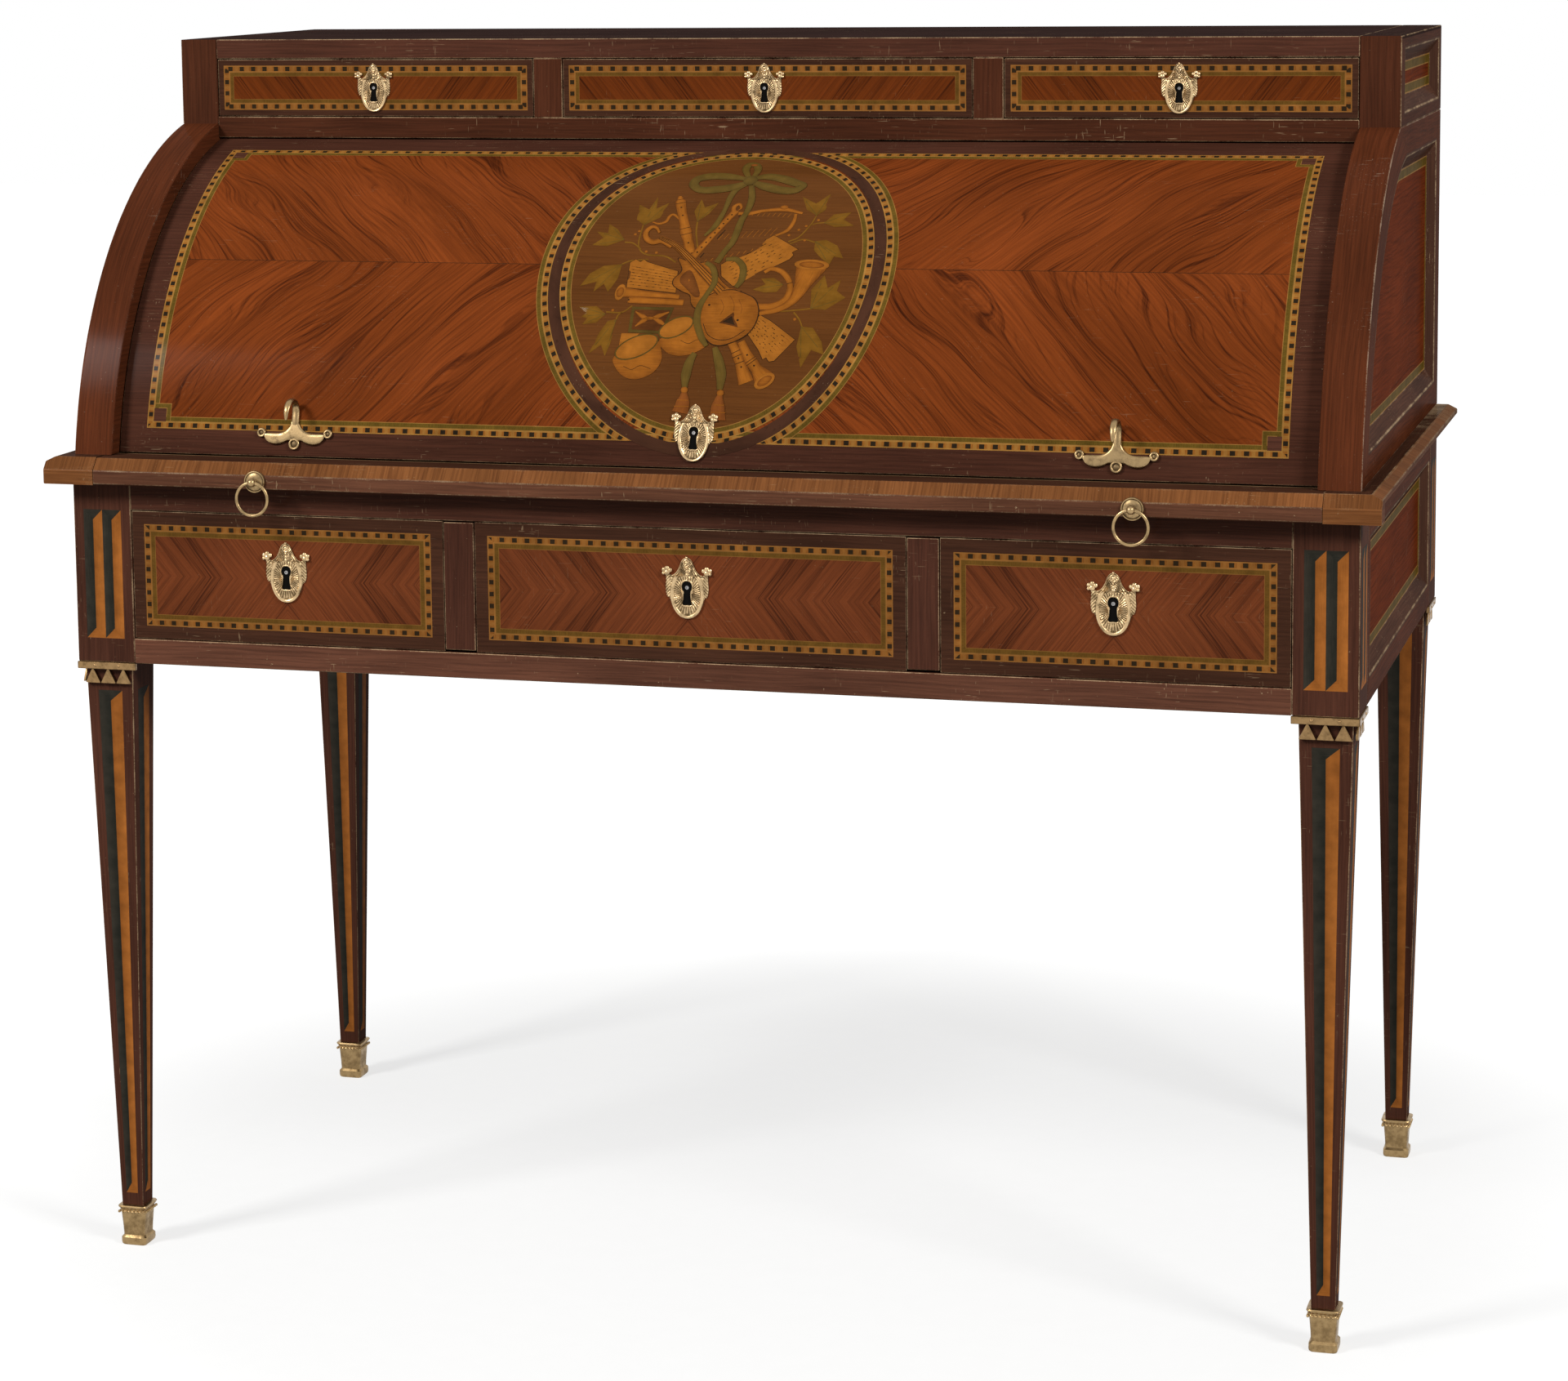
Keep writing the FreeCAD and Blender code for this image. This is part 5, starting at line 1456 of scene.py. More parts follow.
@dataclass
class Moulding:
    """Side moulding at writing height: a coved run, and a whole chamfered block at the front corner."""

    side: int
    base: float = CASE_SIDE
    inner: float = 570.0
    reach: float = 20.0
    nose: float = NOSE_FRONT
    step: float = -294.0
    back: float = CASE_BACK
    chamfer_foot: float = 758.5
    chamfer_slope: float = 0.84
    chamfer_rows: tuple[int, int] = (12, 16)
    worn_edge: float = 1.6
    worn_rim: float = 1.8
    upper: Sequence[Vec3] = ((20.0, 762.4, 0.0), (20.0, 764.6, 0.0), (20.0, 765.2, 0.9), (19.2, 766.0, 0.9),
                             (17.8, 766.7, 0.0), (12.8, 769.2, 0.0), (11.4, 769.8, 0.9), (10.4, 770.0, 0.9),
                             (8.0, 770.0, 0.0), (-30.0, 770.0, 0.0))
    cove: Sequence[Vec3] = ((-30.0, 745.0, 0.0), (3.2, 745.0, 0.2), (4.2, 745.4, 0.6), (5.2, 748.6, 0.0),
                            (7.6, 752.6, 0.0), (11.0, 756.4, 0.0), (15.2, 759.4, 0.0), (19.0, 760.9, 0.4),
                            (20.0, 761.4, 0.9))
    block: Sequence[Vec3] = ((-30.0, 745.0, 0.0), (17.0, 745.0, 0.0), (18.9, 745.0, 0.9), (19.8, 745.4, 0.9),
                             (20.0, 746.4, 0.9), (20.0, 748.0, 0.0), (20.0, 756.8, 0.0), (20.0, 758.1, 0.5),
                             (20.0, 758.9, 0.5))

    def front(self, z: Array) -> Array:
        """Front end at a height: upright, then sloped back by the chamfer."""
        return self.nose + self.chamfer_slope * np.maximum(0.0, z - self.chamfer_foot)

    def build(self) -> None:
        """Carry the coved section along the side, the whole one along the block, and close the ends."""
        hand = "left" if self.side < 0 else "right"
        piece = look(f"moulding_{hand}", "root", Slot.KINGWOOD)
        for lower, is_block in ((self.cove, False), (self.block, True)):
            section = np.array([*lower, *self.upper])
            z = section[:, 1]
            start = self.front(z) if is_block else np.full_like(z, self.step)
            stop = np.full_like(z, self.step if is_block else self.back)
            self.run(piece, section, start, stop, 0.9 if is_block else 0.0)
            self.cap(piece, section, start if is_block else stop, is_block)
        rim = np.array(self.cove)[2:]
        arc = np.stack([self.base + rim[:, 0], np.full(len(rim), self.step), rim[:, 1]], -1)
        corner = np.broadcast_to(np.array([self.base + self.reach, self.step, APRON_TOP]), arc.shape)
        web = np.stack([corner, arc], 1)
        self.lay(piece, web, NOSE_WOOD, web[..., [0, 2]], 0.0)
        piece.build()

    def run(self, piece: Piece, section: Array, start: Array, stop: Array, front_wear: float) -> None:
        """Carry a section from its start to its stop: brown below, orange on the chamfer, dark on top.

        Args:
            piece: the moulding's piece.
            section: out, height and wear of its points.
            start: front place of each point.
            stop: back place of each point.
            front_wear: wear of the front edge.
        """
        out, z, wear = section.T
        y = np.stack([start, start + self.worn_edge, stop], 1)
        grid = np.stack(np.broadcast_arrays(self.base + out[:, None], y, z[:, None]), -1)
        girth = np.repeat(lengths(section[:, :2])[:, None], 3, 1)
        worn = np.maximum(wear[:, None], np.array([front_wear, 0.0, 0.0]))
        for rows, finish in veneers(*self.chamfer_rows):
            lie = (girth, y) if finish is CROSSBAND else (y, girth)
            self.lay(piece, grid[rows], finish, np.stack(lie, -1)[rows], worn[rows])

    def cap(self, piece: Piece, section: Array, y: Array, front: bool) -> None:
        """Close one end between the section and the inner line.

        Args:
            piece: the moulding's piece.
            section: out, height and wear of its points.
            y: place of each point along the side.
            front: the end looks forwards.
        """
        out, z, _ = section.T
        rim = self.base + out
        x = np.stack([np.full_like(out, self.inner), np.maximum(self.inner, rim - self.worn_rim), rim], 1)
        grid = np.stack(np.broadcast_arrays(x, y[:, None], z[:, None]), -1)
        level = np.where(np.abs(z - self.chamfer_foot) < 0.6, 0.6, 0.0) + np.where(z > WRITING_LEVEL - 0.4, 0.9, 0.0)
        worn = np.maximum(level[:, None], np.array([0.7, 0.0, 0.9]))
        middle = len(self.cove) - 1
        for rows, lie in ((slice(0, middle + 1), [0, 2]), (slice(middle, None), [2, 0])):
            part = grid[rows][::-1] if front else grid[rows]
            shade = worn[rows][::-1] if front else worn[rows]
            self.lay(piece, part, CROSSBAND, part[..., lie], shade)

    def lay(self, piece: Piece, points: Array, finish: Finish, uv: Array, wear: Array | float) -> None:
        """Add a grid on its own side, turned over on the right so that it faces outwards."""
        points = points * np.array([self.side, 1.0, 1.0])
        wear = np.broadcast_to(np.asarray(wear, float), points.shape[:2])
        if self.side > 0:
            points, uv, wear = points[::-1], uv[::-1], wear[::-1]
        piece.add(points, finish, uv, wear)


@dataclass
class Case:
    """Fixed case: rails, stiles, backs, cheeks, raised drawer case and top."""

    rails: Sequence[tuple[str, Wood, Vec2]] = (
        ("bottom_rail", RAIL_WOOD, (0.0, -2.5)), ("top_rail", AMARANTH, (1.5, 0.0)),
        ("gradin_rail", GRADIN_WOOD, (0.0, 0.0)), ("upper_back", BACK_OAK, (0.0, 0.0)),
        ("apron_back", BACK_OAK, (0.0, 0.0)))
    stile_x: Vec2 = (202.5, 231.5)
    apron_y: Vec2 = (-236.0, 268.0)
    apron_thickness: float = 22.0
    apron_panel: tuple[float, float, float, float] = (12.0, 12.0, 24.0, 24.0)
    cheek_y: Vec2 = (-288.0, CASE_BACK)
    cheek_thickness: float = 38.0
    cheek_panel: tuple[float, float, float, float] = (38.0, 36.0, 27.0, 29.0)
    cheek_arc: float = 361.0
    gradin_y: Vec2 = (-19.65, CASE_BACK)
    gradin_panel: tuple[float, float, float, float] = (26.0, 21.0, 12.0, 12.0)
    rail_gap: float = 1.5
    drum: Drum = Drum()

    def hollow(self, points: Array) -> Array:
        """Lift the raised case's rail off the turning cylinder, most below and not at all on top."""
        low, high = (box[2] for box in node_box("gradin_rail"))
        reach = self.drum.radius + self.rail_gap
        lift = self.drum.axis_z + np.sqrt(reach**2 - (points[..., 1] - self.drum.axis_y) ** 2) - low
        z = points[..., 2] + np.maximum(lift, 0.0) * (high - points[..., 2]) / (high - low)
        return np.concatenate([points[..., :2], z[..., None]], -1)

    def build(self) -> None:
        """Build every board of the case."""
        for seed, (node, wood, trim) in enumerate(self.rails):
            piece = look(node, "root", Slot.AMARANTH)
            low, high = node_box(node)
            low[2], high[2] = low[2] + trim[0], high[2] + trim[1]
            shape = self.hollow if node == "gradin_rail" else None
            Board(low, high, wood, cells=(1, 6, 1)).add_to(piece, shape, seed)
            piece.build()
        self.pairs("drawer_stiles", AMARANTH)
        self.pairs("gradin_dividers", GRADIN_WOOD)
        piece = look("top_board", "root", Slot.AMARANTH)
        # The top board's faces other than its front take the darker top copy, which paints shade on them.
        Board(*node_box("top_board"), TOP_SHADED_AMARANTH, 0, 1.2, 2.0, (6, 3, 1), {(1, -1): AMARANTH}).add_to(piece, None, 7)
        piece.build()
        self.sides()

    def pairs(self, node: str, wood: Wood) -> None:
        """Build the left and the right upright of one node."""
        piece = look(node, "root", Slot.AMARANTH)
        low, high = node_box(node)
        for side in (-1, 1):
            xs = sorted((side * self.stile_x[0], side * self.stile_x[1]))
            Board((xs[0], low[1], low[2]), (xs[1], high[1], high[2]), wood, 2).add_to(piece, None, 11 + side)
        piece.build()

    def sides(self) -> None:
        """Build apron sides, cheeks and the raised case's sides."""
        gradin = look("gradin_sides", "root", Slot.AMARANTH)
        for side, hand in ((-1, "left"), (1, "right")):
            SideBoard(f"apron_side_{hand}", side, self.apron_y, (LEG_TOP, APRON_TOP), self.apron_thickness,
                      self.apron_panel, CHEEK_WOOD).build()
            SideBoard(f"cheek_{hand}", side, self.cheek_y, (WRITING_LEVEL, CHEEK_TOP), self.cheek_thickness,
                      self.cheek_panel, CHEEK_WOOD, self.cheek_arc).build()
            # The raised case's upper edges take the darker top copy: painted shade.
            SideBoard("gradin_sides", side, self.gradin_y, (CHEEK_TOP, DESK_TOP), self.cheek_thickness,
                      self.gradin_panel, GRADIN_WOOD, head_wood=TOP_SHADED_AMARANTH).build(gradin)
        gradin.build()


# ---------------------------------------------------------------- brass mounts
@dataclass
class KeyholePlate:
    """Shield-shaped gilt plate: fluted oval round the keyhole, ribbed cap, finial, knotted ears and nails."""

    outline: Sequence[Vec2] = (
        (0, -28.0), (6, -26.6), (11, -22.2), (14.6, -15.6), (16.4, -9.6), (18.6, -8.2), (20.0, -2.0), (19.6, 6.0),
        (19.4, 10.8), (16.6, 11.4), (13.4, 11.2), (10.4, 13.2), (8.2, 16.2), (6.6, 19.6), (5.4, 22.8), (3.9, 25.4),
        (1.8, 26.9), (0, 27.2))
    keyhole: Sequence[Vec2] = ((0, 5.7), (3.1, 4.8), (4.6, 1.9), (4.3, -1.3), (3.2, -3.6), (3.1, -6.2), (3.5, -10.2),
                               (4.2, -15.3), (0, -15.8))
    middle: Vec2 = (0.0, -4.0)
    oval: tuple[float, float, float] = (-6.0, 12.6, 19.6)
    pin: Sequence[Vec2] = ((0, 0.8), (0.7, 0.8), (0.9, 1.5), (1.7, 1.5), (1.9, 1.2), (1.9, 0.4))
    boss: Vec3 = (0.0, 22.4, 1.7)
    boss_radii: Vec2 = (2.6, 3.0)
    beads: Sequence[tuple[float, float, float, float]] = (
        (0, 27.2, 1.2, 0.1), (0, 22.4, 1.6, 0.0), (0, 17.6, 1.2, 0.1), (0, 14.6, 1.4, 0.1), (0, 11.4, 1.6, 0.2),
        (0, -24.4, 0.9, 1.0), (14.6, 8.0, 1.4, 0.2), (-14.6, 8.0, 1.4, 0.2))
    knot: Sequence[Vec3] = ((18.6, 13.4, 2.7), (15.7, 15.6, 2.1), (18.5, 17.2, 2.2), (21.4, 15.8, 2.2),
                            (21.8, 12.8, 1.8))
    hole_lift: float = 0.45
    lip: Vec2 = (0.8, 0.9)
    roll: Vec2 = (1.12, 0.14)
    cap: Vec2 = (13.5, 9.5)
    rib_pitch: float = 2.1
    ear_foot: float = -12.0
    ear_pitch: float = 3.0
    flutes: int = 40
    around: int = 240
    rows: int = 34

    def reach(self, half: Sequence[Vec2]) -> Array:
        """Distance of an outline from the plate's middle at even angles.

        Args:
            half: right half of the outline, from one end of the plate to the other.

        Returns:
            One distance for each angle round the plate.
        """
        right = np.array(half, float)
        if right[0, 1] > right[-1, 1]:
            right = right[::-1]
        left = right[-2:0:-1] * np.array([-1.0, 1.0])
        rim = curve(np.concatenate([right, left]), 480, closed=True) - np.array(self.middle)
        angle = np.arctan2(rim[:, 1], rim[:, 0])
        order = np.argsort(angle)
        return np.interp(turns(self.around), angle[order], np.hypot(*rim[order].T), period=2 * np.pi)

    def build(self, piece: Piece, seat: Shifted) -> None:
        """Add the plate and all that stands on it.

        Args:
            piece: piece that takes the plate.
            seat: ground centred on the keyhole's eye.
        """
        turn = turns(self.around)
        ray = np.stack([np.cos(turn), np.sin(turn)], -1)
        near, far = self.reach(self.keyhole), self.reach(self.outline)
        share = np.concatenate([[0.0], np.linspace(0.0, 1.0, self.rows), [1.0]])
        reach = near + share[:, None] * (far - near)
        flat = np.array(self.middle) + reach[..., None] * ray[None]
        lift, worn = self.relief(flat, reach - near, far - reach)
        lift[0], lift[-1] = self.hole_lift, 0.0
        piece.add(seat.place(flat, lift), GILT, None, worn, True)
        # A near-black fan fills the keyhole's opening: painted shadow of the hole's depth.
        hole = np.array(self.middle) + np.array([0.0, 1.0])[:, None, None] * near[None, :, None] * ray[None]
        piece.add(seat.place(hole, np.full(hole.shape[:2], self.hole_lift)), KEYHOLE_SHADOW, None, 0.3, True)
        seat.mount(piece, lathe(self.pin, 16), STEEL, 0.2)
        self.trim(piece, seat)

    def bulge(self, distance: Array, middle: float, half: float) -> Array:
        """Half circle of height 1 over a distance, round its middle."""
        return np.sqrt(np.maximum(0.0, 1 - ((distance - middle) / half) ** 2))

    def relief(self, flat: Array, inner: Array, outer: Array) -> tuple[Array, Array]:
        """Height of the plate and the grime in its hollows.

        The keyhole has a raised lip. Round it run flutes, a cosine of the angle, out to an oval roll whose
        section is half a circle. Above the oval, ribs follow the cap's edge; on the ears they lie aslant.

        Args:
            flat: places on the plate.
            inner: distance of each from the keyhole.
            outer: distance of each from the plate's edge.

        Returns:
            The height in millimetres and the grime from 0 to 1.
        """
        x, y = flat[..., 0], flat[..., 1]
        low, half, tall = self.oval
        ring = np.hypot(x / half, (y - low) / tall)
        lip = self.bulge(inner, *self.lip)
        roll = self.bulge(ring, *self.roll) * (y < self.cap[1] + 1.5)
        wave = np.cos(self.flutes * np.arctan2(y - low, x))
        fluted = (ring < 0.97) & (inner > sum(self.lip)) & (y < self.cap[1])
        cap = (y > self.cap[1]) & (np.abs(x) < self.cap[0]) & (ring > 0.9)
        ribs = np.cos(2 * np.pi * outer / self.rib_pitch)
        ears = (ring > 1.27) & (y > self.ear_foot) & ~cap
        slant = np.cos(2 * np.pi * (np.abs(x) + y) / self.ear_pitch)
        edge = np.clip(outer / 0.8, 0.0, 1.0)
        lift = 0.5 + 0.5 * edge + 1.1 * lip + 1.3 * roll
        lift += np.where(fluted, 0.35 + 0.32 * wave, 0.0) + np.where(cap, 0.6 + 0.4 * ribs, 0.0)
        lift += np.where(ears, 0.35 + 0.28 * slant, 0.0)
        worn = np.where(fluted, 0.5 - 0.5 * wave, 0.55) * (1 - lip) * (1 - roll)
        worn = np.where(cap, 0.5 - 0.5 * ribs, np.where(ears, 0.5 - 0.5 * slant, worn))
        return lift, np.clip(worn, 0.0, 1.0)

    def trim(self, piece: Piece, seat: Shifted) -> None:
        """Add the finial's boss, the beads below it, the knots on the ears and the nails.

        Args:
            piece: piece that takes them.
            seat: ground centred on the keyhole's eye.
        """
        seat.mount(piece, tube(hoop(self.boss, self.boss_radii, 24), 0.7, OUT, 8), GILT, 0.1)
        for across, up, radius, worn in self.beads:
            seat.mount(piece, ball((across, up, 1.4), (radius, 1.2 * radius, 1.2), 6, 10), GILT, worn)
        for side in (-1, 1):
            for across, up, radius in self.knot:
                seat.mount(piece, ball((side * across, up, 1.3), (radius, radius, 1.7), 6, 10), GILT, 0.15)


@dataclass
class HookHandle:
    """Brass hook: winged flat plate with three eyelets and a band that bends out and down to a point."""

    eyelets: Sequence[Vec3] = ((-33.0, 0.0, 3.2), (33.0, 0.0, 3.2), (0.0, -10.0, 4.3))
    belly: Vec3 = (19.0, 11.0, 11.5)
    wing: Vec2 = (3.4, 30.4)
    waist: float = 3.0
    droop_from: float = 26.0
    arch: Vec2 = (12.0, 3.6)
    arch_top: float = -7.4
    flare: float = 14.0
    stem: Vec2 = (3.2, 14.0)
    bend: float = 11.5
    bend_rise: float = 18.7
    stand: float = 1.8

    def build(self, piece: Piece, seat: Shifted) -> None:
        """Add the plate, the eyelets and the hook.

        Args:
            piece: piece that takes the handle.
            seat: ground centred between the upper eyelets.
        """
        for across, up, radius in self.eyelets:
            rim = hoop((across, up, 1.5), (radius, radius), 24)
            seat.mount(piece, tube(rim, 1.2, OUT, 10), HOOK_GILT, 0.2)
            inside = radius - 0.8
            seat.mount(piece, ball((across, up, 0.5), (inside, inside, 1.3), 6, 10), HOOK_GILT, 1.0)
        self.plate(piece, seat)
        self.band(piece, seat)

    def plate(self, piece: Piece, seat: Shifted) -> None:
        """Add the plate: level above, full below each wing, hollow up to the stem, flat with a rounded rim.

        Args:
            piece: piece that takes the plate.
            seat: ground of the handle.
        """
        x_low, depth, half = self.belly
        right = np.linspace(*self.wing, 37)
        x = np.concatenate([-right[::-1], np.linspace(-self.waist, self.waist, 7), right])
        reach = np.abs(x)
        x_flare = self.stem[0] + self.flare
        hollow = self.stem[1] - np.sqrt(np.maximum(0.0, self.flare**2 - (reach - x_flare) ** 2))
        top = np.where(reach < x_flare, np.minimum(hollow, self.stem[1]), 0.0)
        top -= 0.05 * np.maximum(0.0, reach - self.droop_from) ** 2
        outside = -depth * np.sqrt(np.maximum(0.0, 1 - ((reach - x_low) / half) ** 2))
        inside = -depth + self.arch[1] * ((x_low - reach) / self.arch[0]) ** 2
        low = np.where(reach > x_low, outside, np.minimum(inside, self.arch_top))
        low = np.minimum(low, top)
        v = np.sin(np.linspace(-np.pi / 2, np.pi / 2, 11))
        up = (top + low) / 2 + (top - low) / 2 * v[:, None]
        thick = np.interp(top - low, (0.0, 4.0), (1.0, 2.6))
        lift = thick * (1 - 0.55 * np.abs(v[:, None]) ** 8)
        points = np.stack([np.broadcast_to(x, up.shape), up, lift], -1)
        skirt = np.concatenate([points[:1] * [1, 1, 0], points, points[-1:] * [1, 1, 0]])
        piece.add(seat.form(skirt.transpose(1, 0, 2)), HOOK_GILT, None, 0.15)

    def band(self, piece: Piece, seat: Shifted) -> None:
        """Add the hook: a strap up the stem, over a half circle, and down to a point.

        Args:
            piece: piece that takes the hook.
            seat: ground of the handle.
        """
        turn = np.linspace(0, np.pi, 19)
        rise, bend = self.bend_rise, self.bend
        up = np.concatenate([[8.0, 12.0, 16.0], rise + bend * np.sin(turn), rise - np.array([2.5, 4.5, 6.0, 6.9])])
        point = self.stand + 2 * bend - np.array([0.1, 0.3, 0.5, 0.6])
        out = np.concatenate([[1.0, 1.6, 1.7], self.stand + bend - bend * np.cos(turn), point])
        path = np.stack([np.zeros_like(up), up, out], -1)
        radius = np.interp(np.arange(len(up)), (0, 3, 12, 18, 21, 24, 25), (3.8, 3.7, 3.5, 3.0, 2.4, 1.2, 0.0))
        seat.mount(piece, tube(path, radius, ACROSS, 14, 0.5), HOOK_GILT, 0.1)


@dataclass
class RingPulls:
    """Two hanging ring pulls on the slide: domed rosette, ball and ring."""

    spread: float = 407.0
    height: float = 753.0
    nose: float = NOSE_FRONT
    eye: float = 8.0
    ring_radius: float = 15.2
    wire: float = 1.6
    rosette: Sequence[Vec2] = ((0.0, 6.0), (2.6, 6.0), (3.3, 4.6), (3.0, 3.2), (5.2, 2.9), (7.4, 2.2), (8.4, 1.5),
                               (9.1, 2.1), (9.9, 1.9), (10.3, 0.9), (10.3, 0.0), (0.0, 0.0))
    rosette_wear: Sequence[float] = (0, 0, 0.6, 1, 0.3, 0.2, 0.9, 0.1, 0, 0.3, 0.5, 0.5)
    ball_radius: float = 4.0

    def build(self) -> None:
        """Build both rosettes in one piece and each ring on its own body."""
        roses = look("ring_rosettes", "slide", Slot.BRASS)
        for side, hand in ((-1, "left"), (1, "right")):
            seat = Shifted(Plane((side * self.spread, self.nose, self.height), ACROSS), (0.0, 0.0))
            seat.mount(roses, lathe(self.rosette, 48), HOOK_GILT, np.array(self.rosette_wear)[:, None])
            seat.mount(roses, ball((0.0, 0.0, self.eye), self.ball_radius, 9, 16), HOOK_GILT, 0.1)
            ring = look(f"ring_{hand}", f"ring_{hand}", Slot.BRASS)
            loop = hoop((0.0, -self.ring_radius, self.eye), (self.ring_radius, self.ring_radius), 60)
            seat.mount(ring, tube(loop, self.wire, OUT, 12), HOOK_GILT, 0.1)
            ring.build()
        roses.build()


# ---------------------------------------------------------------- drawers and cylinder
@dataclass
class Drawer:
    """Drawer front with crossbanding, check strip, olive band and mirrored leaves, and its lock."""

    name: str
    seed: int
    plate_scale: float
    quartered: bool
    leaf: Wood
    margin: float
    check: float = 6.4
    olive: float = 4.8
    pitch: Vec2 = (12.1, 11.0)
    lean: float = 50.0
    key_rise: float = 0.0
    lock_half: float = 28.0
    lock_depth: float = 10.8
    lock_height: float = 36.0
    grow: Vec2 = (0.0, 0.0)

    def build(self) -> None:
        """Build the front and the lock with its plate."""
        front = look(f"{self.name}_front", self.name, Slot.KINGWOOD)
        low, high = node_box(f"{self.name}_front")
        self.lock(low, high)
        low[2], high[2] = low[2] - self.grow[0], high[2] + self.grow[1]
        Board(low, high, DRAWER_WOOD, 0, 0.8, 1.2).add_to(front, None, self.seed)
        self.inlay(Inlay(front, Plane((0.0, low[1], 0.0), ACROSS)), low[[0, 2]], high[[0, 2]])
        front.build()

    def inlay(self, inlay: Inlay, low: Array, high: Array) -> None:
        """Lay border and leaves on the front.

        Args:
            inlay: hand for the front's face.
            low: lower left corner of the face.
            high: upper right corner of the face.
        """
        outer = self.margin
        inlay.frame(tuple(low + outer), tuple(high - outer), self.check, AGED_CHECK, 1, self.pitch)
        outer += self.check
        inlay.frame(tuple(low + outer), tuple(high - outer), self.olive, AGED_OLIVE, 1)
        outer += self.olive
        inside_low, inside_high = low + outer, high - outer
        middle = (inside_low + inside_high) / 2
        columns = ((inside_low[0], middle[0], -1), (middle[0], inside_high[0], 1))
        rows = ((inside_low[1], middle[1], -1), (middle[1], inside_high[1], 1))
        if not self.quartered:
            rows = ((inside_low[1], inside_high[1], 1),)
        for left, right, across in columns:
            for bottom, top, up in rows:
                inlay.leaf((left, bottom), (right, top), self.leaf, 1, self.lean, (across, up))

    def lock(self, low: Array, high: Array) -> None:
        """Build the keyhole plate on the front and the lock case let into its back.

        Args:
            low: lowest corner of the front.
            high: highest corner of the front.
        """
        piece = look(f"{self.name}_lock", self.name, Slot.BRASS)
        middle = (low[0] + high[0]) / 2
        eye = (low[2] + high[2]) / 2 + self.key_rise
        inside = (middle - self.lock_half, high[1] - self.lock_depth, high[2] - self.lock_height)
        Board(inside, (middle + self.lock_half, high[1] + 0.2, high[2] - 0.1), BRASS, 0, 0.5, 0.6).add_to(piece)
        seat = Shifted(Plane((0.0, low[1], 0.0), ACROSS), (middle, eye), self.plate_scale)
        KeyholePlate().build(piece, seat)
        piece.build()


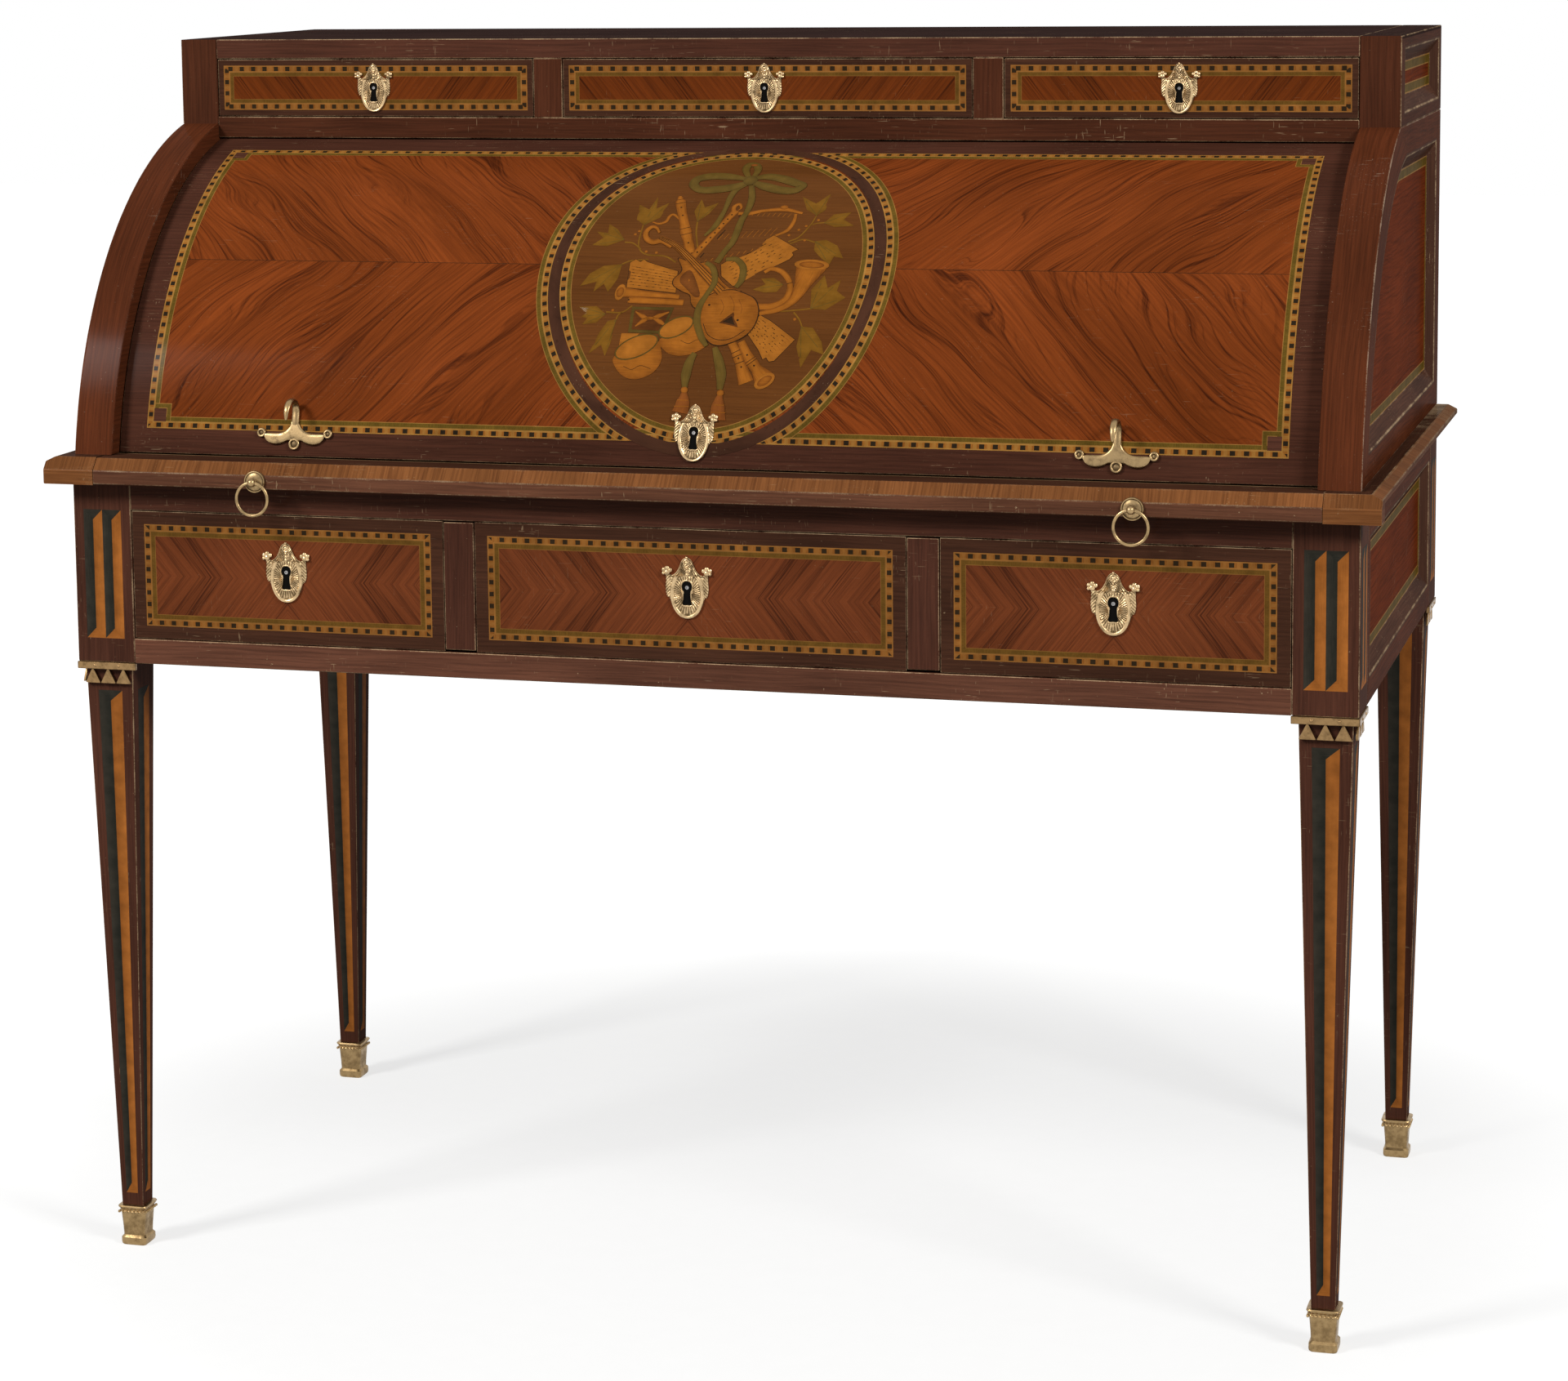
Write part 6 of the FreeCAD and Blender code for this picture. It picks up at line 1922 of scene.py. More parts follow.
class Trophy(Inlay):
    """Musical trophy of common instruments, leaves and ribbons, drawn for this medallion."""

    stems = (((-39, 200), (-51, 207), (-70, 209), (-79, 220), (-80, 245)), ((-93, 223), (-85, 222), (-76, 215)),
             ((-90, 197), (-82, 201), (-66, 203)), ((-96, 145), (-81, 145), (-72, 152)),
             ((-85, 138), (-84, 142), (-81, 145)),
             ((63, 226), (72, 232), (80, 248), (83, 260)), ((93, 251), (86, 250), (81, 248)),
             ((88, 226), (76, 229), (64, 223)), ((49, 147), (72, 149), (97, 152)), ((81, 148), (87, 141), (91, 133)),
             ((-29, 250), (-27, 236), (-22, 218)))
    berries = ((-82, 237), (-85, 233), (-70, 212), (-60, 211), (62, 234), (70, 241), (76, 246), (86, 254), (78, 228),
               (78, 156), (83, 141), (-90, 147))
    leaves = (((-79, 245), (-66, 255), (-62, 276), (-72, 266), (-75, 285), (-80, 264), (-90, 273), (-88, 252)),
              ((-94, 226), (-103, 239), (-113, 246), (-110, 234), (-123, 236), (-115, 228), (-124, 219), (-109, 218)),
              ((-90, 197), (-107, 195), (-119, 186), (-126, 172), (-111, 177), (-112, 166), (-103, 175),
               (-98, 166), (-91, 181)),
              ((-96, 143), (-106, 151), (-123, 150), (-115, 144), (-119, 140), (-113, 138), (-117, 132), (-104, 134)),
              ((-85, 138), (-93, 136), (-99, 125), (-107, 103), (-96, 112), (-91, 101), (-87, 115)),
              ((-29, 250), (-20, 261), (-14, 277), (-26, 270), (-32, 282), (-35, 264)),
              ((83, 260), (90, 268), (90, 292), (79, 277), (64, 287), (72, 268)),
              ((92, 250), (103, 245), (121, 247), (110, 255), (115, 265), (99, 262)),
              ((88, 227), (89, 216), (96, 208), (106, 199), (109, 209), (118, 207), (110, 222), (98, 229)),
              ((67, 177), (57, 184), (45, 183), (50, 177), (39, 171), (51, 168), (62, 169)),
              ((96, 152), (110, 151), (127, 164), (118, 171), (120, 183), (109, 174), (104, 188), (94, 172)),
              ((90, 134), (88, 114), (94, 94), (102, 111), (114, 107), (111, 119), (101, 133)))

    def build(self) -> None:
        """Lay the trophy from its back to its front."""
        self.sprigs()
        self.harp()
        self.pages()
        self.winds()
        self.drums()
        self.violin()
        self.ribbons()

    def sprigs(self) -> None:
        """Lay thin stems with berries, and lobed leaves with a rib to each tip."""
        for stem in self.stems:
            self.band(stem, (0.9, 0.8, 0.7), LEAF_GREEN, 0, 16)
        for berry in self.berries:
            self.blob(circle(berry, (1.6, 1.6), 8), TAN, 1)
        for leaf in self.leaves:
            rim = np.array(leaf, float)
            self.blob(leaf, LEAF_GREEN, 1, (0.0, 0.5))
            reach = np.hypot(*(rim - rim[0]).T)
            for tip in rim[reach > 0.75 * reach.max()]:
                self.line([rim[0], rim[0] + 0.75 * (tip - rim[0])], 0.5, 2, 3, RIBBON)

    def pages(self) -> None:
        """Lay three sheets of music, each with broken lines of notes along it."""
        for outline, corners in (
                (((-83, 199), (-81, 171), (-33, 166), (-35, 190), (-51, 195), (-66, 200), (-70, 203), (-73, 200),
                  (-78, 203)),
                 ((-83, 199), (-81, 171), (-33, 166), (-35, 190))),
                (((4, 198), (7, 185), (20, 174), (68, 205), (71, 210), (69, 213), (74, 217), (48, 234)),
                 ((6, 199), (20, 174), (71, 209), (48, 234))),
                (((50, 145), (39, 128), (53, 110), (58, 101), (61, 103), (64, 99), (69, 100), (86, 121), (61, 139)),
                 ((50, 145), (39, 128), (62, 101), (86, 121)))):
            self.blob(outline, PALE, 3, (0.0, 0.35))
            self.line([*outline, outline[0]], 0.5, 4, 0)
            self.notes(corners)

    def notes(self, corners: Sequence[Vec2]) -> None:
        """Lay rows of short dashes between the first and the last side of a sheet.

        Args:
            corners: the first side's two ends, then the last side's, in reverse.
        """
        a, b, c, d = (np.array(corner, float) for corner in corners)
        for count, row in enumerate(np.linspace(0.14, 0.86, 7)):
            left, right = a + row * (b - a), d + row * (c - d)
            self.line([left + 0.05 * (right - left), left + 0.95 * (right - left)], 0.22, 4, 2, TAN_SHADE)
            for note in np.arange(0.1, 0.9, 0.14):
                start = note + 0.04 * math.sin(37 * row + 23 * note)
                dash = 0.025 + 0.03 * math.sin(11 * note + 5 * count) ** 2
                self.line([left + start * (right - left), left + (start + dash) * (right - left)], 0.55,
                                4, 2)

    def rod(self, points: Sequence, half: Sequence[float], layer: float, rings: Sequence[float] = (),
            holes: Sequence[float] = ()) -> None:
        """Lay a turned pipe, shaded round, with dark rings and finger holes.

        Args:
            points: points of its middle line.
            half: half widths, spread evenly along it.
            layer: how many layers over the base it lies.
            rings: shares of its length with a ring.
            holes: shares of its length with a hole.
        """
        self.band(points, half, TAN, layer, 40, (0.75, 0.2, 0.0, 0.1, 0.8))
        path = curve(points, 101)
        ahead = unit(np.gradient(path, axis=0))
        widths = np.interp(np.linspace(0, 1, 101), np.linspace(0, 1, len(half)), half)
        for share in rings:
            at = round(100 * share)
            aside = np.array([-ahead[at, 1], ahead[at, 0]]) * widths[at]
            self.line([path[at] - aside, path[at] + aside], 0.6, layer + 1, 3)
        for share in holes:
            self.blob(circle(path[round(100 * share)], (0.9, 0.9), 8), INK, layer + 1, (0.4, 0.4))

    def mouth(self, centre: Vec2, radii: Vec2, tilt: float, layer: float) -> None:
        """Lay the open end of a wind instrument: a pale rim round a shaded hollow."""
        self.blob(circle(centre, radii, 24, tilt), PALE, layer, (0.0, 0.5))
        inside = (0.72 * radii[0], 0.62 * radii[1])
        self.blob(circle(centre, inside, 24, tilt), TAN, layer + 1, (0.15, 0.9))

    def harp(self) -> None:
        """Lay a small harp: dotted post, neck, arm and strings along the post."""
        lean = np.array([-0.44, -0.9])
        for share in np.linspace(0.08, 0.92, 10):
            top = np.array([9 + 54 * share, 263.0])
            self.line([top, top + (73 - 20 * share) * lean], 0.5, 1, 3, TAN)
        self.rod(((-24, 206), (-9, 236), (5, 266)), (3.6, 3.2, 3.6), 2, (), np.linspace(0.1, 0.9, 9))
        self.line([(-17, 206), (12, 263)], 1.0, 2, 3)
        self.rod(((3, 264), (2, 271), (6, 275), (9, 270), (7, 266)), (2.4, 2.2, 1.8, 1.2, 0.5), 3)
        self.rod(((8, 262), (19, 262), (32, 266), (51, 268), (69, 263)), (2.2, 2.6, 2.0, 2.8, 1.4), 3)
        self.rod(((63, 262), (63, 251), (59, 240), (49, 233)), (1.6, 2.0, 2.0, 1.2), 3)
        self.blob(circle((50, 271), (4.0, 3.0), 12), TAN, 4, (0.1, 0.8))

    def winds(self) -> None:
        """Lay recorders, straight horns and a coiled horn."""
        self.rod(((-54, 286), (-49, 270), (-37, 237), (-27, 211)),
                 (1.6, 3.2, 5.4, 4.8, 4.4, 4.4, 5.6, 4.6, 4.8, 4.2), 4, (0.12, 0.24, 0.62, 0.7), (0.34, 0.46, 0.84))
        self.rod(((-72, 249), (-65, 247), (-59, 250), (-57, 257), (-53, 259), (-43, 249)),
                 (0.6, 1.4, 1.7, 1.6, 1.4, 0.8), 3)
        self.rod(((-84, 166), (-55, 164), (-29, 162)), (5.4, 3.6, 2.8, 2.4), 5)
        self.mouth((-86, 166), (4.8, 8.6), -8.0, 6)
        self.rod(((-76, 158), (-74, 158), (-49, 157), (-24, 156)), (2.0, 3.5, 3.4, 3.4, 3.3, 3.2), 5, (), (0.2,))
        self.rod(((46, 153), (60, 154), (71, 161), (74, 172), (71, 182), (63, 191), (53, 194), (47, 190)),
                 (3.4, 3.2, 3.0, 2.8, 2.8, 2.4, 1.8), 4, (0.52,))
        self.rod(((49, 146), (67, 151), (79, 161), (84, 174), (90, 198)), (2.2, 2.8, 3.6, 5.0, 8.0, 15.0), 5)
        self.mouth((90, 199), (16.5, 6.0), -3.0, 6)
        self.rod(((26, 119), (33, 107), (38, 96), (45, 79)), (4.2, 4.0, 5.0, 4.4, 5.8, 7.4), 5, (0.3, 0.42, 0.62),
                 (0.5, 0.72))
        self.rod(((36, 118), (44, 104), (51, 95), (61, 83)), (3.6, 4.2, 5.6, 5.0, 9.5), 6, (0.46, 0.54), (0.3, 0.66))
        self.mouth((62, 81), (10.5, 6.0), 35.0, 8)

    def drums(self) -> None:
        """Lay two bowl drums with tilted skins, and a green box with crossed figures."""
        self.patch(((-72, 125), (-39, 124), (-32, 151), (-72, 151)), RIBBON, 4, (4, 2), 0, (0.5, 0.9))
        self.patch(((-69, 128), (-41, 127), (-35, 148), (-69, 148)), TAN_SHADE, 4.5, (2, 2), 0, (0.6, 0.9))
        for figure in (((-68, 146), (-60, 141), (-53, 139), (-45, 142), (-36, 146)),
                       ((-66, 131), (-59, 137), (-52, 140), (-43, 136), (-37, 132))):
            self.rod(figure, (0.6, 2.4, 0.8, 2.4, 0.6), 5)
        self.blob(((-78, 124), (-79, 110), (-67, 117), (-61, 124)), PALE, 5, (0.0, 0.4))
        for bowl, centre, radii, tilt in (
                (((-82, 101), (-79, 90), (-70, 82), (-58, 80), (-44, 86), (-37, 97), (-38, 108), (-44, 118),
                  (-62, 114)), (-62, 111), (21.5, 10.5), 25.0),
                (((-41, 118), (-34, 107), (-22, 103), (-7, 106), (4, 116), (-8, 136), (-25, 130)),
                 (-27, 131), (17.5, 9.5), 28.0)):
            self.blob(bowl, TAN, 6, (0.0, 0.55), 48)
            self.blob(circle(centre, radii, 28, tilt), RIBBON, 7, (0.4, 0.6))
            self.blob(circle(centre, (radii[0] - 1.4, radii[1] - 1.3), 28, tilt), PALE, 8, (0.0, 0.3))
            x, y = bowl[3]
            self.line([(x - 14, y + 12), (x - 6, y + 9), (x + 2, y + 13), (x + 12, y + 10)], 0.4, 7, 12)

    def violin(self) -> None:
        """Lay a fiddle: round belly, shoulders, neck with strings and curled head."""
        shoulders = ((-37, 204), (-31, 191), (-37, 181), (-36, 174), (-27, 168), (-19, 164), (-16, 155), (-9, 150),
                     (12, 150), (28, 168), (19, 171), (7, 181), (-1, 193), (-8, 200), (-18, 199), (-28, 201))
        belly = ((33, 166), (19, 170), (3, 166), (-6, 157), (-8, 144), (-4, 131), (5, 118), (15, 114), (27, 117),
                 (39, 124), (46, 134), (48, 148), (43, 160))
        for outline, layer, centre in ((shoulders, 9, (-8, 178)), (belly, 11, (20, 142))):
            grown = np.array(centre) + 1.03 * (np.array(outline, float) - np.array(centre))
            self.blob(grown, INK, layer, (0.2, 0.2), 80, centre)
            self.blob(outline, TAN, layer + 1, (0.1, 0.55), 80, centre)
        self.blob(((-30, 186), (-31, 178), (-24, 171), (-14, 162), (-10, 166), (-22, 190)), TAN_SHADE, 10.5,
                        (0.0, 0.6), 24)
        self.rod(((-62, 235), (-66, 241), (-71, 242), (-75, 236), (-73, 228), (-66, 223), (-57, 225), (-46, 219)),
                 (1.2, 1.6, 2.2, 2.6, 2.8, 3.0, 3.2, 3.6), 12)
        neck = np.array([(-60, 229), (-41, 218), (-17, 195), (10, 168)], float)
        self.band(neck, (2.6, 3.2, 4.4, 5.4), TAN, 12.5, 30, (0.8, 0.1, 0.0, 0.7))
        for aside in (-3.2, -1.1, 1.1, 3.2):
            spread = aside * np.array([0.5, 0.7, 1.0, 1.3])[:, None] * np.array([0.7, 0.72])
            self.line(neck + spread, 0.65, 13.5, 20)
        self.line([(-2, 135), (4, 124), (15, 119), (27, 121), (38, 129)], 0.6, 13, 20)
        for line in (((11, 160), (15, 152), (13, 144)), ((19, 164), (24, 156), (25, 148)),
                     ((28, 160), (32, 152), (32, 146))):
            self.line(line, 0.4, 13, 10, TAN_SHADE)
        self.blob(((13, 136), (31, 132), (25, 147)), TAN_SHADE, 13, (0.5, 0.9))
        self.blob(((16, 137), (28, 134), (24, 143)), INK, 14, (0.2, 0.2))
        for spot in ((1, 154), (30, 139)):
            self.blob(circle(spot, (1.1, 1.1), 8), INK, 14, (0.3, 0.3))

    def ribbons(self) -> None:
        """Lay the bow at the top, its tails through the trophy, and two tassels."""
        shade = (0.6, 0.1, 0.0, 0.4)
        for path, half, layer in (
                (((4, 314), (-12, 318), (-30, 319), (-43, 314), (-45, 304), (-36, 296), (-20, 297), (-6, 301),
                  (5, 308)), (2.6, 5.4, 5.8, 4.8, 4.4, 5.6, 5.6, 3.0), 9),
                (((10, 315), (23, 319), (39, 315), (53, 308), (60, 304), (54, 296), (39, 297), (23, 303), (12, 309)),
                 (2.6, 5.4, 5.8, 4.8, 4.2, 5.6, 5.8, 3.0), 9),
                (((5, 317), (-1, 331), (0, 341), (7, 340), (11, 330), (10, 318)), (2.4, 3.8, 4.0, 3.6, 2.4), 8),
                (((6, 306), (-2, 297), (-5, 284), (-6, 267), (-10, 246), (-18, 232)),
                 (2.4, 3.2, 3.0, 2.2, 3.0, 1.2), 6),
                (((11, 304), (16, 284), (16, 266), (13, 252), (12, 237), (10, 224), (5, 213), (0, 200)),
                 (2.6, 3.4, 2.8, 3.4, 3.2, 2.8, 3.0), 8),
                (((8, 204), (18, 204), (26, 195), (27, 182), (23, 173)), (2.0, 3.0, 3.4, 2.2), 8),
                (((-10, 200), (-2, 193), (2, 178), (-3, 165), (-8, 152), (-8, 137), (-2, 122), (4, 113)),
                 (2.0, 2.8, 3.0, 2.4, 3.2, 3.4, 3.2, 2.0), 15),
                (((-6, 106), (-10, 97), (-12, 85), (-12, 73)), (2.4, 4.2, 4.6, 2.4), 9),
                (((12, 112), (17, 100), (21, 86), (21, 72)), (2.4, 4.4, 4.8, 2.6), 9)):
            self.band(path, half, RIBBON, layer, 44, shade)
        self.blob(circle((8, 312), (6.8, 8.0), 16), RIBBON, 10, (0.0, 0.7))
        self.blob(circle((5, 340), (3.4, 2.2), 12), RED_WOOD, 9)
        for path in (((-12, 71), (-12, 62), (-14, 50)), ((22, 69), (21, 59), (21, 44))):
            self.band(path, (2.0, 3.0, 4.6, 6.4, 6.8, 8.0), RED_WOOD, 10, 16, (0.7, 0.1, 0.0, 0.5))
            a, b = np.array(path[0], float), np.array(path[-1], float)
            for share, half in ((0.45, 5.0), (0.72, 7.0)):
                spot = a + share * (b - a)
                self.line([spot - [half, 0.0], spot + [half, 0.0]], 0.7, 11, 3, TAN)
            self.blob(circle(a, (3.4, 3.0), 12), TAN, 11, (0.0, 0.6))


@dataclass
class Cylinder:
    """Curved shell with kingwood leaves, a bordered field, the medallion and its brass."""

    drum: Drum = Drum()
    half_width: float = 561.0
    thickness: float = 16.0
    tongue: Vec2 = (561.0, 570.0)
    tongue_depth: Vec2 = (-12.0, -4.0)
    border_half: float = 534.5
    border_low: float = 23.3
    border_high: float = 368.0
    check: float = 6.4
    check_pitch: Vec2 = (12.3, 11.0)
    olive: float = 4.8
    corner: float = 17.2
    seam: float = 196.0
    lean: float = 46.0
    grain_start: Vec3 = (1500.0, 700.0, 300.0)
    medallion: Vec2 = (0.0, 194.2)
    medallion_half: float = 168.8
    ring_pitch: float = 10.8
    ring_band: float = 11.0
    trophy_layer: float = 8.0
    stretch: float = 23.4
    outer_stretch: float = 26.4
    plate_rise: float = 32.0
    plate_scale: float = 0.93
    hook_spread: float = 385.0
    hook_rise: float = 22.0
    lock_low: Vec3 = (-28.0, 8.0, -27.0)
    lock_high: Vec3 = (28.0, 44.0, -16.1)
    cells: int = 48

    def build(self) -> None:
        """Build the shell with its inlay, then the lock and the hooks."""
        shell = look("cylinder_shell", "cylinder", Slot.KINGWOOD)
        length = self.drum.length
        Board((-self.half_width, 0.0, -self.thickness), (self.half_width, length, 0.0), SHELL_WOOD, 0, 1.0, 1.4,
              (1, self.cells, 1), {(2, -1): BACK_OAK}).add_to(shell, self.drum.bend, 5)
        for side in (-1, 1):
            xs = sorted((side * self.tongue[0], side * self.tongue[1]))
            low, high = self.tongue_depth
            Board((xs[0], 1.0, low), (xs[1], length - 1.0, high), OAK, 1, 0.4, 0.4,
                  (1, self.cells, 1)).add_to(shell, self.drum.bend)
        inlay = Inlay(shell, self.drum)
        self.field(inlay)
        self.rings(inlay)
        Trophy(shell, self.drum, self.trophy_layer).build()
        shell.build()
        self.mounts()

    def field(self, inlay: Inlay) -> None:
        """Lay the border strips, their stepped corners and four mirrored leaves.

        Args:
            inlay: hand for the shell's outer face.
        """
        low, high = np.array([-self.border_half, self.border_low]), np.array([self.border_half, self.border_high])
        inner = self.check + self.olive
        start, start_across, start_up = self.grain_start
        for left, right, across in ((low[0] + inner, 0.0, -1), (0.0, high[0] - inner, 1)):
            for bottom, top, up in ((low[1] + inner, self.seam, -1), (self.seam, high[1] - inner, 1)):
                inlay.leaf((left, bottom), (right, top), KINGWOOD, 1, self.lean, (across, up),
                           (1, self.cells // 2), start + start_across * across + start_up * up)
        inlay.line([(low[0] + inner, self.seam), (high[0] - inner, self.seam)], 0.5, 1.5, 2)
        inlay.frame(tuple(low), tuple(high), self.check, CHECK, 2, self.check_pitch, self.cells)
        inlay.frame(tuple(low + self.check), tuple(high - self.check), self.olive, OLIVE, 2, (1.0, 1.0), self.cells)
        for x, across in ((low[0] + self.check, 1), (high[0] - self.check, -1)):
            for y, up in ((low[1] + self.check, 1), (high[1] - self.check, -1)):
                xs, ys = sorted((x, x + across * self.corner)), sorted((y, y + up * self.corner))
                inlay.frame((xs[0], ys[0]), (xs[1], ys[1]), self.olive, OLIVE, 3, (1.0, 1.0), 2)
                size = self.corner - self.olive
                xs, ys = sorted((x, x + across * size)), sorted((y, y + up * size))
                inlay.patch(((xs[0], ys[0]), (xs[1], ys[0]), (xs[1], ys[1]), (xs[0], ys[1])), AMARANTH, 4, (1, 2))

    def rings(self, inlay: Inlay) -> None:
        """Lay the medallion's ground and its rings; the outer ones stop at the border.

        Args:
            inlay: hand for the shell's outer face.
        """
        border = (self.border_low, self.border_high)
        inside = (self.border_low + self.check, self.border_high - self.check)
        half = self.medallion_half
        for width, finish, layer, pitch, stretch, limits in (
                (self.olive, OLIVE, 4, 1.0, self.outer_stretch, inside),
                (self.check, CHECK, 4, self.ring_pitch, self.outer_stretch, border),
                (self.ring_band, DRAWER_WOOD, 5, 1.0, self.outer_stretch, None),
                (self.check, CHECK, 6, self.ring_pitch, self.stretch, None),
                (self.olive, OLIVE, 6, 1.0, self.stretch, None)):
            inlay.oval(self.medallion, (half, half + stretch), width, finish, layer, pitch, limits)
            half -= width
        rim = circle(self.medallion, (half, half + self.stretch), 96)
        rim = np.concatenate([rim, rim[:1]])
        share = np.linspace(0.0, 1.0, 25)[:, None, None]
        flat = np.array(self.medallion) + share * (rim - np.array(self.medallion))
        inlay.sheet(flat, GROUND_WOOD, 6, flat + 500.0)

    def mounts(self) -> None:
        """Build the lock with its plate and the two hook handles."""
        lock = look("cylinder_lock", "cylinder", Slot.BRASS)
        Board(self.lock_low, self.lock_high, BRASS, 0, 0.5, 0.6).add_to(lock, self.drum.bend)
        KeyholePlate().build(lock, Shifted(self.drum, (0.0, self.plate_rise), self.plate_scale))
        lock.build()
        hooks = look("hook_handles", "cylinder", Slot.BRASS)
        for side in (-1, 1):
            HookHandle().build(hooks, Shifted(self.drum, (side * self.hook_spread, self.hook_rise)))
        hooks.build()


@dataclass
class Nosing:
    """Front nosing of the writing slide: dark face below, orange chamfer above."""

    half: float = 569.5
    inner: float = -272.0
    worn_end: float = 2.0
    chamfer_rows: tuple[int, int] = (6, 10)
    section: Sequence[Vec3] = (
        (-272.0, 745.5, 0.0), (-313.0, 745.5, 0.4), (-314.0, 746.5, 0.9), (-314.0, 748.0, 0.0), (-314.0, 756.8, 0.0),
        (-313.8, 758.0, 0.8), (-313.2, 759.0, 0.8), (-312.3, 760.2, 0.0), (-306.2, 767.2, 0.0), (-305.2, 768.6, 0.6),
        (-304.0, 769.5, 0.7), (-301.0, 769.5, 0.0), (-272.0, 769.5, 0.2))

    def build(self) -> None:
        """Carry the section across the desk and close its ends."""
        piece = look("slide_nosing", "slide", Slot.KINGWOOD)
        y, z, wear = np.array(self.section).T
        run = lengths(np.stack([y, z], -1))
        x = np.array([-self.half, self.worn_end - self.half, self.half - self.worn_end, self.half])
        grid = np.stack(np.broadcast_arrays(x[None], y[:, None], z[:, None]), -1)
        worn = np.maximum(wear[:, None], np.array([0.8, 0.0, 0.0, 0.8])[None])
        flat = np.stack(np.broadcast_arrays(x[None], run[:, None]), -1)
        for rows, finish in veneers(*self.chamfer_rows):
            uv = flat[rows][..., ::-1] if finish is CROSSBAND else flat[rows]
            piece.add(grid[rows][::-1], finish, uv[::-1], worn[rows][::-1])
        for column, flip in ((0, 1), (3, -1)):
            rim = grid[:, column]
            core = np.stack([rim[:, 0], np.full(len(y), self.inner), z], -1)
            piece.add(np.stack([rim, core], 1)[::flip], NOSE_WOOD, None, 0.1)
        piece.build()


def dress_nodes() -> None:
    """Give the frame's own nodes that stay in sight their finishes."""
    for name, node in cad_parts.items():
        if node.hide_render:
            continue
        finish: Finish = OAK
        if name.endswith("_bolt"):
            finish = BRASS
        elif name == "writing_leather":
            finish = LEATHER
        elif name == "pigeonhole_nest":
            finish = INNER_WOOD
        for slot in node.material_slots:
            slot.material = finish.material()
        log.info("%s: %s", name, finish.name)


# ---------------------------------------------------------------- studio
@dataclass(frozen=True)
class Lamp:
    """One soft area light."""

    name: str
    place: Vec3
    target: Vec3
    size: Vec2
    power: float

    def build(self) -> None:
        """Make the light and aim it at its target."""
        data = bpy.data.lights.new(self.name, "AREA")
        data.shape = "RECTANGLE"
        data.size, data.size_y = self.size
        data.energy = self.power
        made = bpy.data.objects.new(self.name, data)
        away = unit(np.array(self.place) - np.array(self.target))
        right = unit(np.cross((0.0, 0.0, 1.0), away))
        made.matrix_world = pose(right, np.cross(away, right), away, self.place)
        bpy.context.scene.collection.objects.link(made)


def pose(right: Array, up: Array, back: Array, place: Sequence[float]) -> Matrix:
    """Matrix with the given axes as columns and a place."""
    made = np.eye(4)
    made[:3, :3] = np.stack([right, up, back], 1)
    made[:3, 3] = place
    return Matrix(made.tolist())


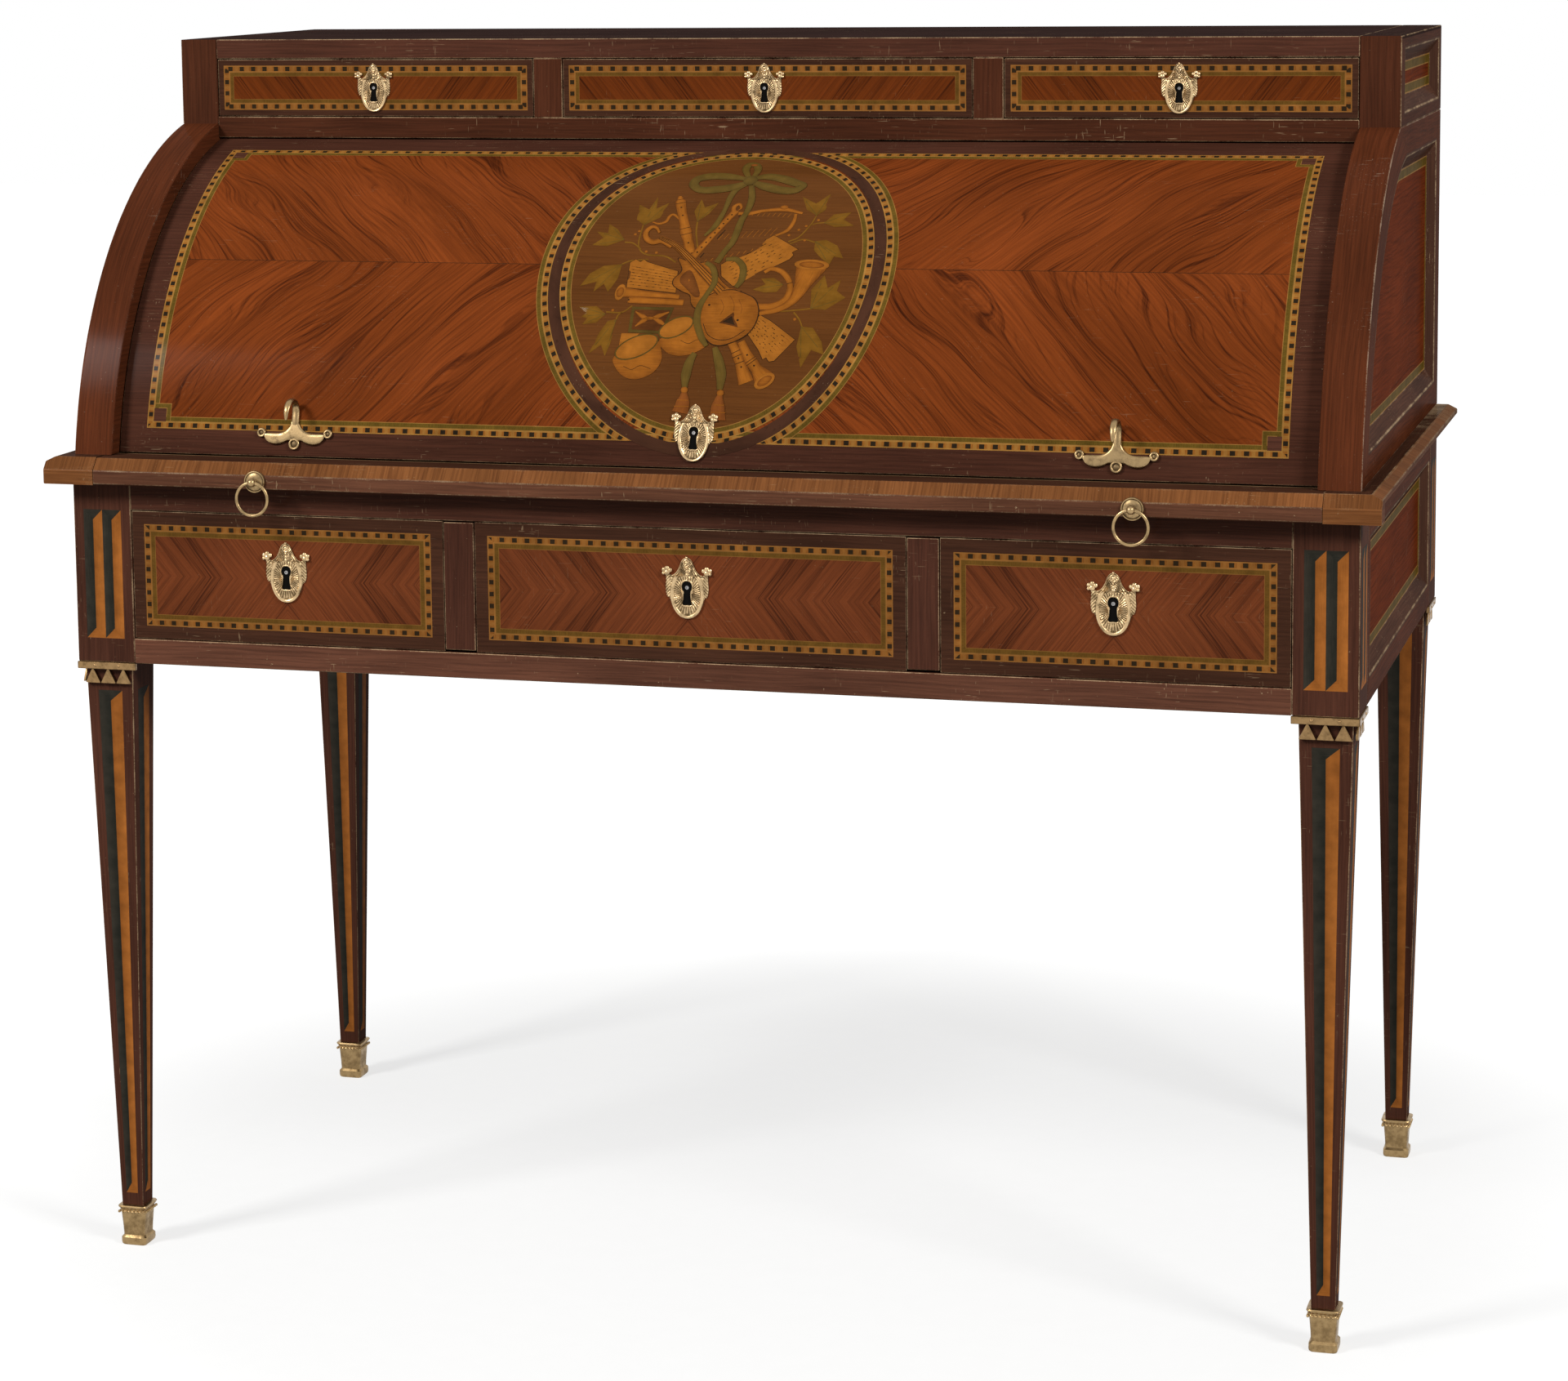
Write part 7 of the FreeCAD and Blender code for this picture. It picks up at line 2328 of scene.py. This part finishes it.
@dataclass
class Studio:
    """Pale floor, soft lights, white world and the camera."""

    eye: Vec3 = (0.996, -3.575, 1.258)
    yaw: float = 16.25
    pitch: float = 7.34
    roll: float = -0.68
    lens: float = 89.03
    sensor: float = 36.0
    shift: Vec2 = (0.036, -0.172)
    floor_half: float = 14.0
    paper: tuple[Color, Color] = ((0.27, 0.27, 0.265), (0.29, 0.29, 0.285))
    glow: float = 0.71
    glow_reach: Vec2 = (0.58, 1.25)
    sky: float = 0.28
    lamps: Sequence[Lamp] = (
        Lamp("key", (-3.0, -3.4, 3.5), (0.0, 0.0, 0.6), (1.2, 1.2), 200.0),
        Lamp("fill", (3.5, -2.2, 3.3), (0.0, 0.0, 0.6), (1.2, 1.2), 132.0))

    def build(self) -> None:
        """Make floor, world, lights and camera."""
        bpy.context.scene.view_settings.view_transform = "Standard"
        self.floor()
        self.world()
        for lamp in self.lamps:
            lamp.build()
        self.camera()

    def seen(self, graph: Graph) -> Socket:
        """1 for camera, glossy and transmission rays, else 0."""
        rays = graph.node("ShaderNodeLightPath").outputs
        either = graph.math("MAXIMUM", rays["Is Camera Ray"], rays["Is Glossy Ray"])
        return graph.math("MAXIMUM", either, rays["Is Transmission Ray"])

    def floor(self) -> None:
        """Make the floor: a pale diffuse sheet with a glow for the rays that see it."""
        s = np.linspace(-self.floor_half, self.floor_half, 5)
        flat = np.stack(np.meshgrid(s, s, indexing="ij"), -1).reshape(-1, 2)
        corners = np.arange(25).reshape(5, 5)
        quads = np.stack([corners[:-1, :-1], corners[1:, :-1], corners[1:, 1:], corners[:-1, 1:]], -1).reshape(-1, 4)
        mesh = bpy.data.meshes.new("floor")
        mesh.from_pydata(np.c_[flat, np.zeros(25)].tolist(), [], quads.tolist())
        material = bpy.data.materials.new("floor_paper")
        material.use_nodes = True
        graph = Graph(material.node_tree)
        shader = material.node_tree.nodes["Principled BSDF"]
        tooth = graph.noise(graph.spot(), 40.0, 3.0)
        paper = graph.mix(tooth, *self.paper)
        graph.feed(shader.inputs["Base Color"], paper)
        shader.inputs["Roughness"].default_value = 1.0
        shader.inputs["Specular IOR Level"].default_value = 0.0
        shader.inputs["Emission Color"].default_value = (1.0, 1.0, 1.0, 1.0)
        away = graph.node("ShaderNodeVectorMath", graph.spot(), operation="LENGTH").outputs[1]
        glow = graph.linear(graph.step(away, *self.glow_reach), 1.0 - self.glow, self.glow)
        graph.feed(shader.inputs["Emission Strength"], graph.math("MULTIPLY", self.seen(graph), glow))
        mesh.materials.append(material)
        made = bpy.data.objects.new("floor", mesh)
        bpy.context.scene.collection.objects.link(made)

    def world(self) -> None:
        """White for the rays that see it, plain grey light otherwise."""
        world = bpy.data.worlds.new("studio")
        bpy.context.scene.world = world
        world.use_nodes = True
        graph = Graph(world.node_tree)
        shade = graph.linear(self.seen(graph), 1.0 - self.sky, self.sky)
        ground = world.node_tree.nodes["Background"]
        ground.inputs["Color"].default_value = (1.0, 1.0, 1.0, 1.0)
        graph.feed(ground.inputs["Strength"], shade)

    def camera(self) -> None:
        """Place the camera: yaw about z, pitch down, then roll about the line of sight."""
        data = bpy.data.cameras.new("camera")
        data.lens = self.lens
        data.sensor_width = self.sensor
        data.sensor_fit = "HORIZONTAL"
        data.shift_x, data.shift_y = self.shift
        yaw, pitch, roll = (math.radians(angle) for angle in (self.yaw, self.pitch, self.roll))
        level = np.array([-math.sin(yaw), math.cos(yaw), 0.0])
        high = np.array([0.0, 0.0, 1.0])
        ahead = math.cos(pitch) * level - math.sin(pitch) * high
        up = math.sin(pitch) * level + math.cos(pitch) * high
        right = np.array([math.cos(yaw), math.sin(yaw), 0.0])
        made = bpy.data.objects.new("camera", data)
        tilted_right = math.cos(roll) * right + math.sin(roll) * up
        tilted_up = math.cos(roll) * up - math.sin(roll) * right
        made.matrix_world = pose(tilted_right, tilted_up, -ahead, self.eye)
        bpy.context.scene.collection.objects.link(made)
        bpy.context.scene.camera = made


def main() -> None:
    """Build the desk's pieces in order, dress the frame and set the studio."""
    logging.basicConfig(level=logging.INFO, format="%(message)s")
    legs = [Leg(f"{row}_{hand}", side, y) for row, y in (("front", FRONT_LEG_Y), ("back", BACK_LEG_Y))
            for hand, side in (("left", -1), ("right", 1))]
    for leg in legs:
        leg.build()
    Sabots([(leg.side * leg.x, leg.y) for leg in legs]).build()
    Collars(legs).build()
    Case().build()
    for side in (-1, 1):
        Moulding(side).build()
    Nosing().build()
    for hand, lower_seed, upper_seed in (("left", 2, 16), ("centre", 2, 2), ("right", 10, 10)):
        Drawer(f"lower_{hand}_drawer", lower_seed, plate_scale=1.0, quartered=True, leaf=LEAF_WOOD, margin=12.2,
               key_rise=7.0, lock_height=62.0, grow=(2.5, 1.5)).build()
        Drawer(f"gradin_{hand}_drawer", upper_seed, plate_scale=0.84, quartered=False, leaf=GRADIN_LEAF, margin=6.0,
               check=6.5, olive=4.0).build()
    Cylinder().build()
    RingPulls().build()
    dress_nodes()
    Studio().build()


if __name__ == "__main__":
    main()
